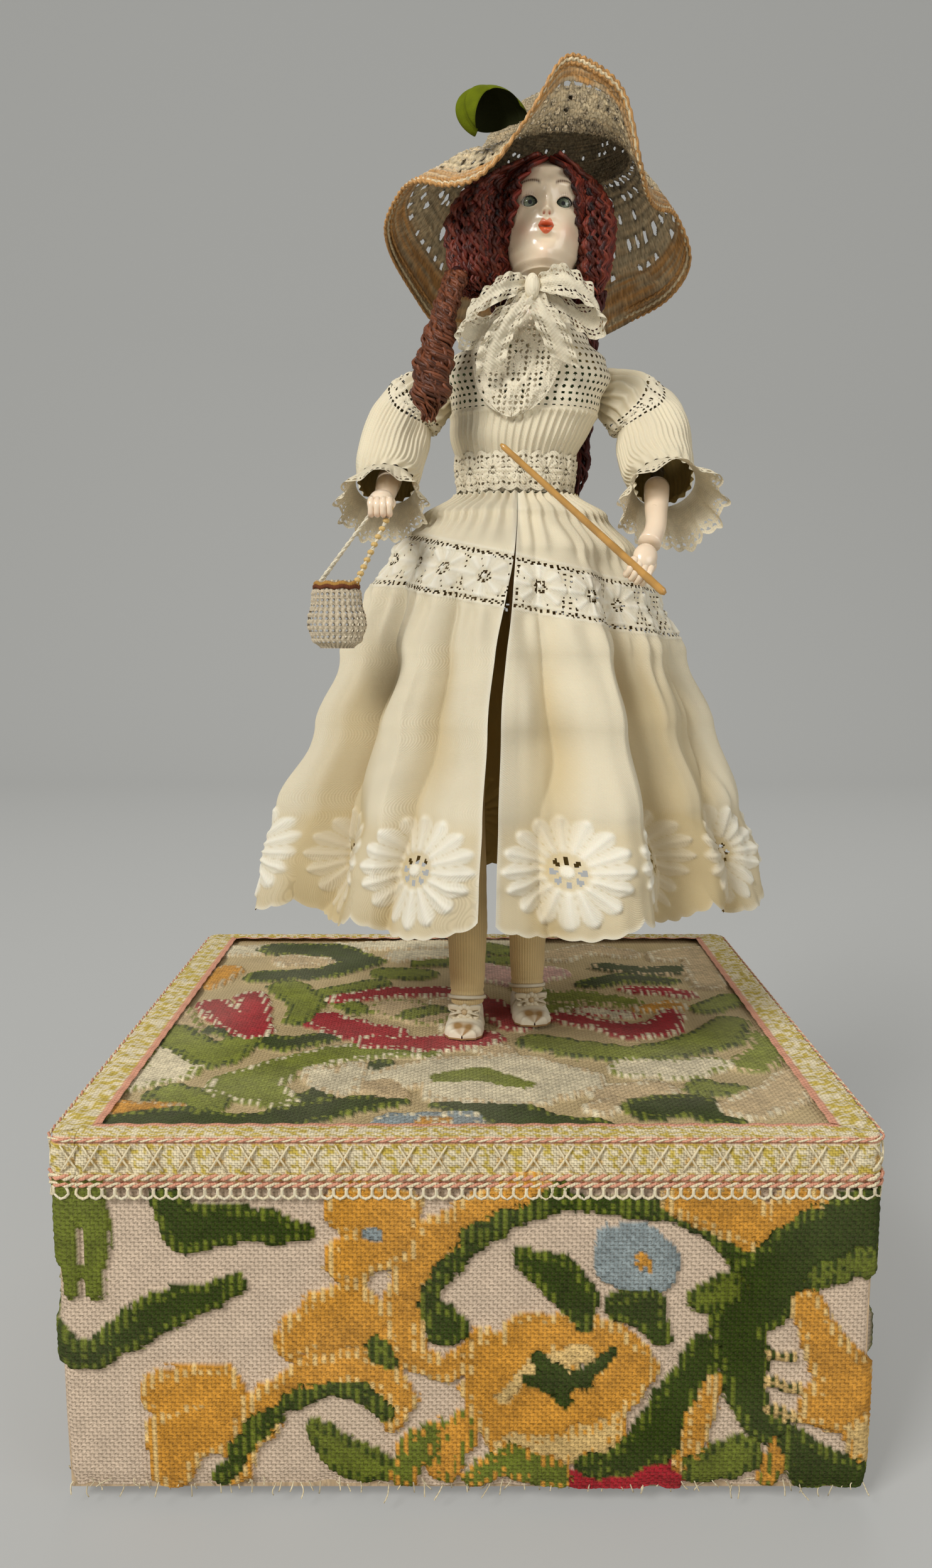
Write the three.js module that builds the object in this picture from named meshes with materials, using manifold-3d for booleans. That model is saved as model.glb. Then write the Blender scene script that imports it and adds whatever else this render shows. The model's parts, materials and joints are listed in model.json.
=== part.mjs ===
// Automaton doll on its music and mechanism box. Lengths in mm, +Z up, the doll looks along -Y.
// Its own right hand is on the -X side. The origin lies on the floor, under the middle of the whole.

import * as THREE from "three";
import { mergeVertices } from "three/addons/utils/BufferGeometryUtils.js";
import Module from "manifold-3d";

const wasm = await Module();
wasm.setup();

// General clearances and counts
const seatGap = 0.3;
const workGap = 0.6;
const cutOverrun = 4;
const weldDistance = 1e-4;
const roundSides = 12;
const rodSides = 10;
const fullTurn = 2 * Math.PI;

// Box
const boxWidth = 260;
const boxDepth = 240;
const boxHeight = 120;
const boardThickness = 8;
const coverThickness = 1.6;
const coverCornerRadius = 4;
const footHeight = 6;
const footRadius = 10;
const footWaistRadius = 7;
const footInset = 26;
const braidThickness = 1.5;
const braidDrop = 18;
const braidFrontLap = 9;
const braidSideLap = 14;

// Movement between its brass plates, arbors along Y
const plateWidth = 124;
const plateHeight = 84;
const plateThickness = 2.5;
const plateSpan = 67;
const plateBase = 18;
const plateFootHeight = 3.7;
const pillarRadius = 3.5;
const pillarInset = 7;
const arborRadius = 2;
const arborReach = 4;
const barrelX = -28;
const trainHeight = 48;
const barrelRadius = 23;
const barrelLength = 34;
const greatTeeth = 40;
const greatModule = 1.5;
const cylinderTeeth = 10;
const gearThickness = 3;
const greatPlane = 24;
const cylinderRadius = 12;
const cylinderLength = 40;
const trainTeeth = 30;
const trainModule = 1;
const trainPlane = -27;
const governorTeeth = 10;
const governorAngle = -60;
const flyWidth = 18;
const flyLength = 12;
const flyThickness = 1.2;
const combThickness = 2;
const combTeeth = 20;
const combToothLength = 12;
const combFootWidth = 14;
const combFootHeight = 5;
const camRadius = 11;
const camOffset = 2.5;
const camThickness = 4;
const swashRadius = 10;
const swashTilt = 14;
const swashPlane = 16;

// Winding
const keyShaftRadius = 3;
const keyReach = 35.5;
const keyBowLength = 30;
const keyBowHeight = 20;
const keyBowThickness = 3;
const keyBowHoleRadius = 5;
const ratchetTeeth = 16;
const ratchetRadius = 10;
const ratchetDepth = 2;
const ratchetThickness = 3;
const clickLength = 16;
const clickWidth = 4;
const clickPinRadius = 1.5;

// Stop lever in a slot of the back panel
const stopX = 45;
const stopHeight = 50;
const stopRadius = 2;
const stopInside = 20;
const stopOutside = 12;
const stopKnobRadius = 4;
const stopTravel = 8;

// Rods and levers that work the doll
const leverAxleX = 58;
const leverHeight = 66;
const leverThickness = 3;
const leverDepth = 5;
const leverEyeRadius = 5;
const rodRadius = 0.8;
const rodForward = 3.6;
const rodHalfSpread = 3;
const padWidth = 3;
const shaftRadius = 1.5;
const headCrankHeight = 80;
const headCrankThickness = 4;
const headCrankX = 8;
const headCrankY = 12;
const headPinLength = 14;

// Legs and shoes, heights above the box top
const rightLegX = 0.5;
const rightLegY = -15;
const leftLegX = 25;
const leftLegY = 0;
const ankleRadius = 6.6;
const calfRadius = 7.8;
const thighRadius = 9;
const legBoreRadius = 6;
const legWallAtAnkle = 1.2;
const standRodRadius = 3;
const hipHeight = 195;
const shoeLength = 31;
const shoeWidth = 15;
const shoeHeight = 11;
const shoeHeelShare = 0.36;
const rosetteRadius = 5.5;
const rosetteDepth = 3;
const toeTurn = 6;

// Torso and dress
const torsoX = 19;
const torsoY = -3;
const shoulderX = 22.5;
const shoulderY = 6;
const torsoGap = 0.5;
const clothThickness = 1.4;
const beltRise = 12;
const beltHeight = 14;
const bodiceRise = 26;
const collarRise = 15;
const hipSpread = 3;
const hipShift = 5;
const beltSpread = 1;
const chestDrop = 6;
const shoulderRise = 4;
const shoulderInset = 4;
const neckDrop = 4;
const neckSpread = 6;
const neckShift = 1;
const armShaftRadius = 2;
const armHoleRadius = 4;
const waistHalfWidth = 19.5;
const waistHalfDepth = 14;
const chestHalfWidth = 27;
const chestHalfDepth = 16.5;
const shoulderHalfWidth = 33;
const shoulderHalfDepth = 13;
const neckHalfWidth = 11;

// Skirt
const skirtDrop = 0.6;
const skirtHem = 48;
const skirtThickness = 1.6;
const skirtColumns = 56;
const skirtRows = 8;
const skirtFolds = 11;
const foldDepth = 4.5;
const slitWidth = 5;
const skirtWaistHalfWidth = 24;
const skirtWaistHalfDepth = 18;
const hemHalfWidth = 97;
const hemHalfDepth = 76;
const hemX = 17;

// Head
const neckRadius = 6.5;
const neckTopRadius = 4.8;
const neckLength = 19;
const headX = 28;
const headY = -5;
const headRise = 0.8;
const headHeight = 45;
const headHalfWidth = 17;
const headHalfDepth = 20;
const headTilt = 6;
const headBoreRadius = 3.8;
const headBoreDepth = 9;
const eyeRadius = 3.4;
const eyeSpread = 6.4;
const eyeHeight = 21;
const hairGap = 0.8;

// Hat
const hatThickness = 1.6;
const hatX = 33;
const hatY = 2;
const hatBandRise = 47.2;
const hatCrownHeight = 38;
const hatCrownRadius = 28;
const brimReach = 50;
const brimDrop = 50;
const brimWave = 1.5;
const hatColumns = 30;
const brimRows = 4;
const crownRows = 4;
const leafThickness = 1.4;

// Arms, stick and bag
const armLength = 50;
const shoulderReach = 36.5;
const shaftReach = 6;
const sleeveSides = 14;
const sleeveThickness = 1.4;
const sleeveRadius = 12.5;
const sleeveWave = 0.8;
const cuffWave = 1.2;
const forearmRadius = 4.6;
const wristRadius = 3.4;
const palmRadius = 4.2;
const wristBallRadius = 3.7;
const wireRadius = 2.2;
const stickRadius = 1.6;
const stickEndRadius = 2.2;
const handRadius = 6;
const bagHalfWidth = 10.5;
const bagHalfDepth = 7;
const bagHeight = 23;
const bagWall = 1.4;
const handleRadius = 1;
const handleSlack = 1;

const finishes = {
  wood: new THREE.MeshStandardMaterial({ color: 0x9a7448, roughness: 0.7, metalness: 0 }),
  velvet: new THREE.MeshStandardMaterial({ color: 0xb08a4a, roughness: 0.95, metalness: 0 }),
  fadedVelvet: new THREE.MeshStandardMaterial({ color: 0xc9b79a, roughness: 0.95, metalness: 0 }),
  braid: new THREE.MeshStandardMaterial({ color: 0xd8cfa6, roughness: 0.85, metalness: 0 }),
  darkFoot: new THREE.MeshStandardMaterial({ color: 0x261c18, roughness: 0.5, metalness: 0 }),
  brass: new THREE.MeshStandardMaterial({ color: 0xb8924a, roughness: 0.35, metalness: 1 }),
  steel: new THREE.MeshStandardMaterial({ color: 0x8d8f92, roughness: 0.35, metalness: 1 }),
  bisque: new THREE.MeshStandardMaterial({ color: 0xe3cdb6, roughness: 0.3, metalness: 0 }),
  glass: new THREE.MeshStandardMaterial({ color: 0x6f7a6c, roughness: 0.1, metalness: 0 }),
  hair: new THREE.MeshStandardMaterial({ color: 0x4a2320, roughness: 0.6, metalness: 0 }),
  straw: new THREE.MeshStandardMaterial({ color: 0xb58f5e, roughness: 0.8, metalness: 0 }),
  leafVelvet: new THREE.MeshStandardMaterial({ color: 0x4d5a2a, roughness: 0.9, metalness: 0 }),
  cotton: new THREE.MeshStandardMaterial({ color: 0xe6dcc3, roughness: 0.9, metalness: 0 }),
  lace: new THREE.MeshStandardMaterial({ color: 0xe6d2bd, roughness: 0.9, metalness: 0 }),
  stocking: new THREE.MeshStandardMaterial({ color: 0xdcc187, roughness: 0.9, metalness: 0 }),
  leather: new THREE.MeshStandardMaterial({ color: 0xdfcfae, roughness: 0.6, metalness: 0 }),
  cane: new THREE.MeshStandardMaterial({ color: 0xb87a35, roughness: 0.4, metalness: 0 }),
};

// Derived levels and places
const boxTop = footHeight + boxHeight;
const floorTop = footHeight + boardThickness;
const boardTop = boxTop - coverThickness - seatGap;
const innerTop = boardTop - boardThickness;
const woodHalfWidth = boxWidth / 2 - coverThickness - seatGap;
const woodHalfDepth = boxDepth / 2 - coverThickness - seatGap;
const frontMost = boxDepth / 2 + braidThickness;
const backMost = boxDepth / 2 + keyReach;
const plateFront = -plateSpan / 2 - plateThickness;
const plateBack = plateSpan / 2;
const arborHeight = floorTop + trainHeight;
const greatRadius = (greatTeeth * greatModule) / 2;
const cylinderX = barrelX + ((greatTeeth + cylinderTeeth) * greatModule) / 2;
const camX = cylinderX + trainTeeth * trainModule;
const governorDistance = ((trainTeeth + governorTeeth) * trainModule) / 2;
const governorTurn = THREE.MathUtils.degToRad(governorAngle);
const governorX = cylinderX + governorDistance * Math.cos(governorTurn);
const governorHeight = arborHeight + governorDistance * Math.sin(governorTurn);
const leverZ = floorTop + leverHeight;
const beltBase = hipHeight + beltRise;
const beltTop = beltBase + beltHeight;
const skirtTop = beltBase - skirtDrop;
const shoulderHeight = beltTop + bodiceRise;
const collarHeight = shoulderHeight + collarRise;
const nodHeight = collarHeight + neckLength;
const headBase = nodHeight + headRise;
const hatBandHeight = headBase + hatBandRise;
const hatCrownTop = hatBandHeight + hatCrownHeight;
const rodTop = boxTop + shoulderHeight;
const wireA = leftLegX - rodHalfSpread;
const wireB = leftLegX + rodHalfSpread;
const clickZ = arborHeight + ratchetRadius + clickWidth / 2 + workGap;
const clickPinX = barrelX + clickLength - clickWidth / 2;
const leverAY = -rodForward - padWidth - workGap / 2;
const leverBY = -rodForward + padWidth + workGap / 2;

// Shape helpers
function vector(x, y, z) {
  return new THREE.Vector3(x, y, z);
}

function block(width, depth, height, centreX, centreY, baseZ) {
  const geometry = new THREE.BoxGeometry(width, depth, height);
  return geometry.translate(centreX, centreY, baseZ + height / 2);
}

function uprightRod(radius, height, centreX, centreY, baseZ, sides = rodSides, topRadius = radius) {
  const geometry = new THREE.CylinderGeometry(topRadius, radius, height, sides);
  geometry.rotateX(Math.PI / 2);
  return geometry.translate(centreX, centreY, baseZ + height / 2);
}

function rodAlongY(radius, length, centreX, startY, centreZ, sides = rodSides) {
  const geometry = new THREE.CylinderGeometry(radius, radius, length, sides);
  return geometry.translate(centreX, startY + length / 2, centreZ);
}

function rodAlongX(radius, length, startX, centreY, centreZ, sides = rodSides) {
  const geometry = new THREE.CylinderGeometry(radius, radius, length, sides);
  geometry.rotateZ(Math.PI / 2);
  return geometry.translate(startX + length / 2, centreY, centreZ);
}

function rodBetween(start, end, radius, endRadius = radius, sides = rodSides) {
  const way = end.clone().sub(start);
  const geometry = new THREE.CylinderGeometry(endRadius, radius, way.length(), sides);
  const turn = new THREE.Quaternion().setFromUnitVectors(vector(0, 1, 0), way.clone().normalize());
  geometry.applyQuaternion(turn);
  const middle = start.clone().add(end).multiplyScalar(0.5);
  return geometry.translate(middle.x, middle.y, middle.z);
}

// A flat outline drawn in X and Z, as thick as given along Y, with its middle at centreY
function plateAlongY(shape, thickness, centreY) {
  const geometry = new THREE.ExtrudeGeometry(shape, { depth: thickness, bevelEnabled: false });
  geometry.rotateX(Math.PI / 2);
  return geometry.translate(0, centreY + thickness / 2, 0);
}

function buildGeometry(positions, indices) {
  const geometry = new THREE.BufferGeometry();
  geometry.setAttribute("position", new THREE.Float32BufferAttribute(positions, 3));
  geometry.setIndex(indices);
  return facingOut(geometry);
}

function signedVolume(geometry) {
  const index = geometry.index.array;
  const corner = (n) => new THREE.Vector3().fromBufferAttribute(geometry.attributes.position, n);
  let sum = 0;
  for (let i = 0; i < index.length; i += 3) {
    sum += corner(index[i]).dot(corner(index[i + 1]).cross(corner(index[i + 2])));
  }
  return sum / 6;
}

function facingOut(geometry) {
  if (signedVolume(geometry) < 0) {
    geometry.setIndex([...geometry.index.array].reverse());
  }
  return geometry;
}

// A closed solid through rings of points, with both ends capped
function loft(rings) {
  const count = rings[0].length;
  const positions = rings.flat().flatMap((point) => [point.x, point.y, point.z]);
  const indices = [];
  for (let row = 0; row + 1 < rings.length; row += 1) {
    for (let i = 0; i < count; i += 1) {
      const a = row * count + i;
      const b = row * count + ((i + 1) % count);
      indices.push(a, b, b + count, a, b + count, a + count);
    }
  }
  const capEnds = [0, rings.length - 1];
  for (const row of capEnds) {
    const middle = rings[row].reduce((sum, point) => sum.add(point), vector(0, 0, 0));
    middle.multiplyScalar(1 / count);
    const centre = positions.length / 3;
    positions.push(middle.x, middle.y, middle.z);
    for (let i = 0; i < count; i += 1) {
      const a = row * count + i;
      const b = row * count + ((i + 1) % count);
      indices.push(...(row === 0 ? [centre, b, a] : [centre, a, b]));
    }
  }
  return buildGeometry(positions, indices);
}

// A sheet with two faces and closed edges. side is 0 on the outer face and 1 on the inner one
function sheetShell(columns, rows, isRing, pointAt) {
  const across = isRing ? columns : columns + 1;
  const positions = [];
  for (const side of [0, 1]) {
    for (let row = 0; row <= rows; row += 1) {
      for (let column = 0; column < across; column += 1) {
        const point = pointAt(column / columns, row / rows, side);
        positions.push(point.x, point.y, point.z);
      }
    }
  }
  const at = (side, row, column) => (side * (rows + 1) + row) * across + (column % across);
  const indices = [];
  const quad = (a, b, c, d) => indices.push(a, b, c, a, c, d);
  for (let c = 0; c < columns; c += 1) {
    for (let r = 0; r < rows; r += 1) {
      quad(at(0, r, c), at(0, r, c + 1), at(0, r + 1, c + 1), at(0, r + 1, c));
      quad(at(1, r, c + 1), at(1, r, c), at(1, r + 1, c), at(1, r + 1, c + 1));
    }
    quad(at(0, 0, c + 1), at(0, 0, c), at(1, 0, c), at(1, 0, c + 1));
    quad(at(0, rows, c), at(0, rows, c + 1), at(1, rows, c + 1), at(1, rows, c));
  }
  if (!isRing) {
    for (let r = 0; r < rows; r += 1) {
      quad(at(0, r, 0), at(0, r + 1, 0), at(1, r + 1, 0), at(1, r, 0));
      quad(at(0, r + 1, columns), at(0, r, columns), at(1, r, columns), at(1, r + 1, columns));
    }
  }
  return buildGeometry(positions, indices);
}

function toSolid(geometry) {
  const bare = geometry.clone();
  bare.deleteAttribute("normal");
  bare.deleteAttribute("uv");
  const merged = mergeVertices(bare, weldDistance);
  const vertProperties = new Float32Array(merged.attributes.position.array);
  const triVerts = new Uint32Array(merged.index.array);
  return new wasm.Manifold(new wasm.Mesh({ numProp: 3, vertProperties, triVerts }));
}

function toGeometry(solid) {
  const mesh = solid.getMesh();
  const geometry = new THREE.BufferGeometry();
  geometry.setAttribute("position", new THREE.BufferAttribute(mesh.vertProperties, 3));
  geometry.setIndex(new THREE.BufferAttribute(mesh.triVerts, 1));
  return geometry;
}

function join(...geometries) {
  return toGeometry(geometries.map(toSolid).reduce((sum, solid) => sum.add(solid)));
}

function cut(base, ...tools) {
  return toGeometry(tools.map(toSolid).reduce((rest, tool) => rest.subtract(tool), toSolid(base)));
}

function ellipseRing(centreX, centreY, z, halfWidth, halfDepth, sides) {
  return Array.from({ length: sides }, (_, i) => {
    const turn = (i / sides) * fullTurn;
    return vector(centreX + halfWidth * Math.cos(turn), centreY + halfDepth * Math.sin(turn), z);
  });
}

// A ball stretched to three half sizes
function egg(centre, halfX, halfY, halfZ, sides = roundSides, rows = sides / 2) {
  const geometry = new THREE.SphereGeometry(1, sides, rows);
  geometry.scale(halfX, halfY, halfZ);
  return geometry.translate(centre.x, centre.y, centre.z);
}

// Smooth reading of a closed table of values at a share of the turn
function readRound(values, share) {
  const count = values.length;
  const place = (((share % 1) + 1) % 1) * count;
  const step = Math.floor(place);
  const value = (offset) => values[(step + offset + count) % count];
  return THREE.MathUtils.lerp(value(0), value(1), smoothShare(place - step));
}

function smoothShare(share) {
  return share * share * (3 - 2 * share);
}

// Straight reading of rows [height, ...values] at a height
function readRows(rows, height) {
  const last = rows.length - 1;
  let step = 0;
  while (step < last - 1 && height > rows[step + 1][0]) {
    step += 1;
  }
  const share = THREE.MathUtils.clamp((height - rows[step][0]) / (rows[step + 1][0] - rows[step][0]), 0, 1);
  return rows[step].map((value, i) => THREE.MathUtils.lerp(value, rows[step + 1][i], share));
}

const doll = new THREE.Group();
doll.name = "automaton_doll";
doll.position.y = (frontMost - backMost) / 2;

function addPiece(name, geometry, finish, parent = doll) {
  const mesh = new THREE.Mesh(geometry, finish);
  mesh.name = name;
  parent.add(mesh);
  return mesh;
}

// Box of six boards
function buildBox() {
  const wallHeight = innerTop - footHeight - seatGap;
  const wallBase = footHeight;
  const sideDepth = 2 * (woodHalfDepth - boardThickness - seatGap);
  const frontY = woodHalfDepth - boardThickness / 2;
  const sideX = woodHalfWidth - boardThickness / 2;
  const wall = (centreY) => block(2 * woodHalfWidth, boardThickness, wallHeight, 0, centreY, wallBase);
  addPiece("front_panel", wall(-frontY), finishes.wood);
  addPiece("back_panel", cut(wall(frontY), keyHole(frontY), stopSlot(frontY)), finishes.wood);
  for (const [name, side] of [["right_panel", -1], ["left_panel", 1]]) {
    const panel = block(boardThickness, sideDepth, wallHeight, side * sideX, 0, wallBase);
    addPiece(name, panel, finishes.wood);
  }
  const inner = 2 * (boardThickness + seatGap);
  const bottom = block(
    2 * woodHalfWidth - inner, 2 * woodHalfDepth - inner, boardThickness, 0, 0, footHeight,
  );
  addPiece("bottom_board", bottom, finishes.wood);
  const top = block(2 * woodHalfWidth, 2 * woodHalfDepth, boardThickness, 0, 0, innerTop);
  addPiece("top_board", cut(top, ...topHoles(innerTop)), finishes.wood);
}

function keyHole(centreY) {
  const length = boardThickness + 2 * cutOverrun;
  const radius = keyShaftRadius + 1.5 * arborRadius;
  return rodAlongY(radius, length, barrelX, centreY - length / 2, arborHeight);
}

function stopSlot(centreY) {
  const width = 2 * (stopRadius + workGap) + stopTravel;
  const height = 2 * (stopRadius + workGap);
  const depth = boardThickness + 2 * cutOverrun;
  const middle = stopX + stopTravel / 2;
  return block(width, depth, height, middle, centreY, floorTop + stopHeight - height / 2);
}

// Holes for the stand rod and for the working rods, through a board or a cover
function topHoles(baseZ) {
  const height = boardThickness + 2 * cutOverrun;
  const radii = [standRodRadius + seatGap, legBoreRadius];
  return radii.map((radius, i) => {
    const [x, y] = [[rightLegX, rightLegY], [leftLegX, leftLegY]][i];
    return uprightRod(radius, height, x, y, baseZ - cutOverrun, roundSides);
  });
}

function buildFeet() {
  const profile = [
    new THREE.Vector2(0, 0),
    new THREE.Vector2(footWaistRadius, 0),
    new THREE.Vector2(footRadius, footHeight / 2),
    new THREE.Vector2(footRadius, footHeight - seatGap),
    new THREE.Vector2(0, footHeight - seatGap),
  ];
  const places = [["front_right", -1, -1], ["front_left", 1, -1], ["back_right", -1, 1], ["back_left", 1, 1]];
  for (const [corner, sideX, sideY] of places) {
    const foot = new THREE.LatheGeometry(profile, roundSides);
    foot.rotateX(Math.PI / 2);
    foot.translate(sideX * (boxWidth / 2 - footInset), sideY * (boxDepth / 2 - footInset), 0);
    addPiece(`${corner}_foot`, foot, finishes.darkFoot);
  }
}

function roundedOutline(halfWidth, halfDepth, radius) {
  const shape = new THREE.Shape();
  const w = halfWidth - radius;
  const d = halfDepth - radius;
  shape.absarc(w, -d, radius, -Math.PI / 2, 0);
  shape.absarc(w, d, radius, 0, Math.PI / 2);
  shape.absarc(-w, d, radius, Math.PI / 2, Math.PI);
  shape.absarc(-w, -d, radius, Math.PI, 1.5 * Math.PI);
  return shape;
}

function extrudeUp(shape, height, baseZ, curveSegments = 3) {
  const geometry = new THREE.ExtrudeGeometry(shape, { depth: height, bevelEnabled: false, curveSegments });
  return geometry.translate(0, 0, baseZ);
}

function ringUp(outer, inner, height, baseZ) {
  const hollow = extrudeUp(inner, height + 2 * cutOverrun, baseZ - cutOverrun);
  return cut(extrudeUp(outer, height, baseZ), hollow);
}

// Side cover of floral pile cloth, top cover, and the braid folded over the upper edge
function buildCovers() {
  const halfWidth = boxWidth / 2;
  const halfDepth = boxDepth / 2;
  const inner = coverThickness;
  const outline = roundedOutline(halfWidth, halfDepth, coverCornerRadius);
  const hollow = roundedOutline(halfWidth - inner, halfDepth - inner, coverCornerRadius / 4);
  const sideHeight = boxHeight - coverThickness - seatGap;
  const side = ringUp(outline, hollow, sideHeight, footHeight);
  const backY = halfDepth - coverThickness / 2;
  addPiece("side_cover", cut(side, keyHole(backY), stopSlot(backY)), finishes.velvet);
  const top = extrudeUp(outline, coverThickness, boxTop - coverThickness);
  addPiece("top_cover", cut(top, ...topHoles(boxTop - coverThickness)), finishes.fadedVelvet);

  const outside = roundedOutline(
    halfWidth + braidThickness, halfDepth + braidThickness, coverCornerRadius + braidThickness,
  );
  const fullBand = extrudeUp(outside, braidDrop + braidThickness, boxTop - braidDrop);
  const around = roundedOutline(halfWidth + seatGap, halfDepth + seatGap, coverCornerRadius + seatGap);
  const underside = extrudeUp(around, braidDrop + seatGap + cutOverrun, boxTop - braidDrop - cutOverrun);
  const window = block(
    boxWidth - 2 * braidSideLap, boxDepth - 2 * braidFrontLap, 2 * cutOverrun, 0, 0, boxTop - cutOverrun / 2,
  );
  addPiece("edge_braid", cut(fullBand, underside, window), finishes.braid);
}

// Teeth of a spur wheel, slim enough that two wheels never touch
const toothTopShare = 0.8;
const toothRootShare = 1.15;
const toothPitchShares = [[-0.25, 0], [-0.1, 1], [0.1, 1], [0.25, 0]];

function gear(teeth, module, phase, thickness, centreX, centreZ, centreY) {
  const pitchRadius = (teeth * module) / 2;
  const radii = [pitchRadius - toothRootShare * module, pitchRadius + toothTopShare * module];
  const step = fullTurn / teeth;
  const points = [];
  for (let tooth = 0; tooth < teeth; tooth += 1) {
    for (const [share, level] of toothPitchShares) {
      const turn = phase + (tooth + share) * step;
      points.push(new THREE.Vector2(radii[level] * Math.cos(turn), radii[level] * Math.sin(turn)));
    }
  }
  const geometry = plateAlongY(new THREE.Shape(points), thickness, centreY);
  return geometry.translate(centreX, 0, centreZ);
}

// Phase that puts a gap of the driven wheel at the driving wheel's tooth
function drivenPhase(phase, teeth, drivenTeeth, direction) {
  const gap = direction + Math.PI - ((phase - direction) * teeth) / drivenTeeth;
  return gap + fullTurn / drivenTeeth / 2;
}

function buildMovementFrame() {
  const holes = (startY) => {
    const length = plateThickness + 2 * cutOverrun;
    const places = [
      [barrelX, arborHeight, keyShaftRadius + 2 * seatGap],
      [cylinderX, arborHeight, arborRadius + seatGap],
      [camX, arborHeight, arborRadius + seatGap],
      [governorX, governorHeight, arborRadius + seatGap],
      [leverAxleX, leverZ, arborRadius + seatGap],
    ];
    return places.map(([x, z, radius]) => rodAlongY(radius, length, x, startY - cutOverrun, z));
  };
  const plateAt = (startY) => {
    const width = plateWidth;
    const centreX = (barrelX + leverAxleX) / 2;
    return block(width, plateThickness, plateHeight, centreX, startY + plateThickness / 2, plateBase);
  };
  const footDepth = 5 * plateThickness;
  const footAt = (startY, side) => {
    const centreX = (barrelX + leverAxleX) / 2;
    const centreY = startY + plateThickness / 2 + (side * (footDepth - plateThickness)) / 2;
    return block(plateWidth, footDepth, plateFootHeight, centreX, centreY, floorTop + seatGap);
  };
  const front = join(plateAt(plateFront), footAt(plateFront, -1));
  addPiece("front_plate", cut(front, ...holes(plateFront)), finishes.brass);
  const pillars = [];
  const middleX = (barrelX + leverAxleX) / 2;
  for (const sideX of [-1, 1]) {
    for (const pillarZ of [plateBase + pillarInset, plateBase + plateHeight - pillarInset]) {
      const x = middleX + sideX * (plateWidth / 2 - pillarInset);
      pillars.push(rodAlongY(pillarRadius, plateSpan - seatGap, x, -plateSpan / 2 + seatGap, pillarZ));
    }
  }
  const backBlank = plateAt(plateBack);
  const grown = pillars.map((pillar) => pillar.scale(1, (plateSpan + plateThickness) / plateSpan, 1));
  const shifted = grown.map((pillar) => pillar.translate(0, plateThickness / 2, 0));
  const clickStud = rodAlongY(
    clickPinRadius, plateThickness + 1.5 * ratchetThickness, clickPinX, plateBack + plateThickness / 2, clickZ, 8,
  );
  const back = join(backBlank, footAt(plateBack, 1), ...shifted, clickStud);
  addPiece("back_plate", cut(back, ...holes(plateBack)), finishes.brass);
}

function buildBarrel() {
  const drum = rodAlongY(
    barrelRadius, barrelLength, barrelX, greatPlane - barrelLength, arborHeight, 2 * roundSides,
  );
  const wheel = gear(greatTeeth, greatModule, 0, gearThickness, barrelX, arborHeight, greatPlane);
  const bore = rodAlongY(
    keyShaftRadius + seatGap, plateSpan, barrelX, -plateSpan / 2, arborHeight,
  );
  addPiece("spring_barrel", cut(join(drum, wheel), bore), finishes.brass);
}

function buildCylinder() {
  const arborStart = plateFront - arborReach / 2;
  const arborLength = plateSpan + 2 * plateThickness + arborReach;
  const arbor = rodAlongY(arborRadius, arborLength, cylinderX, arborStart, arborHeight);
  const drum = rodAlongY(
    cylinderRadius, cylinderLength, cylinderX, -cylinderLength / 2, arborHeight, 2 * roundSides,
  );
  const phase = drivenPhase(0, greatTeeth, cylinderTeeth, 0);
  const pinion = gear(
    cylinderTeeth, greatModule, phase, 2 * gearThickness, cylinderX, arborHeight, greatPlane,
  );
  const wheel = gear(trainTeeth, trainModule, 0, gearThickness, cylinderX, arborHeight, trainPlane);
  addPiece("music_cylinder", join(arbor, drum, pinion, wheel), finishes.brass);

  const tipZ = arborHeight - cylinderRadius - workGap;
  const combBase = floorTop + seatGap;
  const combLength = cylinderLength - 2 * combThickness;
  const combShape = new THREE.Shape();
  const slotStep = combLength / combTeeth;
  combShape.moveTo(-combLength / 2, combBase);
  combShape.lineTo(combLength / 2, combBase);
  for (let tooth = combTeeth; tooth > 0; tooth -= 1) {
    const end = -combLength / 2 + tooth * slotStep;
    const start = end - slotStep * 0.7;
    combShape.lineTo(end, tipZ);
    combShape.lineTo(start, tipZ);
    if (tooth > 1) {
      combShape.lineTo(start, tipZ - combToothLength);
      combShape.lineTo(end - slotStep, tipZ - combToothLength);
    }
  }
  const combBlade = new THREE.ExtrudeGeometry(combShape, { depth: combThickness, bevelEnabled: false });
  combBlade.rotateX(Math.PI / 2);
  combBlade.rotateZ(Math.PI / 2);
  combBlade.translate(cylinderX - combThickness / 2, 0, 0);
  const foot = block(combFootWidth, combLength, combFootHeight, cylinderX, 0, combBase);
  addPiece("steel_comb", join(combBlade, foot), finishes.steel);
}

function buildCamShaft() {
  const arborStart = plateFront - arborReach / 2;
  const arborLength = plateSpan + 2 * plateThickness + arborReach;
  const arbor = rodAlongY(arborRadius, arborLength, camX, arborStart, arborHeight);
  const phase = drivenPhase(0, trainTeeth, trainTeeth, 0);
  const wheel = gear(trainTeeth, trainModule, phase, gearThickness, camX, arborHeight, trainPlane);
  const camAt = (centreY, offsetX) =>
    rodAlongY(camRadius, camThickness, camX + offsetX, centreY - camThickness / 2, arborHeight, roundSides);
  const swash = rodAlongY(swashRadius, camThickness / 2, 0, -camThickness / 4, 0, roundSides);
  swash.rotateX(THREE.MathUtils.degToRad(swashTilt));
  swash.translate(camX, swashPlane, arborHeight);
  const cams = [camAt(leverAY, -camOffset), camAt(leverBY, camOffset)];
  addPiece("cam_shaft", join(arbor, wheel, ...cams, swash), finishes.brass);
}

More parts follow.
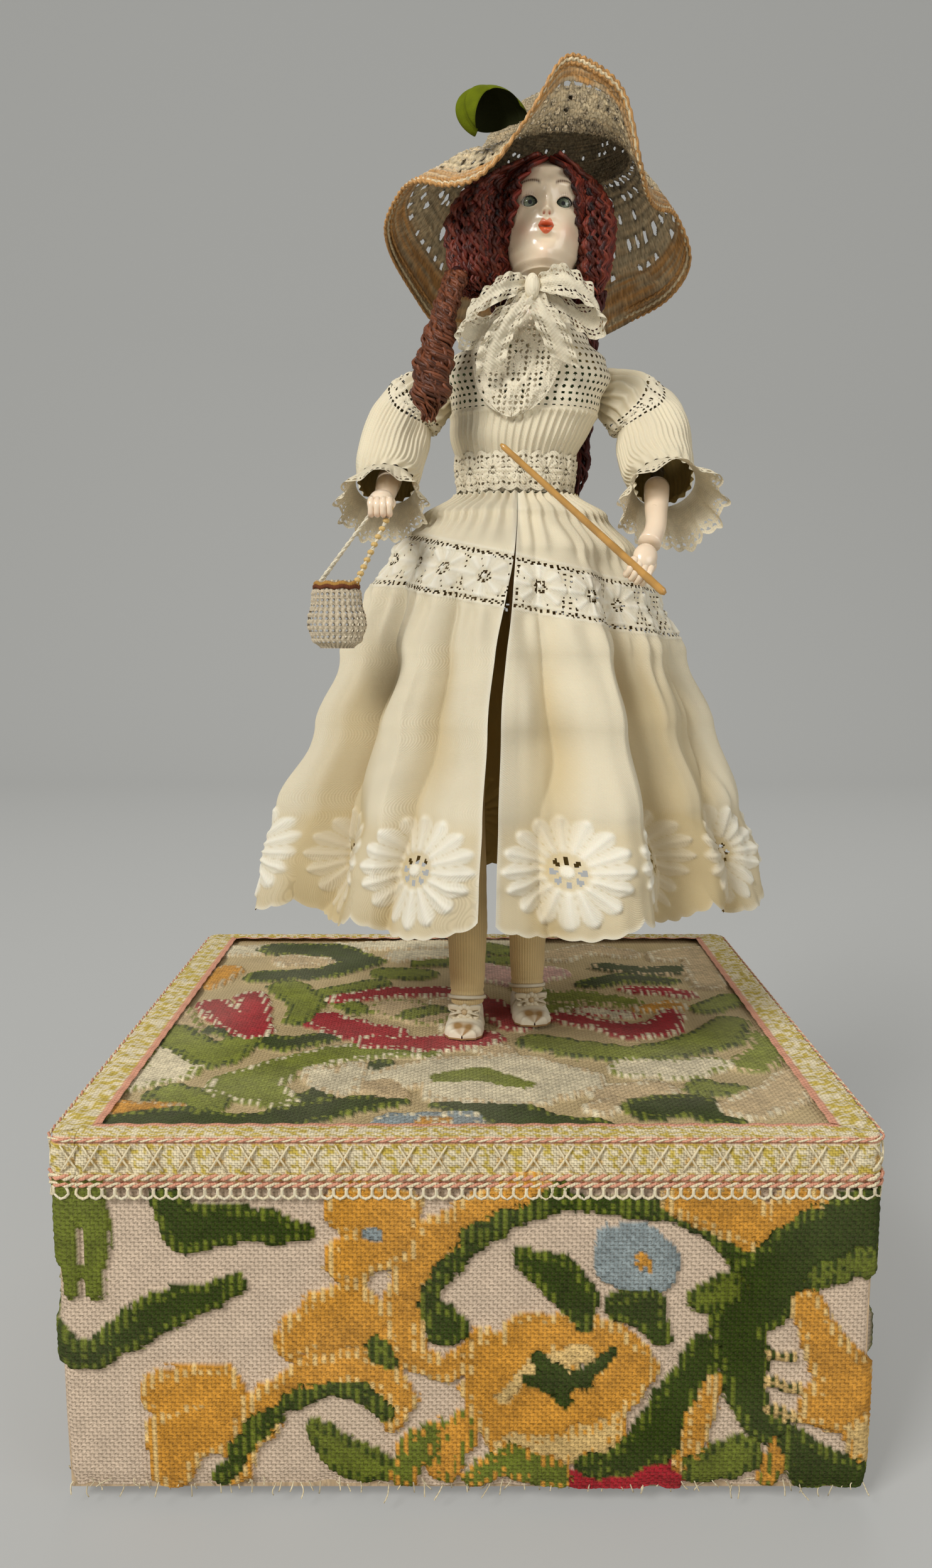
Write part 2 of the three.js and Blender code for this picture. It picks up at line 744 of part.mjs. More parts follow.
function buildGovernor() {
  const flyGap = 2 * workGap + arborReach / 2;
  const arborStart = plateFront - flyGap - flyLength;
  const arborLength = plateBack + plateThickness + arborReach / 2 - arborStart;
  const arbor = rodAlongY(arborRadius, arborLength, governorX, arborStart, governorHeight);
  const phase = drivenPhase(0, trainTeeth, governorTeeth, governorTurn);
  const pinion = gear(
    governorTeeth, trainModule, phase, gearThickness, governorX, governorHeight, trainPlane,
  );
  const fly = block(
    flyWidth, flyLength, flyThickness, governorX, arborStart + flyLength / 2, governorHeight - flyThickness / 2,
  );
  addPiece("governor_fly", join(arbor, pinion, fly), finishes.steel);
}

// Levers that the cams lift, on one axle, and the rods that stand on them
function buildLevers() {
  const axleStart = plateFront - arborReach / 2;
  const axleLength = plateSpan + 2 * plateThickness + arborReach;
  addPiece(
    "lever_axle", rodAlongY(arborRadius, axleLength, leverAxleX, axleStart, leverZ), finishes.steel,
  );
  const leverParts = [
    ["right_arm_lever", leverAY, wireA, 1],
    ["left_arm_lever", leverBY, wireB, -1],
  ];
  for (const [name, centreY, wireX, padSide] of leverParts) {
    const eye = rodAlongY(
      leverEyeRadius, leverThickness, leverAxleX, centreY - leverThickness / 2, leverZ, roundSides,
    );
    const startX = wireX - padWidth / 2;
    const bar = block(
      leverAxleX - startX, leverThickness, leverDepth,
      (leverAxleX + startX) / 2, centreY, leverZ - leverDepth / 2,
    );
    const reach = Math.abs(centreY + rodForward) + rodRadius;
    const pad = block(
      padWidth, reach, leverDepth, wireX, centreY + (padSide * reach) / 2, leverZ - leverDepth / 2,
    );
    const hole = rodAlongY(
      arborRadius + seatGap, 3 * leverThickness, leverAxleX, centreY - 1.5 * leverThickness, leverZ,
    );
    addPiece(name, cut(join(eye, bar, pad), hole), finishes.steel);
    const rodBase = leverZ + leverDepth / 2 + seatGap;
    const rodLength = rodTop - armShaftRadius / 2 - workGap - rodBase;
    const rodName = name.replace("lever", "push_rod");
    addPiece(rodName, uprightRod(rodRadius, rodLength, wireX, -rodForward, rodBase, 8), finishes.steel);
  }
}

// Shaft in the left leg that turns the neck, with a crank for the swash disc
function buildHeadShaft() {
  const crankBase = floorTop + headCrankHeight;
  const neckBase = boxTop + collarHeight + workGap;
  const shaft = uprightRod(shaftRadius, neckBase - crankBase + workGap, leftLegX, leftLegY, crankBase);
  const crankLength = Math.hypot(headCrankX, headCrankY);
  const arm = block(crankLength, 2 * shaftRadius, headCrankThickness, crankLength / 2, 0, crankBase);
  arm.rotateZ(Math.atan2(headCrankY, headCrankX));
  arm.translate(leftLegX, leftLegY, 0);
  const pinX = leftLegX + headCrankX;
  const pinY = leftLegY + headCrankY;
  const pin = uprightRod(
    shaftRadius, headPinLength + headCrankThickness, pinX, pinY, crankBase - headPinLength,
  );
  const neckHeight = boxTop + nodHeight - workGap - neckBase;
  const neck = uprightRod(neckRadius, neckHeight, leftLegX, leftLegY, neckBase, roundSides, neckTopRadius);
  const tongue = uprightRod(
    headBoreRadius - workGap, headBoreDepth / 2, leftLegX, leftLegY, neckBase + neckHeight - workGap,
  );
  addPiece("neck_and_shaft", join(shaft, arm, pin, neck, tongue), finishes.steel);
}

function buildWinding() {
  const reachY = boxDepth / 2 + keyReach - keyBowHeight;
  const shaftStart = plateFront - arborReach / 2;
  const shaft = rodAlongY(keyShaftRadius, reachY - shaftStart, barrelX, shaftStart, arborHeight);
  const step = fullTurn / ratchetTeeth;
  const points = [];
  for (let tooth = 0; tooth < ratchetTeeth; tooth += 1) {
    for (const [share, radius] of [[0, ratchetRadius], [0.9, ratchetRadius - ratchetDepth]]) {
      const turn = (tooth + share) * step;
      points.push(new THREE.Vector2(radius * Math.cos(turn), radius * Math.sin(turn)));
    }
  }
  const ratchetY = plateBack + plateThickness + workGap + ratchetThickness / 2;
  const ratchet = plateAlongY(new THREE.Shape(points), ratchetThickness, ratchetY);
  ratchet.translate(barrelX, 0, arborHeight);
  addPiece("winding_arbor", join(shaft, ratchet), finishes.steel);

  // Key with a flat two-eyed bow, pushed on the arbor
  const bow = new THREE.Shape();
  const lobe = keyBowLength / 2 - keyBowHeight / 2;
  bow.absarc(lobe, 0, keyBowHeight / 2, -Math.PI / 2, Math.PI / 2);
  bow.absarc(-lobe, 0, keyBowHeight / 2, Math.PI / 2, 1.5 * Math.PI);
  for (const side of [-1, 1]) {
    const eye = new THREE.Path();
    eye.absarc(side * (keyBowLength / 4), 0, keyBowHoleRadius, 0, fullTurn);
    bow.holes.push(eye);
  }
  const plate = new THREE.ExtrudeGeometry(bow, {
    depth: keyBowThickness, bevelEnabled: false, curveSegments: 6,
  });
  plate.translate(barrelX, backMost - keyBowHeight / 2, arborHeight - keyBowThickness / 2);
  const socketStart = boxDepth / 2 + coverThickness;
  const socketLength = backMost - keyBowHeight + keyBowThickness - socketStart;
  const socketRadius = keyShaftRadius + seatGap + arborRadius;
  const socket = rodAlongY(socketRadius, socketLength, barrelX, socketStart, arborHeight, roundSides);
  const hollowLength = reachY + seatGap - socketStart + cutOverrun;
  const hollow = rodAlongY(
    keyShaftRadius + seatGap, hollowLength, barrelX, socketStart - cutOverrun, arborHeight,
  );
  addPiece("winding_key", cut(join(plate, socket), hollow), finishes.brass);

  // Click that holds the ratchet wheel, on a stud of the back plate
  const arm = block(
    clickLength, ratchetThickness, clickWidth, barrelX + clickLength / 2, ratchetY, clickZ - clickWidth / 2,
  );
  const pinHole = rodAlongY(
    clickPinRadius + seatGap, 3 * ratchetThickness, clickPinX, ratchetY - 1.5 * ratchetThickness, clickZ,
  );
  addPiece("ratchet_click", cut(arm, pinHole), finishes.steel);
}

function buildStopLever() {
  const z = floorTop + stopHeight;
  const innerY = woodHalfDepth - boardThickness - stopInside;
  const length = boxDepth / 2 + stopOutside - innerY;
  const stem = rodAlongY(stopRadius, length, stopX, innerY, z);
  const knob = egg(vector(stopX, boxDepth / 2 + stopOutside, z), stopKnobRadius, stopKnobRadius, stopKnobRadius);
  const guard = block(
    4 * stopRadius + stopTravel, gearThickness, 4 * stopRadius,
    stopX, woodHalfDepth - boardThickness - seatGap - gearThickness / 2, z - 2 * stopRadius,
  );
  addPiece("stop_lever", join(stem, knob, guard), finishes.brass);
}

// Hollow leg: the stocking's shape outside, a bore inside
function leg(boreRadius, baseZ, topZ) {
  const height = topZ - baseZ;
  const shareRows = [[0, ankleRadius], [0.2, calfRadius], [0.34, calfRadius], [0.5, ankleRadius], [1, thighRadius]];
  const wall = ([share, radius]) =>
    new THREE.Vector2(Math.max(radius, boreRadius + legWallAtAnkle), baseZ + share * height);
  const outer = shareRows.map(wall);
  const inner = [new THREE.Vector2(boreRadius, topZ), new THREE.Vector2(boreRadius, baseZ)];
  const profile = [...outer, ...inner, outer[0].clone()];
  return new THREE.LatheGeometry(profile, roundSides).rotateX(Math.PI / 2);
}

function shoeRing(heightShare, lengthShare, widthShare, shiftShare) {
  const half = (shoeLength * lengthShare) / 2;
  const middle = -shoeLength * (0.5 - shoeHeelShare) * shiftShare;
  return ellipseRing(0, middle, shoeHeight * heightShare, (shoeWidth * widthShare) / 2, half, roundSides);
}

function buildLegs() {
  const shoeShares = [[0, 0.92, 0.86, 1], [0.22, 1, 1, 1], [0.55, 0.9, 0.96, 0.9], [0.8, 0.66, 0.95, 0.4], [1, 0.5, 0.95, 0]];
  const sides = [
    ["right", rightLegX, rightLegY, standRodRadius + seatGap, -toeTurn],
    ["left", leftLegX, leftLegY, legBoreRadius, toeTurn],
  ];
  for (const [side, x, y, boreRadius, turn] of sides) {
    const shoe = loft(shoeShares.map((shares) => shoeRing(...shares)));
    const rosette = egg(
      vector(0, -shoeLength * 0.35, shoeHeight * 0.8), rosetteRadius, rosetteDepth, rosetteDepth,
    );
    const bore = uprightRod(boreRadius, 4 * shoeHeight, 0, 0, -shoeHeight, roundSides);
    const whole = cut(join(shoe, rosette), bore);
    whole.rotateZ(THREE.MathUtils.degToRad(turn));
    whole.translate(x, y, boxTop + seatGap);
    addPiece(`${side}_shoe`, whole, finishes.leather);
    const legPiece = leg(boreRadius, boxTop + shoeHeight + 2 * seatGap, boxTop + hipHeight - seatGap);
    addPiece(`${side}_leg`, legPiece.translate(x, y, 0), finishes.stocking);
  }
  const rodLength = boxTop + hipHeight - seatGap - innerTop;
  addPiece(
    "stand_rod", uprightRod(standRodRadius, rodLength, rightLegX, rightLegY, innerTop), finishes.steel,
  );
}

// Rows of the torso: height above the box top, centre X, half width, half depth
const torsoRows = [
  [hipHeight, torsoX - hipShift, waistHalfWidth + hipSpread, waistHalfDepth + hipSpread],
  [beltBase, torsoX, waistHalfWidth, waistHalfDepth],
  [beltTop, torsoX, waistHalfWidth + beltSpread, waistHalfDepth + beltSpread],
  [shoulderHeight - chestDrop, shoulderX, chestHalfWidth, chestHalfDepth],
  [shoulderHeight + shoulderRise, shoulderX, shoulderHalfWidth - shoulderInset, shoulderHalfDepth],
  [collarHeight - neckDrop, leftLegX - neckShift, neckHalfWidth + neckSpread, neckHalfWidth],
  [collarHeight, leftLegX, neckHalfWidth, neckHalfWidth - neckShift],
];

function torsoRing(height, grow, sides) {
  const [, centreX, halfWidth, halfDepth] = readRows(torsoRows, height);
  return ellipseRing(centreX, torsoY, boxTop + height, halfWidth + grow, halfDepth + grow, sides);
}

function torsoPoint(turnShare, height, grow) {
  const [, centreX, halfWidth, halfDepth] = readRows(torsoRows, height);
  const turn = turnShare * fullTurn;
  const x = centreX + (halfWidth + grow) * Math.cos(turn);
  return vector(x, torsoY + (halfDepth + grow) * Math.sin(turn), boxTop + height);
}

function buildTorso() {
  const sides = 20;
  const body = loft(torsoRows.map(([height]) => torsoRing(height, 0, sides)));
  const crankRoom = rodForward + shoulderY;
  const pocketWidth = 2 * (rodHalfSpread + padWidth);
  const pocket = block(
    pocketWidth, crankRoom + 4 * armShaftRadius, 4 * crankRoom / 2,
    leftLegX, (shoulderY - rodForward) / 2, rodTop - crankRoom / 2,
  );
  const shaftBore = rodAlongX(
    armShaftRadius + seatGap, 4 * shoulderHalfWidth, shoulderX - 2 * shoulderHalfWidth, shoulderY, rodTop,
  );
  const wireBore = uprightRod(
    legBoreRadius, collarHeight - hipHeight + 2 * cutOverrun, leftLegX, leftLegY,
    boxTop + hipHeight - cutOverrun, roundSides,
  );
  addPiece("torso", cut(body, pocket, shaftBore, wireBore), finishes.wood);

  const outerGrow = torsoGap + clothThickness;
  const blouseHeights = torsoRows.map(([height]) => height).filter((height) => height >= beltBase);
  const blouse = sheetShell(sides, blouseHeights.length - 1, true, (u, v, side) => {
    const height = blouseHeights[Math.round(v * (blouseHeights.length - 1))];
    return torsoPoint(u, height, side === 0 ? outerGrow : torsoGap);
  });
  const armHole = rodAlongX(
    armHoleRadius, 4 * shoulderHalfWidth, shoulderX - 2 * shoulderHalfWidth, shoulderY, rodTop,
  );
  addPiece("blouse", cut(blouse, armHole), finishes.cotton);

  const beltGrow = outerGrow + seatGap;
  const belt = sheetShell(sides, 1, true, (u, v, side) => {
    const height = THREE.MathUtils.lerp(beltBase + seatGap, beltTop, v);
    return torsoPoint(u, height, side === 0 ? beltGrow + clothThickness : beltGrow);
  });
  addPiece("lace_belt", belt, finishes.lace);
}

// Lace jabot and bow on the breast, outlines in shares of their half width and height
const jabotWidth = 34;
const jabotHeight = 42;
const jabotTopHeight = collarHeight - neckDrop;
const jabotThickness = 1.4;
const jabotShares = [[-0.5, 1], [0.5, 1], [0.46, 0.55], [0.2, 0.2], [0, 0], [-0.22, 0.25], [-0.46, 0.6]];
const bowWidth = 54;
const bowHeight = 36;
const bowRise = 16;
const bowTopHeight = collarHeight + bowRise;
const bowThickness = 4;
const bowShares = [
  [-0.06, 0.9], [0.1, 0.95], [0.3, 0.9], [0.5, 0.45], [0.42, 0.2], [0.2, 0.5], [0.1, 0.62], [0.16, 0.1],
  [0.02, 0.2], [-0.1, 0], [-0.08, 0.6], [-0.25, 0.35], [-0.45, 0.02], [-0.5, 0.3], [-0.3, 0.8],
];

function sharesOutline(shares, width, height, centreX, baseZ) {
  return new THREE.Shape(
    shares.map(([x, z]) => new THREE.Vector2(centreX + x * width, baseZ + z * height)),
  );
}

function buildNeckLace() {
  const blouseFront = torsoY - chestHalfDepth - torsoGap - clothThickness;
  const jabotY = blouseFront - seatGap - jabotThickness / 2;
  const jabotShape = sharesOutline(
    jabotShares, jabotWidth, jabotHeight, torsoX, boxTop + jabotTopHeight - jabotHeight,
  );
  addPiece("jabot", plateAlongY(jabotShape, jabotThickness, jabotY), finishes.lace);
  const bowY = jabotY - jabotThickness / 2 - seatGap - bowThickness / 2;
  const bowShape = sharesOutline(
    bowShares, bowWidth, bowHeight, leftLegX, boxTop + bowTopHeight - bowHeight,
  );
  addPiece("neck_bow", plateAlongY(bowShape, bowThickness, bowY), finishes.lace);
}

// Skirt rows: share of the drop from the waist, then shares of the way from waist to hem sizes
const skirtShareRows = [
  [0, 0, 0], [0.05, 0.16, 0.2], [0.14, 0.32, 0.38], [0.24, 0.46, 0.48], [0.38, 0.62, 0.6],
  [0.55, 0.76, 0.74], [0.75, 0.89, 0.88], [0.9, 0.97, 0.96], [1, 1, 1],
];
const deepFoldShares = [0.6, 0.89];

function skirtPoint(u, v, grow) {
  const gapShare = slitWidth / (fullTurn * hemHalfWidth);
  const turnShare = 0.75 + gapShare + u * (1 - 2 * gapShare);
  const turn = turnShare * fullTurn;
  const row = skirtShareRows[Math.round(v * skirtRows)];
  const halfWidth = THREE.MathUtils.lerp(skirtWaistHalfWidth, hemHalfWidth, row[1]);
  const halfDepth = THREE.MathUtils.lerp(skirtWaistHalfDepth, hemHalfDepth, row[2]);
  const centreX = THREE.MathUtils.lerp(torsoX, hemX, row[1]);
  let fold = Math.cos(skirtFolds * turn) * 0.5;
  for (const place of deepFoldShares) {
    const away = Math.abs((((turnShare - place + 0.5) % 1) + 1) % 1 - 0.5) * skirtFolds * 1.5;
    fold -= Math.max(0, 1 - away * away) * 1.6;
  }
  const out = grow + fold * foldDepth * smoothShare(Math.min(1, 1.4 * row[0]));
  const x = centreX + (halfWidth + out) * Math.cos(turn);
  const y = torsoY + (halfDepth + out) * Math.sin(turn);
  return vector(x, y, boxTop + THREE.MathUtils.lerp(skirtTop, skirtHem, row[0]));
}

function buildSkirt() {
  const skirt = sheetShell(skirtColumns, skirtRows, false, (u, v, side) =>
    skirtPoint(u, v, side === 0 ? 0 : -skirtThickness));
  addPiece("skirt", skirt, finishes.cotton);
}

// Head rings: share of the height, share of half width, share of half depth, shift forward share
const headShareRows = [
  [0, 0.42, 0.4, 0.1], [0.06, 0.6, 0.72, 0.22], [0.18, 0.84, 0.88, 0.12], [0.34, 0.96, 0.96, 0.05],
  [0.5, 1, 1, 0], [0.66, 0.98, 0.98, 0], [0.82, 0.8, 0.82, 0], [0.94, 0.5, 0.52, 0], [1, 0.2, 0.2, 0],
];

function headSolid(grow) {
  return loft(headShareRows.map(([height, width, depth, shift]) => {
    const z = height * headHeight + grow * (2 * height - 1);
    return ellipseRing(
      0, -shift * headHalfDepth, z, width * headHalfWidth + grow, depth * headHalfDepth + grow, roundSides,
    );
  }));
}

function buildHead() {
  const head = new THREE.Group();
  head.position.set(headX, headY, boxTop + headBase);
  head.rotation.y = THREE.MathUtils.degToRad(headTilt);
  doll.add(head);
  const eyeY = -headHalfDepth + eyeRadius * 0.75;
  const eyes = [["right_eye", -1], ["left_eye", 1]];
  const sockets = eyes.map(([, side]) => egg(
    vector(side * eyeSpread, eyeY, eyeHeight), eyeRadius + seatGap, eyeRadius + seatGap, eyeRadius + seatGap,
  ));
  const boreX = leftLegX - headX;
  const boreY = leftLegY - headY;
  const neckBore = uprightRod(
    headBoreRadius, 2 * headBoreDepth, boreX, boreY, -headBoreDepth + workGap, roundSides,
  );
  addPiece("head", cut(headSolid(0), ...sockets, neckBore), finishes.bisque, head);
  for (const [name, side] of eyes) {
    const eye = egg(vector(side * eyeSpread, eyeY, eyeHeight), eyeRadius, eyeRadius, eyeRadius, 12);
    addPiece(name, eye, finishes.glass, head);
  }
  buildWig(head);
}

// Wig: cap and two side masses of curls, hollowed over the head and open at the face
const wigHalfWidth = 32;
const wigHalfDepth = 26;
const wigHalfHeight = 45;
const wigFloorShare = 0.1;
const lobeHalfWidth = 15;
const lobeHalfDepth = 14;
const lobeHalfHeight = 23;
const leftLobeHalfWidth = 10;
const lobeHeight = 11;
const lobeX = 25;
const faceHalfWidth = 12;
const capBackset = 3;
const leftLobeInset = 3;
const leftLobeBackset = 2;

function buildWig(head) {
  const capBlank = egg(vector(0, capBackset, headHeight / 2), wigHalfWidth, wigHalfDepth, wigHalfHeight, 16);
  const floor = block(
    4 * wigHalfWidth, 4 * wigHalfDepth, 2 * wigHalfHeight, 0, 0, wigFloorShare * headHeight - 2 * wigHalfHeight,
  );
  const cap = cut(capBlank, floor);
  const rightMass = egg(vector(-lobeX, 0, lobeHeight), lobeHalfWidth, lobeHalfDepth, lobeHalfHeight);
  const leftMass = egg(
    vector(lobeX - leftLobeInset, leftLobeBackset, lobeHeight), leftLobeHalfWidth, lobeHalfDepth, lobeHalfHeight,
  );
  const face = egg(
    vector(0, -headHalfDepth, headHeight * 0.4), faceHalfWidth, headHalfDepth, headHeight * 0.44,
  );
  const under = block(
    2 * neckRadius + 8 * workGap, 4 * headHalfDepth, headHeight / 2, leftLegX - headX, 0, -headHeight / 2,
  );
  const bareWig = cut(join(cap, rightMass, leftMass), headSolid(hairGap), face, under);
  head.updateMatrix();
  const [curl, tress] = hairFalls();
  const wig = cut(join(bareWig.applyMatrix4(head.matrix), curl, tress), spaceAboveHat());
  addPiece("wig", wig, finishes.hair);
}

// Hat edge round the turn, from +X by the back and left to the front: shares of the brim's reach
// out and of its drop below the band
const brimReachShares = [
  0.92, 1.12, 1.12, 1.08, 1.06, 1.05, 1.08, 1.14, 1.22, 1.27, 1.26, 1.27,
  1.27, 1.2, 1.16, 1.12, 1.06, 0.9, 0.82, 0.82, 0.84, 0.8, 0.76, 0.8,
];
const brimDropShares = [
  0.42, 0.62, 0.8, 0.94, 1.02, 1.04, 1, 1, 0.98, 0.94, 0.8, 0.62,
  0.44, 0.36, 0.37, 0.42, 0.4, 0.15, -0.38, -0.38, -0.16, 0.24, 0.36, 0.4,
];

function hatPoint(turnShare, reach, grow) {
  const turn = turnShare * fullTurn;
  const wave = Math.cos(turn * 7) * brimWave;
  if (reach <= 1) {
    const edge = readRound(brimReachShares, turnShare) * brimReach;
    const radius = THREE.MathUtils.lerp(edge, hatCrownRadius, reach) + grow * 0.4;
    const drop = readRound(brimDropShares, turnShare) * brimDrop * Math.pow(1 - reach, 1.5);
    const z = boxTop + hatBandHeight - drop + wave * (1 - reach) + grow;
    return vector(hatX + radius * Math.cos(turn), hatY + radius * Math.sin(turn), z);
  }
  const rise = (reach - 1) * Math.PI / 2;
  const radius = (hatCrownRadius + grow) * Math.cos(rise);
  const z = boxTop + hatBandHeight + (hatCrownTop - hatBandHeight + grow) * Math.sin(rise) + grow * (2 - reach);
  return vector(hatX + radius * Math.cos(turn), hatY + radius * Math.sin(turn), z);
}

function hatStack(grow) {
  const rings = [];
  for (let row = 0; row <= brimRows; row += 1) {
    rings.push(row / brimRows);
  }
  for (let row = 1; row < crownRows; row += 1) {
    rings.push(1 + row / crownRows);
  }
  return rings.map((reach) =>
    Array.from({ length: hatColumns }, (_, i) => hatPoint(i / hatColumns, reach, grow)));
}

// Thick shell over the hat's inner face, which trims the hair under it
function spaceAboveHat() {
  return loft([...hatStack(wigHalfHeight).reverse(), ...hatStack(-seatGap)]);
}

// Two stacks of rings joined at the brim edge, each closed at the crown
function buildHat() {
  const rings = [...hatStack(hatThickness).reverse(), ...hatStack(0)];
  addPiece("straw_hat", loft(rings), finishes.straw);
  const leafTurnShares = [0.6, 0.69];
  const leafReachShares = [0.2, 0.95];
  const leaf = sheetShell(6, 3, false, (u, v, side) => {
    const narrow = 1 - 0.55 * Math.abs(2 * u - 1) * v;
    const turn = THREE.MathUtils.lerp(leafTurnShares[0], leafTurnShares[1], u);
    const along = 0.5 + (v - 0.5) * narrow;
    const reach = THREE.MathUtils.lerp(leafReachShares[0], leafReachShares[1], along);
    const grow = hatThickness + 3 * seatGap + (side === 0 ? leafThickness : 0);
    return hatPoint(turn, reach, grow);
  });
  addPiece("hat_leaf", leaf, finishes.leafVelvet);
}

// Falls of hair that hang from the wig: a long curl before the right shoulder, a tress behind
function hairFall(path, radii, waves, waveSize) {
  const curve = new THREE.CatmullRomCurve3(path);
  const rings = [];
  const steps = 14;
  for (let i = 0; i <= steps; i += 1) {
    const share = i / steps;
    const centre = curve.getPoint(share);
    const turn = share * waves * fullTurn;
    const radius = THREE.MathUtils.lerp(radii[0], radii[1], share);
    rings.push(ellipseRing(
      centre.x + waveSize * Math.cos(turn), centre.y + waveSize * Math.sin(turn), centre.z, radius, radius, 8,
    ));
  }
  return loft(rings);
}

const curlRadius = 4.4;
const curlEndRadius = 2.6;
const tressRadius = 5;
const fallLength = 50;
const curlShares = [[-0.62, -0.16, 0.044], [-0.72, -0.38, -0.276], [-0.76, -0.48, -0.636], [-0.76, -0.48, -1.036]];
const tressShares = [[0.44, 0.14, -0.016], [0.4, 0.46, -0.396], [0.38, 0.64, -0.836], [0.32, 0.68, -1.476]];

function hairFalls() {
  const placed = (shares) => shares.map(([x, y, z]) =>
    vector(headX + x * fallLength, headY + y * fallLength, boxTop + headBase + z * fallLength));
  const curl = hairFall(placed(curlShares), [curlRadius, curlEndRadius], 3, curlRadius / 3);
  const tress = hairFall(placed(tressShares), [tressRadius, curlEndRadius], 2, curlRadius / 3);
  return [curl, tress];
}

// Place on an arm: shares of the arm's length out, ahead and down from the end of its shaft
function armPlace(side, [outShare, aheadShare, downShare]) {
  return [
    shoulderX + side * (shoulderReach + outShare * armLength),
    shoulderY - aheadShare * armLength,
    shoulderHeight - downShare * armLength,
  ];
}

// Sleeve and cuff rings: shares of the place, direction the ring faces, share of the sleeve's radius
const rightSleeveShares = [
  [[0.05, 0.05, 0.02], [-1, 0, -0.2], 0.76],
  [[0.13, 0.08, 0.08], [-0.8, 0, -0.8], 0.92],
  [[0.2, 0.12, 0.22], [-0.4, -0.1, -1], 0.92],
  [[0.26, 0.2, 0.42], [-0.1, -0.3, -1], 1],
  [[0.3, 0.3, 0.62], [0, -0.5, -1], 1],
  [[0.32, 0.38, 0.74], [0, -0.7, -1], 0.864],
];
const leftSleeveShares = [
  [[0.05, 0.05, 0.02], [1, 0, -0.2], 0.76],
  [[0.13, 0.09, 0.08], [0.8, 0, -0.8], 0.96],
  [[0.2, 0.16, 0.24], [0.4, -0.2, -1], 1.04],
  [[0.24, 0.28, 0.44], [0.1, -0.5, -1], 1.12],
  [[0.26, 0.4, 0.62], [0, -0.8, -1], 1.08],
  [[0.28, 0.52, 0.74], [0, -1, -1], 0.864],
];
const rightCuffShares = [[[0.34, 0.5, 0.85], [0, -0.8, -1], 1], [[0.34, 0.58, 0.92], [0, -0.9, -1], 1.24]];
const leftCuffShares = [[[0.3, 0.66, 0.86], [0, -1, -0.9], 1.12], [[0.31, 0.76, 0.94], [0, -1, -0.8], 1.48]];

function armRows(side, rowShares) {
  return rowShares.map(([place, direction, share]) => [armPlace(side, place), direction, share * sleeveRadius]);
}

function sleeveRows(side, rowShares) {
  const capRadius = armShaftRadius + seatGap + sleeveThickness;
  return [[armPlace(side, [0, 0, 0]), [side, 0, 0], capRadius], ...armRows(side, rowShares)];
}

// First row of a cuff, a seat gap past the last row of its sleeve
function followOn(rows) {
  const [centre, direction, radius] = rows[rows.length - 1];
  const facing = vector(...direction).normalize().multiplyScalar(seatGap);
  return [[centre[0] + facing.x, centre[1] + facing.y, centre[2] + facing.z], direction, radius];
}

function sleeveShell(rows, waves, waveSize) {
  return sheetShell(sleeveSides, rows.length - 1, true, (u, v, side) => {
    const [centre, direction, radius] = rows[Math.round(v * (rows.length - 1))];
    const facing = vector(...direction).normalize();
    const turn = new THREE.Quaternion().setFromUnitVectors(vector(0, 0, -1), facing);
    const angle = u * fullTurn;
    const wave = waveSize * Math.cos(waves * angle) * v;
    const reach = radius + wave - side * sleeveThickness;
    const point = vector(reach * Math.cos(angle), reach * Math.sin(angle), 0).applyQuaternion(turn);
    return point.add(vector(centre[0], centre[1], boxTop + centre[2]));
  });
}

const rightElbow = armPlace(-1, [0.28, 0.2, 0.62]);
const rightWrist = armPlace(-1, [0.32, 0.72, 0.89]);
const rightHand = armPlace(-1, [0.32, 0.96, 0.94]);
const leftElbow = armPlace(1, [0.26, 0.34, 0.65]);
const leftWrist = armPlace(1, [0.16, 0.96, 1.1]);
const leftHand = armPlace(1, [0.03, 1.2, 1.38]);
const wireEndShare = 0.5;
const forearmStartShare = 0.25;
const stickTop = armPlace(1, [-0.94, 1.06, 0.55]);
const stickEnd = armPlace(1, [0.18, 1.32, 1.58]);

function place(point) {
  return vector(point[0], point[1], boxTop + point[2]);
}

// Wire arm: shaft in the shoulder, crank over its push rod, upper arm down to the elbow
function armWire(side, wireX, elbow, wrist) {
  const outerX = shoulderX + side * (shoulderReach + shaftReach);
  const innerX = wireX - side * (padWidth / 2);
  const shaftStart = Math.min(outerX, innerX);
  const shaft = rodAlongX(armShaftRadius, Math.abs(outerX - innerX), shaftStart, shoulderY, rodTop);
  const crankLength = shoulderY + rodForward + rodRadius;
  const crank = block(
    padWidth, crankLength, armShaftRadius,
    wireX, shoulderY - crankLength / 2, rodTop - armShaftRadius / 2,
  );
  const shoulder = vector(outerX - side * armShaftRadius, shoulderY, rodTop);
  const upper = rodBetween(shoulder, place(elbow), wireRadius);
  const lower = rodBetween(place(elbow), place(elbow).lerp(place(wrist), wireEndShare), wireRadius);
  const knuckleRadius = 1.3 * wireRadius;
  const knuckles = [shoulder, place(elbow)].map((centre) =>
    egg(centre, knuckleRadius, knuckleRadius, knuckleRadius, rodSides, 6));
  return join(shaft, crank, upper, lower, ...knuckles);
}

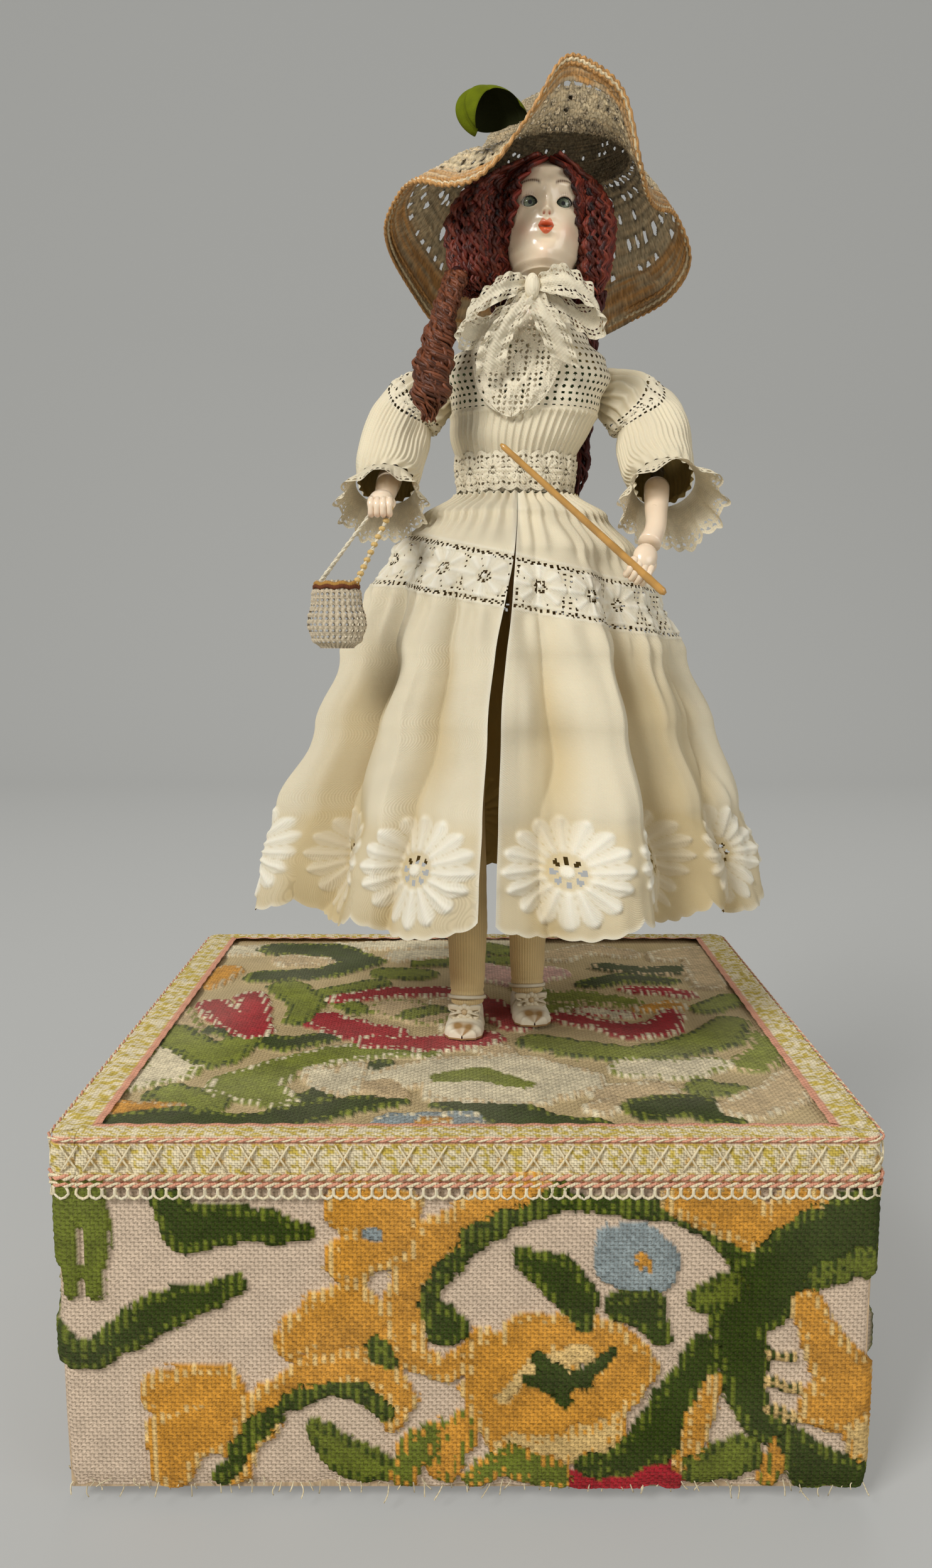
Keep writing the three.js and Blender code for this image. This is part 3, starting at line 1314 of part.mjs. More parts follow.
function forearm(elbow, wrist, hand, bore) {
  const start = place(elbow).lerp(place(wrist), forearmStartShare);
  const arm = rodBetween(start, place(wrist), forearmRadius, wristRadius, roundSides);
  const palmTurn = rodBetween(place(wrist), place(hand), wristRadius, palmRadius, roundSides);
  const palm = egg(place(hand), handRadius * 0.85, handRadius, handRadius);
  const wristBall = egg(place(wrist), wristBallRadius, wristBallRadius, wristBallRadius, rodSides, 6);
  const socket = rodBetween(
    place(elbow), place(elbow).lerp(place(wrist), wireEndShare + 0.05), wireRadius + seatGap,
  );
  return cut(join(arm, palmTurn, palm, wristBall), bore, socket);
}

function buildArms() {
  const stickFrom = place(stickTop);
  const stickTo = place(stickEnd);
  const stick = rodBetween(stickFrom, stickTo, stickRadius, stickEndRadius);
  const stickBore = rodBetween(stickFrom, stickTo, stickRadius + seatGap, stickEndRadius + seatGap);
  const handleBore = rodAlongX(
    handleRadius + 2 * workGap, 4 * handRadius, rightHand[0] - 2 * handRadius, rightHand[1],
    boxTop + rightHand[2],
  );
  const arms = [
    ["right", -1, wireA, rightElbow, rightWrist, rightHand, rightSleeveShares, rightCuffShares, handleBore],
    ["left", 1, wireB, leftElbow, leftWrist, leftHand, leftSleeveShares, leftCuffShares, stickBore],
  ];
  for (const [name, side, wireX, elbow, wrist, hand, sleeveShares, cuffShares, bore] of arms) {
    const sleeve = sleeveRows(side, sleeveShares);
    const cuff = [followOn(sleeve), ...armRows(side, cuffShares)];
    addPiece(`${name}_arm_wire`, armWire(side, wireX, elbow, wrist), finishes.steel);
    addPiece(`${name}_forearm`, forearm(elbow, wrist, hand, bore), finishes.bisque);
    addPiece(`${name}_sleeve`, sleeveShell(sleeve, 7, sleeveWave), finishes.cotton);
    addPiece(`${name}_cuff`, sleeveShell(cuff, 5, cuffWave), finishes.lace);
  }
  addPiece("walking_stick", stick, finishes.cane);
}

// Crocheted bag hanging from the right hand
const bagPlace = armPlace(-1, [0.62, 1.16, 1.95]);
const bagShareRows = [[0, 0.62, 0.6], [0.12, 0.86, 0.84], [0.4, 1, 1], [0.75, 0.98, 0.96], [1, 0.86, 0.84]];

function bagSolid(grow, baseShift, topShift) {
  return loft(bagShareRows.map(([height, width, depth]) => {
    const z = boxTop + bagPlace[2] + THREE.MathUtils.lerp(baseShift, bagHeight + topShift, height);
    return ellipseRing(
      bagPlace[0], bagPlace[1], z, width * bagHalfWidth + grow, depth * bagHalfDepth + grow, roundSides,
    );
  }));
}

function buildBag() {
  addPiece("bag", cut(bagSolid(0, 0, 0), bagSolid(-bagWall, bagWall, cutOverrun)), finishes.lace);
  const rimZ = boxTop + bagPlace[2] + bagHeight + seatGap;
  const topZ = boxTop + rightHand[2];
  const rimReach = bagHalfWidth * 0.86 - bagWall / 2;
  const span = handRadius + handleRadius + workGap;
  const path = new THREE.CatmullRomCurve3([
    vector(bagPlace[0] - rimReach, bagPlace[1], rimZ),
    vector(bagPlace[0] - rimReach, bagPlace[1] + handleSlack, rimZ + 4 * handleRadius),
    vector(rightHand[0] - 1.3 * span, rightHand[1] - handleSlack, topZ - 4 * handleRadius),
    vector(rightHand[0] - 0.9 * span, rightHand[1], topZ - 0.4 * handleRadius),
    vector(rightHand[0], rightHand[1], topZ),
    vector(rightHand[0] + 0.9 * span, rightHand[1], topZ - 0.4 * handleRadius),
    vector(rightHand[0] + 1.3 * span, rightHand[1] - handleSlack, topZ - 4 * handleRadius),
    vector(bagPlace[0] + rimReach, bagPlace[1] + handleSlack, rimZ + 4 * handleRadius),
    vector(bagPlace[0] + rimReach, bagPlace[1], rimZ),
  ], false, "centripetal");
  const section = new THREE.Shape();
  section.absarc(0, 0, handleRadius, 0, fullTurn);
  const handle = new THREE.ExtrudeGeometry(section, { extrudePath: path, steps: 30, curveSegments: 4 });
  addPiece("bag_handle", handle, finishes.lace);
}

buildBox();
buildFeet();
buildCovers();
buildMovementFrame();
buildBarrel();
buildCylinder();
buildCamShaft();
buildGovernor();
buildLevers();
buildHeadShaft();
buildWinding();
buildStopLever();
buildLegs();
buildTorso();
buildNeckLace();
buildSkirt();
buildHead();
buildHat();
buildArms();
buildBag();

export default doll;
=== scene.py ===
"""Dresses an automaton doll that stands on a cloth-covered box, which holds its wound movement.

Shapes are worked out in mm from the middle of the box top, +Z up. The doll looks along -Y, and its
own right hand is on the -X side.
"""

import json
import logging
import math
from collections.abc import Sequence
from dataclasses import dataclass, field
from enum import Enum

import bpy
import numpy as np
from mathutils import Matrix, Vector

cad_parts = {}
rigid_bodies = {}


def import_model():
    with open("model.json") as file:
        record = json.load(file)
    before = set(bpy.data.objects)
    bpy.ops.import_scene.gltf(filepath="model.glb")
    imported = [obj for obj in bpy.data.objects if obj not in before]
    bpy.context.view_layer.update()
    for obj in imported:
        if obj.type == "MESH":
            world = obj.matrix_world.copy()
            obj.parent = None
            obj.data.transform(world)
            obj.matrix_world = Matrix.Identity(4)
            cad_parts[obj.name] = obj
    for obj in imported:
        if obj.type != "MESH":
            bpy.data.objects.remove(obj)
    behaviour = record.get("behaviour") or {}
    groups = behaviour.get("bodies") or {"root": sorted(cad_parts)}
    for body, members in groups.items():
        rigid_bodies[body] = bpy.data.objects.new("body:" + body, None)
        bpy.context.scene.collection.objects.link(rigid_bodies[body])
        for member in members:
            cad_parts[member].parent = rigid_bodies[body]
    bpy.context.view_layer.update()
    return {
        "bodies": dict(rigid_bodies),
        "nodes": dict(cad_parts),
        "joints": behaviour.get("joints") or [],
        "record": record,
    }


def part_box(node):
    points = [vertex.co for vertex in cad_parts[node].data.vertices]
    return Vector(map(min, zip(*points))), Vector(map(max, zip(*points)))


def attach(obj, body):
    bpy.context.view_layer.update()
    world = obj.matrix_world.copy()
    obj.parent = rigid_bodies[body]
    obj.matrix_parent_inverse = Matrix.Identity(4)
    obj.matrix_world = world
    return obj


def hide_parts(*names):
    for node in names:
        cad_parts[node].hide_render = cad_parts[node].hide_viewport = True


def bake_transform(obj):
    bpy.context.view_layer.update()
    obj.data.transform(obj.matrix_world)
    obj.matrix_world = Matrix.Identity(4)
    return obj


MM = 0.001
TURN = 2 * math.pi
PHOTO_HEIGHT = 2498
SENSOR = 36.0
HASH_PRIMES = (73856093, 19349663, 83492791, 2654435761, 1274126177)
HASH_TOP = 0xFFFFFF
GAP_SHADE = (0.12, 0.08, 0.05, 1.0)
DUST_SHADE = (0.55, 0.5, 0.42, 1.0)

Socket = bpy.types.NodeSocket
Outputs = bpy.types.bpy_prop_collection
Array = np.ndarray
Values = np.ndarray | float
Colour = tuple[float, float, float]
Spot = tuple[float, float, float]
log = logging.getLogger("automaton_doll")


class Tint(Enum):
    """The colours of threads, hair, glaze, straw, face paint, eye glass and painted shade."""

    @property
    def rgb(self) -> Array:
        """The colour as an array."""
        return np.array(self.value)

    DARK_GREEN = (0.03, 0.052, 0.003)
    OLIVE = (0.14, 0.17, 0.015)
    LEAF = (0.2, 0.23, 0.02)
    GOLD = (0.64, 0.29, 0.035)
    PALE_GOLD = (0.74, 0.5, 0.19)
    BRAID_GOLD = (0.56, 0.42, 0.08)
    CRIMSON = (0.38, 0.008, 0.02)
    ROSE = (0.68, 0.4, 0.32)
    BLUE_GREY = (0.28, 0.33, 0.33)
    CREAM = (0.78, 0.67, 0.44)
    BEIGE = (0.62, 0.45, 0.24)
    CANVAS = (0.7, 0.54, 0.39)
    OLD_CANVAS = (0.55, 0.41, 0.2)
    COTTON = (0.76, 0.67, 0.48)
    PETAL = (0.88, 0.83, 0.69)
    LACE = (0.82, 0.73, 0.54)
    PINK_CORD = (0.7, 0.33, 0.21)
    STRAW = (0.5, 0.25, 0.07)
    PALE_STRAW = (0.68, 0.54, 0.32)
    VELVET_GREEN = (0.115, 0.14, 0.003)
    HAIR = (0.1, 0.013, 0.008)
    BROWN_HAIR = (0.17, 0.05, 0.018)
    BISQUE = (0.88, 0.71, 0.5)
    BAG = (0.56, 0.47, 0.33)
    # Painted shade on the cotton skirt
    COTTON_SHADE = (0.5, 0.35, 0.12)
    STOCKING = (0.85, 0.63, 0.3)
    LEATHER = (0.82, 0.73, 0.54)
    WORN_TOE = (0.35, 0.2, 0.07)
    CANE = (0.5, 0.26, 0.06)
    BLUSH = (0.8, 0.36, 0.24)
    CHIN_BLUSH = (0.8, 0.42, 0.3)
    EYE_SHADOW = (0.55, 0.36, 0.26)
    LIP_RED = (0.78, 0.11, 0.02)
    LIP_LINE = (0.3, 0.07, 0.02)
    BROW = (0.09, 0.035, 0.015)
    LID_LINE = (0.16, 0.08, 0.05)
    LASH = (0.25, 0.15, 0.1)
    NOSTRIL = (0.6, 0.12, 0.07)
    IRIS_DARK = (0.14, 0.16, 0.1)
    IRIS_LIGHT = (0.36, 0.4, 0.28)
    EYE_WHITE = (0.6, 0.57, 0.5)
    PUPIL = (0.004, 0.004, 0.004)
    FINGER_TIP = (0.78, 0.42, 0.28)


def smooth(share: Values) -> Values:
    """Eases a share from 0 to 1, flat at both ends."""
    held = np.clip(share, 0, 1)
    return held * held * (3 - 2 * held)


def ramp(value: Values, start: float, reach: float) -> Values:
    """Eases from 0 at the start to 1 after the reach, which is below 0 for a ramp that falls."""
    return smooth((value - start) / reach)


def lerp(first: Values, last: Values, share: Values) -> Values:
    """Gives the value a share of the way from the first to the last."""
    return first + (last - first) * share


def bell(distance: Values, reach: float) -> Values:
    """Gives 1 at no distance, falling off softly over the reach."""
    return np.exp(-((distance / reach) ** 2))


def cell_shares(cells: Array, seed: int) -> Array:
    """Gives each whole-number cell a steady random share.

    Args:
        cells: Whole numbers, with the three cell indices last.
        seed: Tells one set of shares from another.

    Returns:
        A share from 0 to 1 for each cell.
    """
    whole = cells.astype(np.int64)
    x, y, z = (whole[..., n] * HASH_PRIMES[n] for n in range(3))
    mixed = x ^ y ^ z ^ (seed + 1) * HASH_PRIMES[3]
    mixed = (mixed ^ (mixed >> 13)) * HASH_PRIMES[4]
    mixed = (mixed ^ (mixed >> 16)) & HASH_TOP
    return mixed / HASH_TOP


def draws(count: int, first: int, second: int, seed: int) -> Array:
    """Gives a few steady random shares for one strand of many."""
    return cell_shares(stack(first, second, np.arange(count)), seed)


def drift(points: Array, size: float, seed: int) -> Array:
    """Gives smooth random values that change over a given size.

    Args:
        points: Places, with the three coordinates last.
        size: The distance over which the values change.
        seed: Tells one pattern from another.

    Returns:
        A value from -1 to 1 for each place.
    """
    scaled = points / size
    base = np.floor(scaled)
    part = smooth(scaled - base)
    total = np.zeros(points.shape[:-1])
    for corner in np.ndindex(2, 2, 2):
        step = np.array(corner)
        weight = np.prod(np.where(step == 1, part, 1 - part), axis=-1)
        total += weight * cell_shares(base + step, seed)
    return 2 * total - 1


def flat_drift(across: Array, down: Array, size: float, seed: int) -> Array:
    """Gives smooth random values from -1 to 1 over a flat cloth."""
    return drift(stack(across, down, 0.0), size, seed)


def through_four(values: Sequence[Array], part: Array) -> Array:
    """Curves smoothly between the middle two of four neighbours.

    Args:
        values: The four neighbours.
        part: The share of the way from the second to the third.

    Returns:
        The curve's values.
    """
    before, first, last, after = values
    bend = 2 * before - 5 * first + 4 * last - after
    twist = 3 * first - before - 3 * last + after
    return 0.5 * (2 * first + (last - before) * part + bend * part**2 + twist * part**3)


def spline(spots: Sequence[Sequence[float]], count: int) -> Array:
    """Draws a smooth line through a few spots.

    Args:
        spots: The places that the line goes through, with any further values after them.
        count: How many points the line gets.

    Returns:
        The points, one a row.
    """
    held = np.array(spots, dtype=float)
    held = np.vstack([2 * held[0] - held[1], held, 2 * held[-1] - held[-2]])
    where = np.linspace(0, len(held) - 3 - 1e-9, count)
    step = np.floor(where).astype(int)
    part = (where - step)[:, None]
    return through_four([held[step + n] for n in range(4)], part)


def read_rows(rows: Sequence[Sequence[float]], where: Array) -> list[Array]:
    """Reads a table at places along its first column, eased between its rows.

    Args:
        rows: The table's rows, in rising order of their first value.
        where: The places to read at.

    Returns:
        The values of each further column.
    """
    table = np.array(rows, dtype=float)
    step = np.clip(np.searchsorted(table[:, 0], where, side="right") - 1, 0, len(table) - 2)
    part = smooth((where - table[step, 0]) / (table[step + 1, 0] - table[step, 0]))
    return [lerp(table[step, n], table[step + 1, n], part) for n in range(1, table.shape[1])]


def full_turn(count: int) -> Array:
    """Gives even angles once round, as one row."""
    return np.linspace(0, TURN, count, endpoint=False)[None, :]


def column(first: float, last: float, count: int) -> Array:
    """Gives even values from the first to the last, as one column."""
    return np.linspace(first, last, count)[:, None]


def stack(*values: Values) -> Array:
    """Puts coordinates together as places, with the coordinates last."""
    return np.stack(np.broadcast_arrays(*values), axis=-1)


def run_along(path: Array) -> Array:
    """Gives the distance from the start of a path to each of its points."""
    return np.concatenate([[0], np.cumsum(np.linalg.norm(np.diff(path, axis=0), axis=1))])


def unit(way: Array) -> Array:
    """Gives directions of length 1."""
    return way / np.maximum(np.linalg.norm(way, axis=-1, keepdims=True), 1e-9)


@dataclass
class Shape:
    """The points, faces and colours of one piece while it is being made, in mm."""

    points: list[Array] = field(default_factory=list)
    faces: list[Array] = field(default_factory=list)
    tints: list[Array] = field(default_factory=list)
    cloths: list[Array] = field(default_factory=list)
    count: int = 0

    def add(self, points: Array, faces: Array, tint: Array, cloth: Array | None = None) -> None:
        """Adds points and faces.

        Args:
            points: Places in mm, one a row.
            faces: Rows of four of those points, counted from 0.
            tint: One colour, or one for each point.
            cloth: Places on the flat cloth in mm, or none where the places in space serve.
        """
        self.points.append(points)
        self.faces.append(faces + self.count)
        self.tints.append(np.broadcast_to(tint, points.shape))
        self.cloths.append(points if cloth is None else cloth)
        self.count += len(points)

    def grid(
        self,
        points: Array,
        tint: Array,
        keep: Array | None = None,
        closed: bool = False,
        cloth: Array | None = None,
    ) -> None:
        """Adds a surface over a grid of points.

        Args:
            points: Places as rows, columns and coordinates, with the faces looking to the row-by-column side.
            tint: One colour, or one for each point.
            keep: Tells for each point whether the faces that start there are kept.
            closed: Whether the last column joins the first.
            cloth: Places on the flat cloth in mm.
        """
        rows, columns = points.shape[:2]
        index = np.arange(rows * columns).reshape(rows, columns)
        after = np.roll(index, -1, axis=1)
        quads = stack(index[:-1], index[1:], after[1:], after[:-1])
        kept = np.ones(quads.shape[:2], dtype=bool) if keep is None else keep[:-1].copy()
        if not closed:
            kept[:, -1] = False
        colour = np.broadcast_to(tint, points.shape).reshape(-1, 3)
        flat = None if cloth is None else cloth.reshape(-1, 3)
        self.add(points.reshape(-1, 3), quads[kept], colour, flat)

    def tube(
        self,
        path: Array,
        radius: Values,
        tint: Array,
        sides: int = 6,
        closed: bool = False,
        flatten: float = 1.0,
    ) -> None:
        """Adds a round strand along a path.

        Args:
            path: The middle of the strand, one point a row.
            radius: One radius, or one for each point.
            tint: One colour, or one for each point of the path.
            sides: How many sides the strand has.
            closed: Whether the strand joins its own start.
            flatten: The share of its thickness that it keeps along its second direction.
        """
        ahead, behind = np.roll(path, -1, axis=0), np.roll(path, 1, axis=0)
        if not closed:
            ahead[-1], behind[0] = path[-1], path[0]
        way = unit(ahead - behind)
        first = np.zeros_like(path)
        side = np.cross(way[0], np.eye(3)[np.argmin(np.abs(way[0]))])
        for n, along in enumerate(way):
            side = side - along * (side @ along)
            side = side / max(math.sqrt(side @ side), 1e-9)
            first[n] = side
        second = np.cross(way, first)
        angle = np.linspace(0, TURN, sides, endpoint=False)
        reach = np.broadcast_to(radius, len(path))[:, None, None]
        ring = np.cos(angle)[:, None] * first[:, None] + flatten * np.sin(angle)[:, None] * second[:, None]
        points = path[:, None] + reach * ring
        colour = np.broadcast_to(tint, path.shape)
        if closed:
            points = np.concatenate([points, points[:1]])
            colour = np.concatenate([colour, colour[:1]])
        else:
            ends = [path[n] + 0 * points[:1] for n in (0, -1)]
            points = np.concatenate([ends[0], points, ends[1]])
            colour = np.concatenate([colour[:1], colour, colour[-1:]])
        self.grid(points[:, ::-1], colour[:, None], closed=True)

    def ball(self, centre: Sequence[float], radii: Sequence[float], tint: Array, sides: int = 10) -> None:
        """Adds an egg.

        Args:
            centre: Its middle.
            radii: Its three radii, along the axes.
            tint: Its colour.
            sides: How many rows it has from pole to pole.
        """
        rise = column(-math.pi / 2, math.pi / 2, sides)
        angle = full_turn(sides * 2)
        ball = stack(np.cos(rise) * np.cos(angle), np.cos(rise) * np.sin(angle), np.sin(rise))
        self.grid(ball[:, ::-1] * np.array(radii) + np.array(centre), tint, closed=True)

    def mesh(self, name: str, origin: Array) -> bpy.types.Mesh:
        """Makes the mesh of the piece.

        Args:
            name: The mesh's name.
            origin: The middle of the box top, in metres.

        Returns:
            The mesh, with its colours and places on the flat cloth as attributes.
        """
        points = np.concatenate(self.points)
        faces = np.concatenate(self.faces)
        made = bpy.data.meshes.new(name)
        made.vertices.add(len(points))
        made.vertices.foreach_set("co", (points * MM + origin).astype(np.float32).ravel())
        made.loops.add(faces.size)
        made.loops.foreach_set("vertex_index", faces.astype(np.int32).ravel())
        made.polygons.add(len(faces))
        made.polygons.foreach_set("loop_start", np.arange(0, faces.size, 4, dtype=np.int32))
        made.update(calc_edges=True)
        tints = np.concatenate(self.tints)
        colour = np.concatenate([tints, np.ones((len(tints), 1))], axis=1).astype(np.float32)
        made.attributes.new("tint", "FLOAT_COLOR", "POINT").data.foreach_set("color", colour.ravel())
        flat = np.concatenate(self.cloths).astype(np.float32)
        made.attributes.new("cloth", "FLOAT_VECTOR", "POINT").data.foreach_set("vector", flat.ravel())
        made.validate()
        made.shade_smooth()
        return made


class Effect(Enum):
    """The shader node groups that several finishes use."""

    THREADS = "thread_weave"
    MOTTLE = "mottled_colour"
    DUST = "settled_dust"
    WEAR = "worn_edges"
    GRAIN = "wood_grain"


class Bench:
    """Adds and links the nodes of one node tree."""

    def __init__(self, tree: bpy.types.NodeTree) -> None:
        """Keeps the tree that the nodes go in."""
        self.tree = tree

    def node(self, kind: str, inputs: dict | None = None, **settings: object) -> bpy.types.Node:
        """Adds a node.

        Args:
            kind: The node's type name.
            inputs: Sockets to link from, or plain values, by input name or number.
            **settings: The node's own settings.

        Returns:
            The node.
        """
        made = self.tree.nodes.new(kind)
        for name, value in settings.items():
            setattr(made, name, value)
        for key, value in (inputs or {}).items():
            if isinstance(value, Socket):
                self.tree.links.new(value, made.inputs[key])
            else:
                made.inputs[key].default_value = value
        return made

    def math(self, operation: str, *values: object) -> Socket:
        """Adds a sum of one to three values."""
        return self.node("ShaderNodeMath", dict(enumerate(values)), operation=operation).outputs[0]

    def mix(self, share: object, first: object, last: object, blend: str = "MIX") -> Socket:
        """Adds a mix of two colours."""
        inputs = {0: share, 6: first, 7: last}
        return self.node("ShaderNodeMix", inputs, data_type="RGBA", blend_type=blend).outputs[2]

    def grey(self, value: Socket) -> Socket:
        """Makes a grey of a value."""
        return self.node("ShaderNodeCombineColor", {n: value for n in range(3)}).outputs[0]

    def effect(self, kind: Effect, inputs: dict) -> bpy.types.Node:
        """Places one of the shared node groups."""
        return self.node("ShaderNodeGroup", inputs, node_tree=effect_group(kind))


def effect_group(kind: Effect) -> bpy.types.NodeTree:
    """Gives a shared node group, made at its first use.

    Args:
        kind: Which effect.

    Returns:
        The node group.
    """
    known = bpy.data.node_groups.get(kind.value)
    if known:
        return known
    tree = bpy.data.node_groups.new(kind.value, "ShaderNodeTree")
    sockets = {
        Effect.THREADS: (["Place:Vector", "Pitch:Float"], ["Height", "Gap"]),
        Effect.MOTTLE: (["Place:Vector", "Size:Float", "Amount:Float"], ["Shade", "Value"]),
        Effect.DUST: (["Place:Vector", "Amount:Float"], ["Mask"]),
        Effect.WEAR: (["Place:Vector", "Amount:Float"], ["Mask"]),
        Effect.GRAIN: (["Place:Vector", "Size:Float"], ["Shade", "Height"]),
    }
    entries, results = sockets[kind]
    for entry in entries:
        name, form = entry.split(":")
        tree.interface.new_socket(name, in_out="INPUT", socket_type="NodeSocket" + form)
    for name in results:
        tree.interface.new_socket(name, in_out="OUTPUT", socket_type="NodeSocketFloat")
    bench = Bench(tree)
    entry = bench.node("NodeGroupInput").outputs
    makers = {
        Effect.THREADS: weave_values,
        Effect.MOTTLE: mottle_values,
        Effect.DUST: dust_values,
        Effect.WEAR: wear_values,
        Effect.GRAIN: grain_values,
    }
    values = makers[kind](bench, entry)
    bench.node("NodeGroupOutput", dict(zip(results, values)))
    return tree


def weave_values(bench: Bench, entry: Outputs) -> list[Socket]:
    """Makes the height of crossing threads and the gaps between them."""
    parts = bench.node("ShaderNodeSeparateXYZ", {0: entry["Place"]}).outputs
    rate = bench.math("DIVIDE", math.pi, entry["Pitch"])
    across = bench.math("SINE", bench.math("MULTIPLY", parts[0], rate))
    down = bench.math("SINE", bench.math("MULTIPLY", parts[1], rate))
    warp = bench.math("ABSOLUTE", across)
    weft = bench.math("ABSOLUTE", down)
    over = bench.math("GREATER_THAN", bench.math("MULTIPLY", across, down), 0.0)
    lifted = bench.math("MULTIPLY", over, bench.math("SUBTRACT", warp, weft))
    height = bench.math("ADD", weft, lifted)
    gap = bench.math("MULTIPLY", bench.math("SUBTRACT", 1.0, warp), bench.math("SUBTRACT", 1.0, weft))
    return [height, gap]


def noise_value(bench: Bench, place: Socket, size: object, detail: float) -> Socket:
    """Makes noise that changes over a size in mm."""
    rate = bench.math("DIVIDE", 1 / MM, size)
    scaled = bench.node("ShaderNodeVectorMath", {0: place, "Scale": rate}, operation="SCALE").outputs[0]
    return bench.node("ShaderNodeTexNoise", {"Vector": scaled, "Scale": 1.0, "Detail": detail}).outputs[0]


def mottle_values(bench: Bench, entry: Outputs) -> list[Socket]:
    """Makes a shade that wanders round 1, and the bare noise."""
    value = noise_value(bench, entry["Place"], entry["Size"], 4.0)
    swing = bench.math("MULTIPLY", bench.math("SUBTRACT", value, 0.5), entry["Amount"])
    return [bench.math("MULTIPLY_ADD", swing, 2.0, 1.0), value]


def dust_values(bench: Bench, entry: Outputs) -> list[Socket]:
    """Makes a mask of dust on what looks up."""
    normal = bench.node("ShaderNodeNewGeometry").outputs["Normal"]
    up = bench.math("MAXIMUM", bench.node("ShaderNodeSeparateXYZ", {0: normal}).outputs[2], 0.0)
    patches = noise_value(bench, entry["Place"], 9.0, 5.0)
    return [bench.math("MULTIPLY", bench.math("MULTIPLY", up, patches), entry["Amount"])]


def wear_values(bench: Bench, entry: Outputs) -> list[Socket]:
    """Makes a mask of wear on sharp edges."""
    sharp = bench.node("ShaderNodeNewGeometry").outputs["Pointiness"]
    edge = bench.node("ShaderNodeMapRange", {0: sharp, 1: 0.51, 2: 0.6}).outputs[0]
    patches = noise_value(bench, entry["Place"], 3.0, 6.0)
    return [bench.math("MULTIPLY", bench.math("MULTIPLY", edge, patches), entry["Amount"])]


def grain_values(bench: Bench, entry: Outputs) -> list[Socket]:
    """Makes the light and dark bands of wood, and their height."""
    stretch = bench.node("ShaderNodeMapping", {"Vector": entry["Place"], "Scale": (1.0, 1.0, 0.12)})
    value = noise_value(bench, stretch.outputs[0], entry["Size"], 6.0)
    bands = bench.math("FRACT", bench.math("MULTIPLY", value, 7.0))
    return [bench.math("MULTIPLY_ADD", bands, 0.35, 0.8), bands]


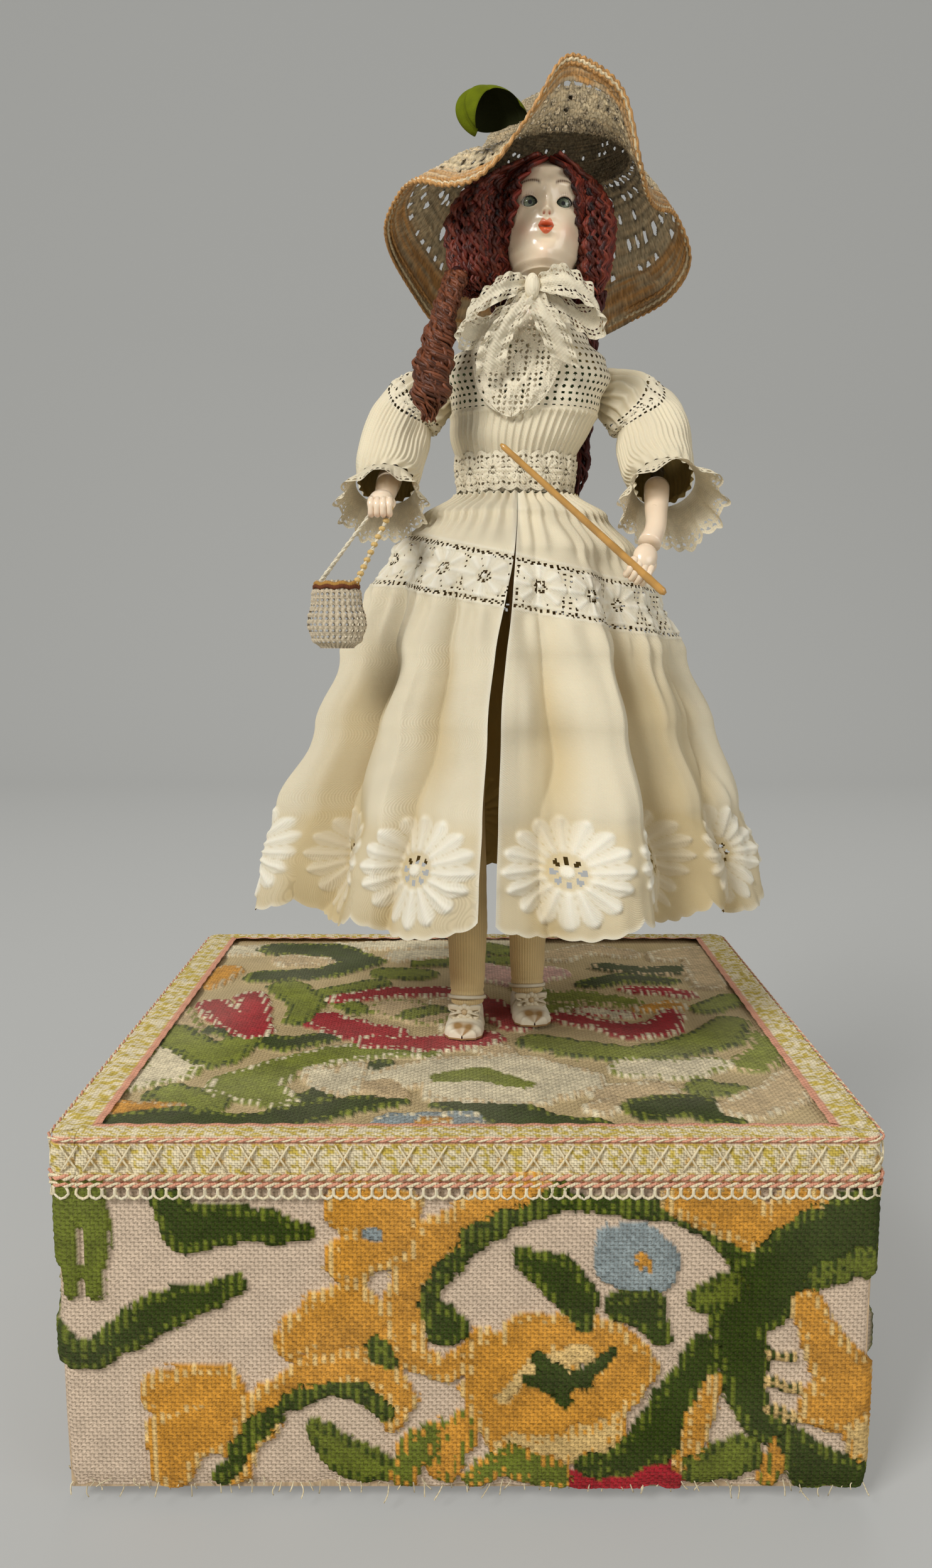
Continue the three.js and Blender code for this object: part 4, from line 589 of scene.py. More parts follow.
@dataclass(frozen=True)
class Finish:
    """A finish: its colour, gloss, threads, wear and dust, with lengths in mm.

    A tinted finish takes its colour from the piece's points, and any other has the one colour.
    """

    name: str
    slot: str
    colour: Colour = (1.0, 1.0, 1.0)
    tinted: bool = True
    roughness: float = 0.85
    metallic: float = 0.0
    coat: float = 0.0
    sheen: float = 0.0
    shine: float = 0.5
    under_glow: float = 0.0
    mottle: float = 0.12
    mottle_size: float = 7.0
    thread: float = 0.0
    thread_depth: float = 0.12
    thread_shade: float = 0.35
    fuzz: float = 0.0
    fuzz_size: float = 0.6
    grain: float = 0.0
    wear: float = 0.0
    wear_colour: Colour = (0.8, 0.7, 0.5)
    dust: float = 0.0
    # Painted shade and glow for inner sides: the colour that back faces show instead of the outer colour
    backface_shade: Colour | None = None

    def build(self) -> bpy.types.Material:
        """Builds the material with its nodes."""
        made = bpy.data.materials.new(self.name)
        made.use_nodes = True
        made.node_tree.nodes.clear()
        bench = Bench(made.node_tree)
        place = bench.node("ShaderNodeTexCoord").outputs["Object"]
        spread = {"Place": place, "Size": self.mottle_size, "Amount": self.mottle}
        mottle = bench.effect(Effect.MOTTLE, spread)
        colour, height = self.colour_and_height(bench, place, mottle)
        inputs = {"Base Color": colour, "Roughness": self.roughness_value(bench, mottle)}
        inputs |= {"Metallic": self.metallic, "Coat Weight": self.coat, "Coat Roughness": 0.12}
        inputs |= {"Sheen Weight": self.sheen, "Specular IOR Level": self.shine}
        inputs |= {"Subsurface Weight": self.under_glow}
        shader = bench.node("ShaderNodeBsdfPrincipled", inputs)
        shader.inputs["Subsurface Radius"].default_value = (1.0, 0.6, 0.4)
        shader.inputs["Subsurface Scale"].default_value = 1.5 * MM
        if height is not None:
            bump = bench.node("ShaderNodeBump", {"Height": height, "Distance": MM, "Strength": 1.0})
            bench.tree.links.new(bump.outputs[0], shader.inputs["Normal"])
        bench.node("ShaderNodeOutputMaterial", {0: shader.outputs[0]})
        return made

    def roughness_value(self, bench: Bench, mottle: bpy.types.Node) -> Socket:
        """Makes a roughness that wanders a little over the surface."""
        return bench.math("MULTIPLY_ADD", mottle.outputs["Value"], 0.16, self.roughness - 0.08)

    def colour_and_height(
        self, bench: Bench, place: Socket, mottle: bpy.types.Node
    ) -> tuple[Socket, Socket | None]:
        """Makes the colour and the fine surface.

        Args:
            bench: Where the nodes go.
            place: The place on the object, in metres.
            mottle: The placed mottle group.

        Returns:
            The colour, and the height in mm or none.
        """
        heights = []
        base = (*self.colour, 1.0)
        if self.tinted:
            base = bench.node("ShaderNodeAttribute", attribute_name="tint").outputs["Color"]
        colour = bench.mix(1.0, base, bench.grey(mottle.outputs["Shade"]), "MULTIPLY")
        if self.thread:
            cloth = bench.node("ShaderNodeAttribute", attribute_name="cloth").outputs["Vector"]
            weave = bench.effect(Effect.THREADS, {"Place": cloth, "Pitch": self.thread}).outputs
            gap = bench.math("MULTIPLY", weave["Gap"], self.thread_shade)
            colour = bench.mix(gap, colour, GAP_SHADE)
            heights.append(bench.math("MULTIPLY", weave["Height"], self.thread_depth))
        if self.grain:
            grain = bench.effect(Effect.GRAIN, {"Place": place, "Size": 6.0}).outputs
            colour = bench.mix(self.grain, colour, bench.grey(grain["Shade"]), "MULTIPLY")
            heights.append(bench.math("MULTIPLY", grain["Height"], 0.05 * self.grain))
        if self.fuzz:
            heights.append(bench.math("MULTIPLY", noise_value(bench, place, self.fuzz_size, 3.0), self.fuzz))
        if self.wear:
            mask = bench.effect(Effect.WEAR, {"Place": place, "Amount": self.wear}).outputs["Mask"]
            colour = bench.mix(mask, colour, (*self.wear_colour, 1.0))
        if self.dust:
            mask = bench.effect(Effect.DUST, {"Place": place, "Amount": self.dust}).outputs["Mask"]
            colour = bench.mix(mask, colour, DUST_SHADE)
        # Back faces take the painted inner-side shade
        if self.backface_shade:
            inner = bench.node("ShaderNodeNewGeometry").outputs["Backfacing"]
            colour = bench.mix(inner, colour, (*self.backface_shade, 1.0))
        height = None
        for more in heights:
            height = more if height is None else bench.math("ADD", height, more)
        return colour, height


PILE = Finish("floral_cut_pile", "floral_pile", roughness=0.95, shine=0.05, thread=1.3, thread_depth=0.3,
              fuzz=0.6, fuzz_size=0.5, mottle=0.2, mottle_size=5.0, thread_shade=0.5)
FADED_PILE = Finish("faded_cut_pile", "faded_pile", roughness=0.95, shine=0.05, thread=1.3, thread_depth=0.2,
                    fuzz=0.5, fuzz_size=0.5, mottle=0.25, mottle_size=14.0, dust=0.08)
BRAID = Finish("woven_edge_braid", "woven_braid", roughness=0.85, shine=0.1, thread=0.9, thread_depth=0.2,
               mottle=0.2, dust=0.05)
FOOT_WOOD = Finish("dark_turned_wood", "dark_wood", (0.025, 0.015, 0.011), False, 0.45, coat=0.3, grain=0.5,
                   wear=0.5)
BOX_WOOD = Finish("sawn_softwood", "box_wood", (0.45, 0.3, 0.16), False, 0.75, grain=1.0, wear=0.3, dust=0.3)
BRASS = Finish("aged_brass", "movement_brass", (0.6, 0.4, 0.14), False, 0.34, 1.0, mottle=0.2,
               mottle_size=9.0, wear=0.5, wear_colour=(0.9, 0.75, 0.4), fuzz=0.02)
STEEL = Finish("bright_steel", "movement_steel", (0.4, 0.4, 0.41), False, 0.32, 1.0, mottle=0.15, wear=0.4,
               wear_colour=(0.8, 0.8, 0.8), fuzz=0.02)
BISQUE = Finish("glazed_bisque", "bisque", roughness=0.3, coat=0.6, under_glow=0.15, mottle=0.05, fuzz=0.012)
EYE_GLASS = Finish("blown_eye_glass", "eye_glass", roughness=0.09, coat=1.0, mottle=0.05, mottle_size=0.6)
MOHAIR = Finish("auburn_mohair", "mohair", roughness=0.45, shine=0.35, mottle=0.35, mottle_size=3.0,
                fuzz=0.12, fuzz_size=0.3)
STRAW = Finish("plaited_straw", "straw", roughness=0.5, mottle=0.35, mottle_size=3.0, thread=1.1,
               thread_depth=0.2, thread_shade=0.5, fuzz=0.15, fuzz_size=0.4)
VELVET = Finish("leaf_velvet", "leaf_velvet", roughness=0.8, shine=0.1, mottle=0.35, mottle_size=4.0,
                fuzz=0.15, fuzz_size=0.4, backface_shade=(0.012, 0.014, 0.002))
COTTON = Finish("fine_ivory_cotton", "ivory_cotton", roughness=0.88, shine=0.15, under_glow=0.1, mottle=0.06,
                mottle_size=22.0, thread=0.45, thread_depth=0.05, thread_shade=0.12, backface_shade=(0.4, 0.28, 0.09))
LACE_THREAD = Finish("cream_lace", "lace", roughness=0.85, shine=0.2, under_glow=0.08, mottle=0.1, thread=0.6,
                     thread_depth=0.08, thread_shade=0.2)
GREEN_CLOTH = Finish("green_under_bodice", "ivory_cotton", (0.1, 0.16, 0.05), False, 0.9, mottle=0.2,
                     fuzz=0.05)
STOCKING = Finish("ribbed_stocking", "stocking", roughness=0.75, sheen=0.2, mottle=0.1, mottle_size=12.0,
                  thread=0.5, thread_depth=0.05, thread_shade=0.1)
LEATHER = Finish("worn_pale_leather", "pale_leather", roughness=0.5, mottle=0.2, mottle_size=4.0, fuzz=0.06,
                 fuzz_size=0.5, wear=0.5, wear_colour=(0.5, 0.36, 0.2))
CANE = Finish("varnished_cane", "cane", roughness=0.3, coat=0.5, mottle=0.25, mottle_size=5.0)


class Workshop:
    """Makes pieces from shapes and gives them their finish and body."""

    def __init__(self) -> None:
        """Finds the middle of the box top in the frame."""
        low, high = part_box("top_cover")
        self.origin = np.array([(low.x + high.x) / 2, (low.y + high.y) / 2, high.z])
        self.materials: dict[str, bpy.types.Material] = {}

    def material(self, finish: Finish) -> bpy.types.Material:
        """Gives a finish's material, built at its first use."""
        if finish.name not in self.materials:
            self.materials[finish.name] = finish.build()
        return self.materials[finish.name]

    def piece(
        self,
        shape: Shape,
        name: str,
        finish: Finish,
        body: str = "root",
        replaced: Sequence[str] = (),
        bend: tuple[str, str, Spot, Spot] | None = None,
    ) -> bpy.types.Object:
        """Makes one piece of the scene.

        Args:
            shape: Its points, faces and colours.
            name: The piece's name.
            finish: What it is made of.
            body: The moving body that it rides on.
            replaced: The solids of the frame that it stands for.
            bend: Two bodies and where a bend would start and end; where given, the piece stays fixed in the
                frame on no body, and these values are not used.

        Returns:
            The object.
        """
        made = bpy.data.objects.new(name, shape.mesh(name, self.origin))
        bpy.context.scene.collection.objects.link(made)
        made.data.materials.append(self.material(finish))
        if bend:
            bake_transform(made)
        else:
            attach(made, body)
        if replaced:
            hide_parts(*replaced)
        log.info("%s: %d faces, rides on %s", name, len(made.data.polygons), body)
        return made

    def dress_solid(self, frame: dict, node: str, finish: Finish) -> None:
        """Gives a solid of the frame its finish."""
        held = frame["nodes"][node].data.materials
        held.clear()
        held.append(self.material(finish))


@dataclass(frozen=True)
class Motif:
    """A patch of pile: a chain of discs, each with its place across and down and its radius, in mm."""

    tint: Tint
    rim: Tint
    chain: tuple[Spot, ...]

    @classmethod
    def from_row(cls, row: tuple) -> "Motif":
        """Reads a motif from the words for its pile and its rim and the discs after them."""
        pile, rim = row[0].split()
        return cls(PILE_TINTS[pile], PILE_TINTS[rim], row[1:])

    def depth(self, across: Array, down: Array) -> Array:
        """Tells how far inside the patch each place lies.

        Args:
            across: Places across the cloth.
            down: Places down the cloth.

        Returns:
            The distance to the patch's edge, below 0 outside it.
        """
        best = np.full(across.shape, -1e3)
        for (x0, y0, r0), (x1, y1, r1) in zip(self.chain, self.chain[1:] or self.chain):
            run = max((x1 - x0) ** 2 + (y1 - y0) ** 2, 1e-6)
            share = np.clip(((across - x0) * (x1 - x0) + (down - y0) * (y1 - y0)) / run, 0, 1)
            away = np.hypot(across - lerp(x0, x1, share), down - lerp(y0, y1, share))
            best = np.maximum(best, lerp(r0, r1, share) - away)
        return best


PILE_TINTS = {
    "gold": Tint.GOLD, "olive": Tint.OLIVE, "dark": Tint.DARK_GREEN, "pale": Tint.PALE_GOLD,
    "red": Tint.CRIMSON, "leaf": Tint.LEAF, "cream": Tint.CREAM, "beige": Tint.BEIGE,
    "blue": Tint.BLUE_GREY, "rose": Tint.ROSE,
}
SIDE_MOTIFS = (
    ("olive olive", (5, -4, 4.5), (5.5, 14, 4.5), (3.5, 31, 2.5)),
    ("dark olive", (27, 0, 5), (34, 10, 8.5), (50, 8, 7), (63, 10, 5.5), (71, 11, 3)),
    ("dark olive", (3, 53, 5), (10, 48, 6), (24, 38, 7.5), (38, 33, 5), (48, 28, 3.5)),
    ("gold pale", (86, 3, 10), (98, 5, 10), (98, 14, 9), (85, 20, 9)),
    ("gold pale", (66, 48, 6.5), (74, 42, 9), (84, 36, 9), (92, 46, 9.5), (78, 50, 8)),
    ("gold pale", (26, 66, 9), (42, 63, 8), (45, 76, 11), (28, 80, 10), (26, 96, 6)),
    ("gold pale", (142, -3, 7), (126, 5, 7), (111, 15, 8), (104, 28, 7), (101, 42, 6.5), (104, 53, 5),
     (114, 58, 4.5), (123, 52, 3.5), (124, 45, 2.5)),
    ("dark olive", (151, -3, 3.5), (140, 5, 3.5), (128, 11, 3.5), (118, 20, 3.5), (111, 29, 3), (110, 36, 4),
     (115, 43, 7)),
    ("gold pale", (46, 97, 4), (50, 84, 5.5), (58, 70, 7), (70, 60, 6.5), (84, 56, 6.5), (96, 60, 6),
     (101, 68, 5), (97, 76, 3)),
    ("dark olive", (43, 97, 3.5), (48, 86, 3.5), (56, 76, 3.5), (66, 68, 3.5), (78, 64, 3.4), (88, 65, 3.6),
     (95, 72, 3.2)),
    ("olive dark", (94, 51, 4.5), (97, 55, 3)),
    ("olive dark", (74, 79, 4.5), (82, 88, 7), (91, 92, 7)),
    ("olive gold", (101, 95, 5), (106, 84, 6), (114, 78, 3.5)),
    ("gold olive", (120, 78, 6), (114, 92, 5)),
    ("gold pale", (129, 52, 8), (127, 64, 8), (140, 46, 8), (152, 44, 6), (166, 48, 8), (174, 58, 9),
     (160, 72, 11), (138, 78, 12), (130, 68, 9), (148, 60, 10)),
    ("pale gold", (136, 85, 6), (152, 86, 7), (168, 78, 5)),
    ("pale pale", (133, 66, 3), (141, 58, 3), (158, 52, 4)),
    ("dark dark", (144, 53, 2.5), (150, 61, 4.5), (153, 69, 2.5)),
    ("dark dark", (141, 61, 2.5), (151, 63, 4), (160, 60, 3), (167, 51, 2.2)),
    ("olive gold", (124, 95, 5), (134, 89, 6), (150, 95, 6)),
    ("red red", (158, 97, 4), (170, 94, 7), (186, 95, 6.5)),
    ("dark olive", (123, 12, 3.5), (131, 8, 3.2), (143, 4, 3), (160, 1, 3), (184, 4, 3.5), (197, 9, 4),
     (206, 18, 4), (212, 28, 5)),
    ("gold pale", (188, 0, 6), (205, 4, 10), (215, 12, 7), (226, 2, 8)),
    ("blue blue", (173, 19, 12), (178, 22, 11)),
    ("gold blue", (177, 21, 3), (179, 23, 2)),
    ("blue blue", (92, 12, 2.5), (94, 13, 2)),
    ("dark olive", (139, 19, 4), (150, 26, 7.5), (157, 34, 7), (158, 41, 3)),
    ("dark olive", (170, 36, 5), (178, 37, 7.5), (182, 45, 4)),
    ("dark olive", (262, 3, 9), (242, 9, 12), (226, 20, 13), (213, 33, 13), (206, 41, 9), (210, 54, 9),
     (211, 66, 7), (216, 76, 6), (222, 80, 5)),
    ("olive dark", (258, 22, 4.5), (244, 22, 5), (232, 26, 4)),
    ("olive dark", (196, 33, 5), (204, 30, 6)),
    ("pale dark", (217, 52, 1.8), (225, 53, 1.4)),
    ("pale dark", (218, 62, 2), (229, 65, 1.6)),
    ("pale dark", (219, 71, 2), (232, 76, 1.6)),
    ("dark olive", (196, 52, 6.5), (191, 62, 6), (187, 72, 8), (182, 82, 9), (172, 89, 6), (161, 91, 4)),
    ("gold pale", (200, 61, 3.5), (197, 74, 5), (192, 90, 4.5)),
    ("gold pale", (229, 36, 5.5), (234, 48, 7), (243, 62, 10), (249, 72, 9), (235, 70, 8)),
    ("pale gold", (250, 82, 8), (253, 92, 6)),
    ("olive dark", (255, 42, 3), (256, 52, 4)),
    ("olive dark", (198, 93, 7), (209, 87, 7)),
    ("gold olive", (223, 85, 5), (218, 95, 4)),
    ("dark olive", (226, 82, 5), (233, 92, 9), (248, 97, 7)),
)

TOP_MOTIFS = (
    ("leaf dark", (-100, -84, 9), (-86, -92, 8)),
    ("gold beige", (-118, -96, 8), (-100, -98, 7)),
    ("beige cream", (50, -84, 9), (66, -80, 8), (44, -96, 6)),
    ("leaf beige", (104, -56, 9), (114, -44, 8), (112, -28, 6)),
    ("dark leaf", (-50, -26, 6), (-68, -36, 7), (-98, -20, 6)),
    ("beige cream", (-10, 12, 8), (-2, -20, 8), (14, -48, 7)),
    ("leaf dark", (-44, 4, 6), (-60, 28, 6), (-40, 40, 7)),
    ("leaf cream", (30, 0, 7), (44, 14, 6), (26, 34, 7)),
    ("dark leaf", (56, 40, 7), (70, 48, 7), (90, 44, 6)),
    ("gold beige", (-110, 60, 8), (-114, 40, 7)),
    ("leaf dark", (-20, 72, 7), (-4, 76, 7), (24, 76, 7)),
    ("beige leaf", (-110, -20, 7), (-120, 0, 8)),
    ("leaf dark", (100, -84, 6), (82, -78, 7)),
    ("gold cream", (88, 10, 6), (74, 6, 5)),
    ("dark leaf", (-30, -58, 6), (-60, -98, 6)),
    ("cream beige", (-118, 92, 9), (-30, 104, 8), (30, 108, 8)),
    ("dark leaf", (-120, -112, 9), (-96, -106, 11), (-70, -110, 9), (-52, -100, 9), (-36, -92, 7),
     (-22, -90, 4)),
    ("dark leaf", (-6, -92, 6), (10, -98, 10), (26, -108, 9), (44, -112, 6)),
    ("dark leaf", (60, -96, 9), (76, -94, 10), (84, -104, 7)),
    ("blue cream", (-22, -108, 9), (-2, -108, 9)),
    ("gold cream", (-12, -108, 5), (-6, -106, 3)),
    ("beige cream", (92, -96, 9), (108, -84, 10), (116, -70, 8)),
    ("cream beige", (-28, -72, 10), (-8, -62, 13), (18, -60, 13), (38, -72, 12), (20, -82, 12),
     (-6, -80, 11)),
    ("leaf leaf", (-8, -70, 5), (6, -66, 6), (20, -76, 4)),
    ("beige beige", (-30, -78, 7), (-24, -84, 5)),
    ("leaf cream", (-64, -88, 8), (-78, -76, 13), (-66, -60, 10), (-48, -46, 9), (-30, -42, 8),
     (-14, -44, 6)),
    ("cream beige", (-52, -66, 8), (-44, -76, 9), (-40, -60, 6)),
    ("cream leaf", (-120, -74, 9), (-106, -62, 11), (-112, -44, 8)),
    ("leaf dark", (-116, -24, 9), (-92, -50, 10), (-86, -34, 8)),
    ("red cream", (-58, -8, 9), (-44, -20, 11), (-30, -24, 8)),
    ("red cream", (-36, -34, 7), (-14, -36, 9), (6, -30, 9)),
    ("red cream", (-54, 18, 6), (-34, 27, 7), (-12, 29, 7), (4, 22, 6)),
    ("red cream", (8, 10, 9), (16, -2, 9), (20, -14, 8)),
    ("beige leaf", (-28, 6, 12), (-14, -4, 10)),
    ("leaf dark", (-22, -2, 6), (-12, 4, 6)),
    ("red cream", (40, -6, 7), (52, -12, 6), (64, -22, 9), (78, -18, 8), (84, -2, 6)),
    ("cream red", (50, 2, 6), (66, -2, 5)),
    ("leaf dark", (28, -34, 9), (44, -42, 9), (62, -46, 8), (78, -42, 9), (96, -30, 11), (106, -12, 8)),
    ("cream leaf", (60, -60, 9), (78, -62, 10), (90, -56, 7)),
    ("leaf beige", (30, 18, 8), (48, 22, 9), (68, 14, 7)),
    ("red cream", (72, 32, 5), (86, 30, 6), (96, 24, 5)),
    ("red cream", (-106, 10, 8), (-96, -6, 9), (-84, -22, 9), (-92, 22, 7)),
    ("leaf dark", (-78, 34, 10), (-66, 10, 8), (-68, -8, 6)),
    ("dark leaf", (-92, 96, 10), (-66, 92, 12), (-48, 74, 10), (-64, 56, 8), (-92, 50, 9)),
    ("beige cream", (-84, 76, 9), (-68, 74, 6)),
    ("leaf dark", (-36, 56, 9), (-20, 54, 8)),
    ("rose cream", (6, 60, 12), (22, 48, 12), (38, 56, 10)),
    ("cream beige", (-30, 84, 10), (-10, 88, 9)),
    ("leaf dark", (4, 100, 10), (22, 92, 8)),
    ("beige cream", (44, 84, 10), (60, 96, 9), (78, 88, 8)),
    ("dark beige", (64, 66, 7), (84, 58, 7), (106, 62, 7)),
    ("beige cream", (96, 84, 10), (112, 92, 9), (108, 40, 9)),
    ("leaf dark", (100, 6, 7), (114, 18, 8)),
)


@dataclass
class SubAssembly:
    """What every sub-assembly has: the workshop where its pieces are made."""

    shop: Workshop


@dataclass
class BoxCloth(SubAssembly):
    """The floral pile cloth on the sides and the top of the box."""

    half_width: float = 129.2
    half_depth: float = 119.2
    corner: float = 4.0
    side_top: float = -2.4
    side_bottom: float = -119.4
    repeat: float = 260.0
    braid_edge: float = -20.0
    pitch: float = 1.3
    pile: float = 1.9
    top_pile: float = 1.45
    rim: float = 3.4
    front_step: float = 0.7
    other_step: float = 1.15
    row_step: float = 0.8
    top_step: float = 0.95

    @property
    def girth(self) -> float:
        """The way once round the box."""
        return 4 * (self.half_width + self.half_depth) - (8 - TURN) * self.corner

    def outline(self, along: Array) -> tuple[Array, Array]:
        """Follows the box's outline, from 0 at the front's left end.

        Args:
            along: Distances along the outline; they may run below 0 or past the whole way round.

        Returns:
            The places and the outward directions, as flat pairs.
        """
        straight = np.array([self.half_width, self.half_depth]) - self.corner
        corners = [(1, -1), (1, 1), (-1, 1), (-1, -1)]
        path, ways = [], []
        for n, (sx, sy) in enumerate(corners):
            for angle in np.linspace(-math.pi / 2, 0, 9) + n * math.pi / 2:
                way = np.array([math.cos(angle), math.sin(angle)])
                path.append(np.array([sx, sy]) * straight + self.corner * way)
                ways.append(way)
        path, ways = np.array([path[-1], *path]), np.array([ways[-1], *ways])
        steps = run_along(path)
        where = np.mod(along + self.corner, steps[-1])
        place = stack(*(np.interp(where, steps, path[:, n]) for n in range(2)))
        way = unit(stack(*(np.interp(where, steps, ways[:, n]) for n in range(2))))
        return place, way

    def pattern(
        self, across: Array, down: Array, motifs: Sequence[tuple], ground: Tint, fade: float
    ) -> tuple[Array, Array]:
        """Works out the pile's height and colour.

        Args:
            across: Places across the cloth.
            down: Places down the cloth.
            motifs: Rows for the patches of pile, the upper ones last.
            ground: The canvas between them.
            fade: The share by which the colours are bleached.

        Returns:
            The height above the canvas and the colour of each place.
        """
        column = np.floor(across / self.pitch)
        row = np.floor(down / self.pitch)
        wander = 1.1 * flat_drift(across, down, 4.0, 3)
        x = (column + 0.5) * self.pitch + wander
        y = (row + 0.5) * self.pitch + wander
        height = np.zeros(across.shape)
        tint = np.broadcast_to(ground.rgb, (*across.shape, 3)).copy()
        tuft = cell_shares(stack(column, row, 0.0), 11)
        for motif in map(Motif.from_row, motifs):
            depth = motif.depth(x, y)
            inside = depth > 0
            hatch = (depth < self.rim) & (np.mod(column, 2) == 0) & (tuft > 0.25)
            colour = np.where(hatch[..., None], motif.rim.rgb, motif.tint.rgb)
            tint = np.where(inside[..., None], colour, tint)
            height = np.where(inside, np.clip(0.35 + depth / 1.2, 0, 1), height)
        shade = 0.8 + 0.4 * tuft + 0.16 * flat_drift(across, down, 9.0, 5)
        tint = tint * np.where(height > 0, shade, 1)[..., None]
        pale = np.array([0.74, 0.66, 0.5])
        bleach = fade * (0.55 + 0.45 * flat_drift(across, down, 26.0, 7))
        tint = lerp(tint, pale, np.clip(bleach, 0, 0.8)[..., None])
        ruffle = 0.78 + 0.22 * cell_shares(stack(across * 3, down * 3, 0.0), 4)
        return self.pile * height * ruffle, tint

    def build(self) -> None:
        """Makes the side cloth, its frayed lower edge and the top cloth."""
        back_middle = self.half_width + 2 * self.half_depth
        fine = np.arange(-2, 2 * self.half_width + 2, self.front_step)
        left = np.arange(-back_middle, fine[0], self.other_step)
        right = np.linspace(fine[-1] + self.other_step, self.girth - back_middle, len(left))
        along = np.concatenate([left, fine, right])
        levels = np.arange(self.side_top, self.side_bottom, -self.row_step)
        place, way = self.outline(along)
        across, z = np.meshgrid(along, levels)
        turns, rest = np.divmod(across, self.repeat)
        folded = np.where(np.mod(turns, 2) == 0, rest, self.repeat - rest)
        down = self.braid_edge - z
        height, tint = self.pattern(folded, down, SIDE_MOTIFS, Tint.CANVAS, 0.04)
        slack = 0.35 * flat_drift(across, z, 30.0, 8)
        ragged = smooth((z - self.side_bottom) / 6)
        out = height + slack - 0.8 * (1 - ragged)
        points = stack(*(place[None, :, n] + way[None, :, n] * out for n in range(2)), z)
        edge = 1.6 * flat_drift(across, 0 * z, 7.0, 9) * (1 - ragged)
        points[..., 2] += np.maximum(edge, 0)
        cloth = stack(across, z, height)
        shape = Shape()
        shape.grid(points, tint, cloth=cloth)
        side = self.shop.piece(shape, "side_cloth", PILE, replaced=["side_cover"])
        frays = self.shop.piece(self.frays(along), "frayed_threads", BRAID)
        self.build_top()

    def frays(self, along: Array) -> Shape:
        """Makes the loose threads along the cloth's lower edge."""
        shape = Shape()
        random = np.random.default_rng(5)
        for where in np.linspace(along[0], along[-1], 320):
            place, way = self.outline(np.array([where + random.uniform(-1.5, 1.5)]))
            start = np.array([*(place[0] + way[0] * 0.3), self.side_bottom + random.uniform(1, 4)])
            lean = random.normal(0, 1.6, 3) + np.array([*(way[0] * 0.8), 0])
            end = start + lean * np.array([1, 1, 0]) - np.array([0, 0, random.uniform(1.5, 4.2)])
            path = spline([start, (start + end) / 2 + random.normal(0, 0.4, 3), end], 6)
            tint = Tint.CREAM.rgb * random.uniform(0.7, 1.05)
            shape.tube(path, 0.22, tint, sides=4)
        return shape

    def build_top(self) -> None:
        """Makes the faded cloth on the top of the box."""
        x = np.arange(-self.half_width + 1, self.half_width - 1, self.top_step)
        y = np.arange(self.half_depth - 1, -self.half_depth + 1, -self.top_step)
        across, down = np.meshgrid(x, y)
        height, tint = self.pattern(across, down, TOP_MOTIFS, Tint.OLD_CANVAS, 0.14)
        z = np.minimum(height * self.top_pile / self.pile - self.top_pile, -0.06)
        shape = Shape()
        shape.grid(stack(across, down, z), tint, cloth=stack(across, down, height))
        top = self.shop.piece(shape, "top_cloth", FADED_PILE, replaced=["top_cover"])


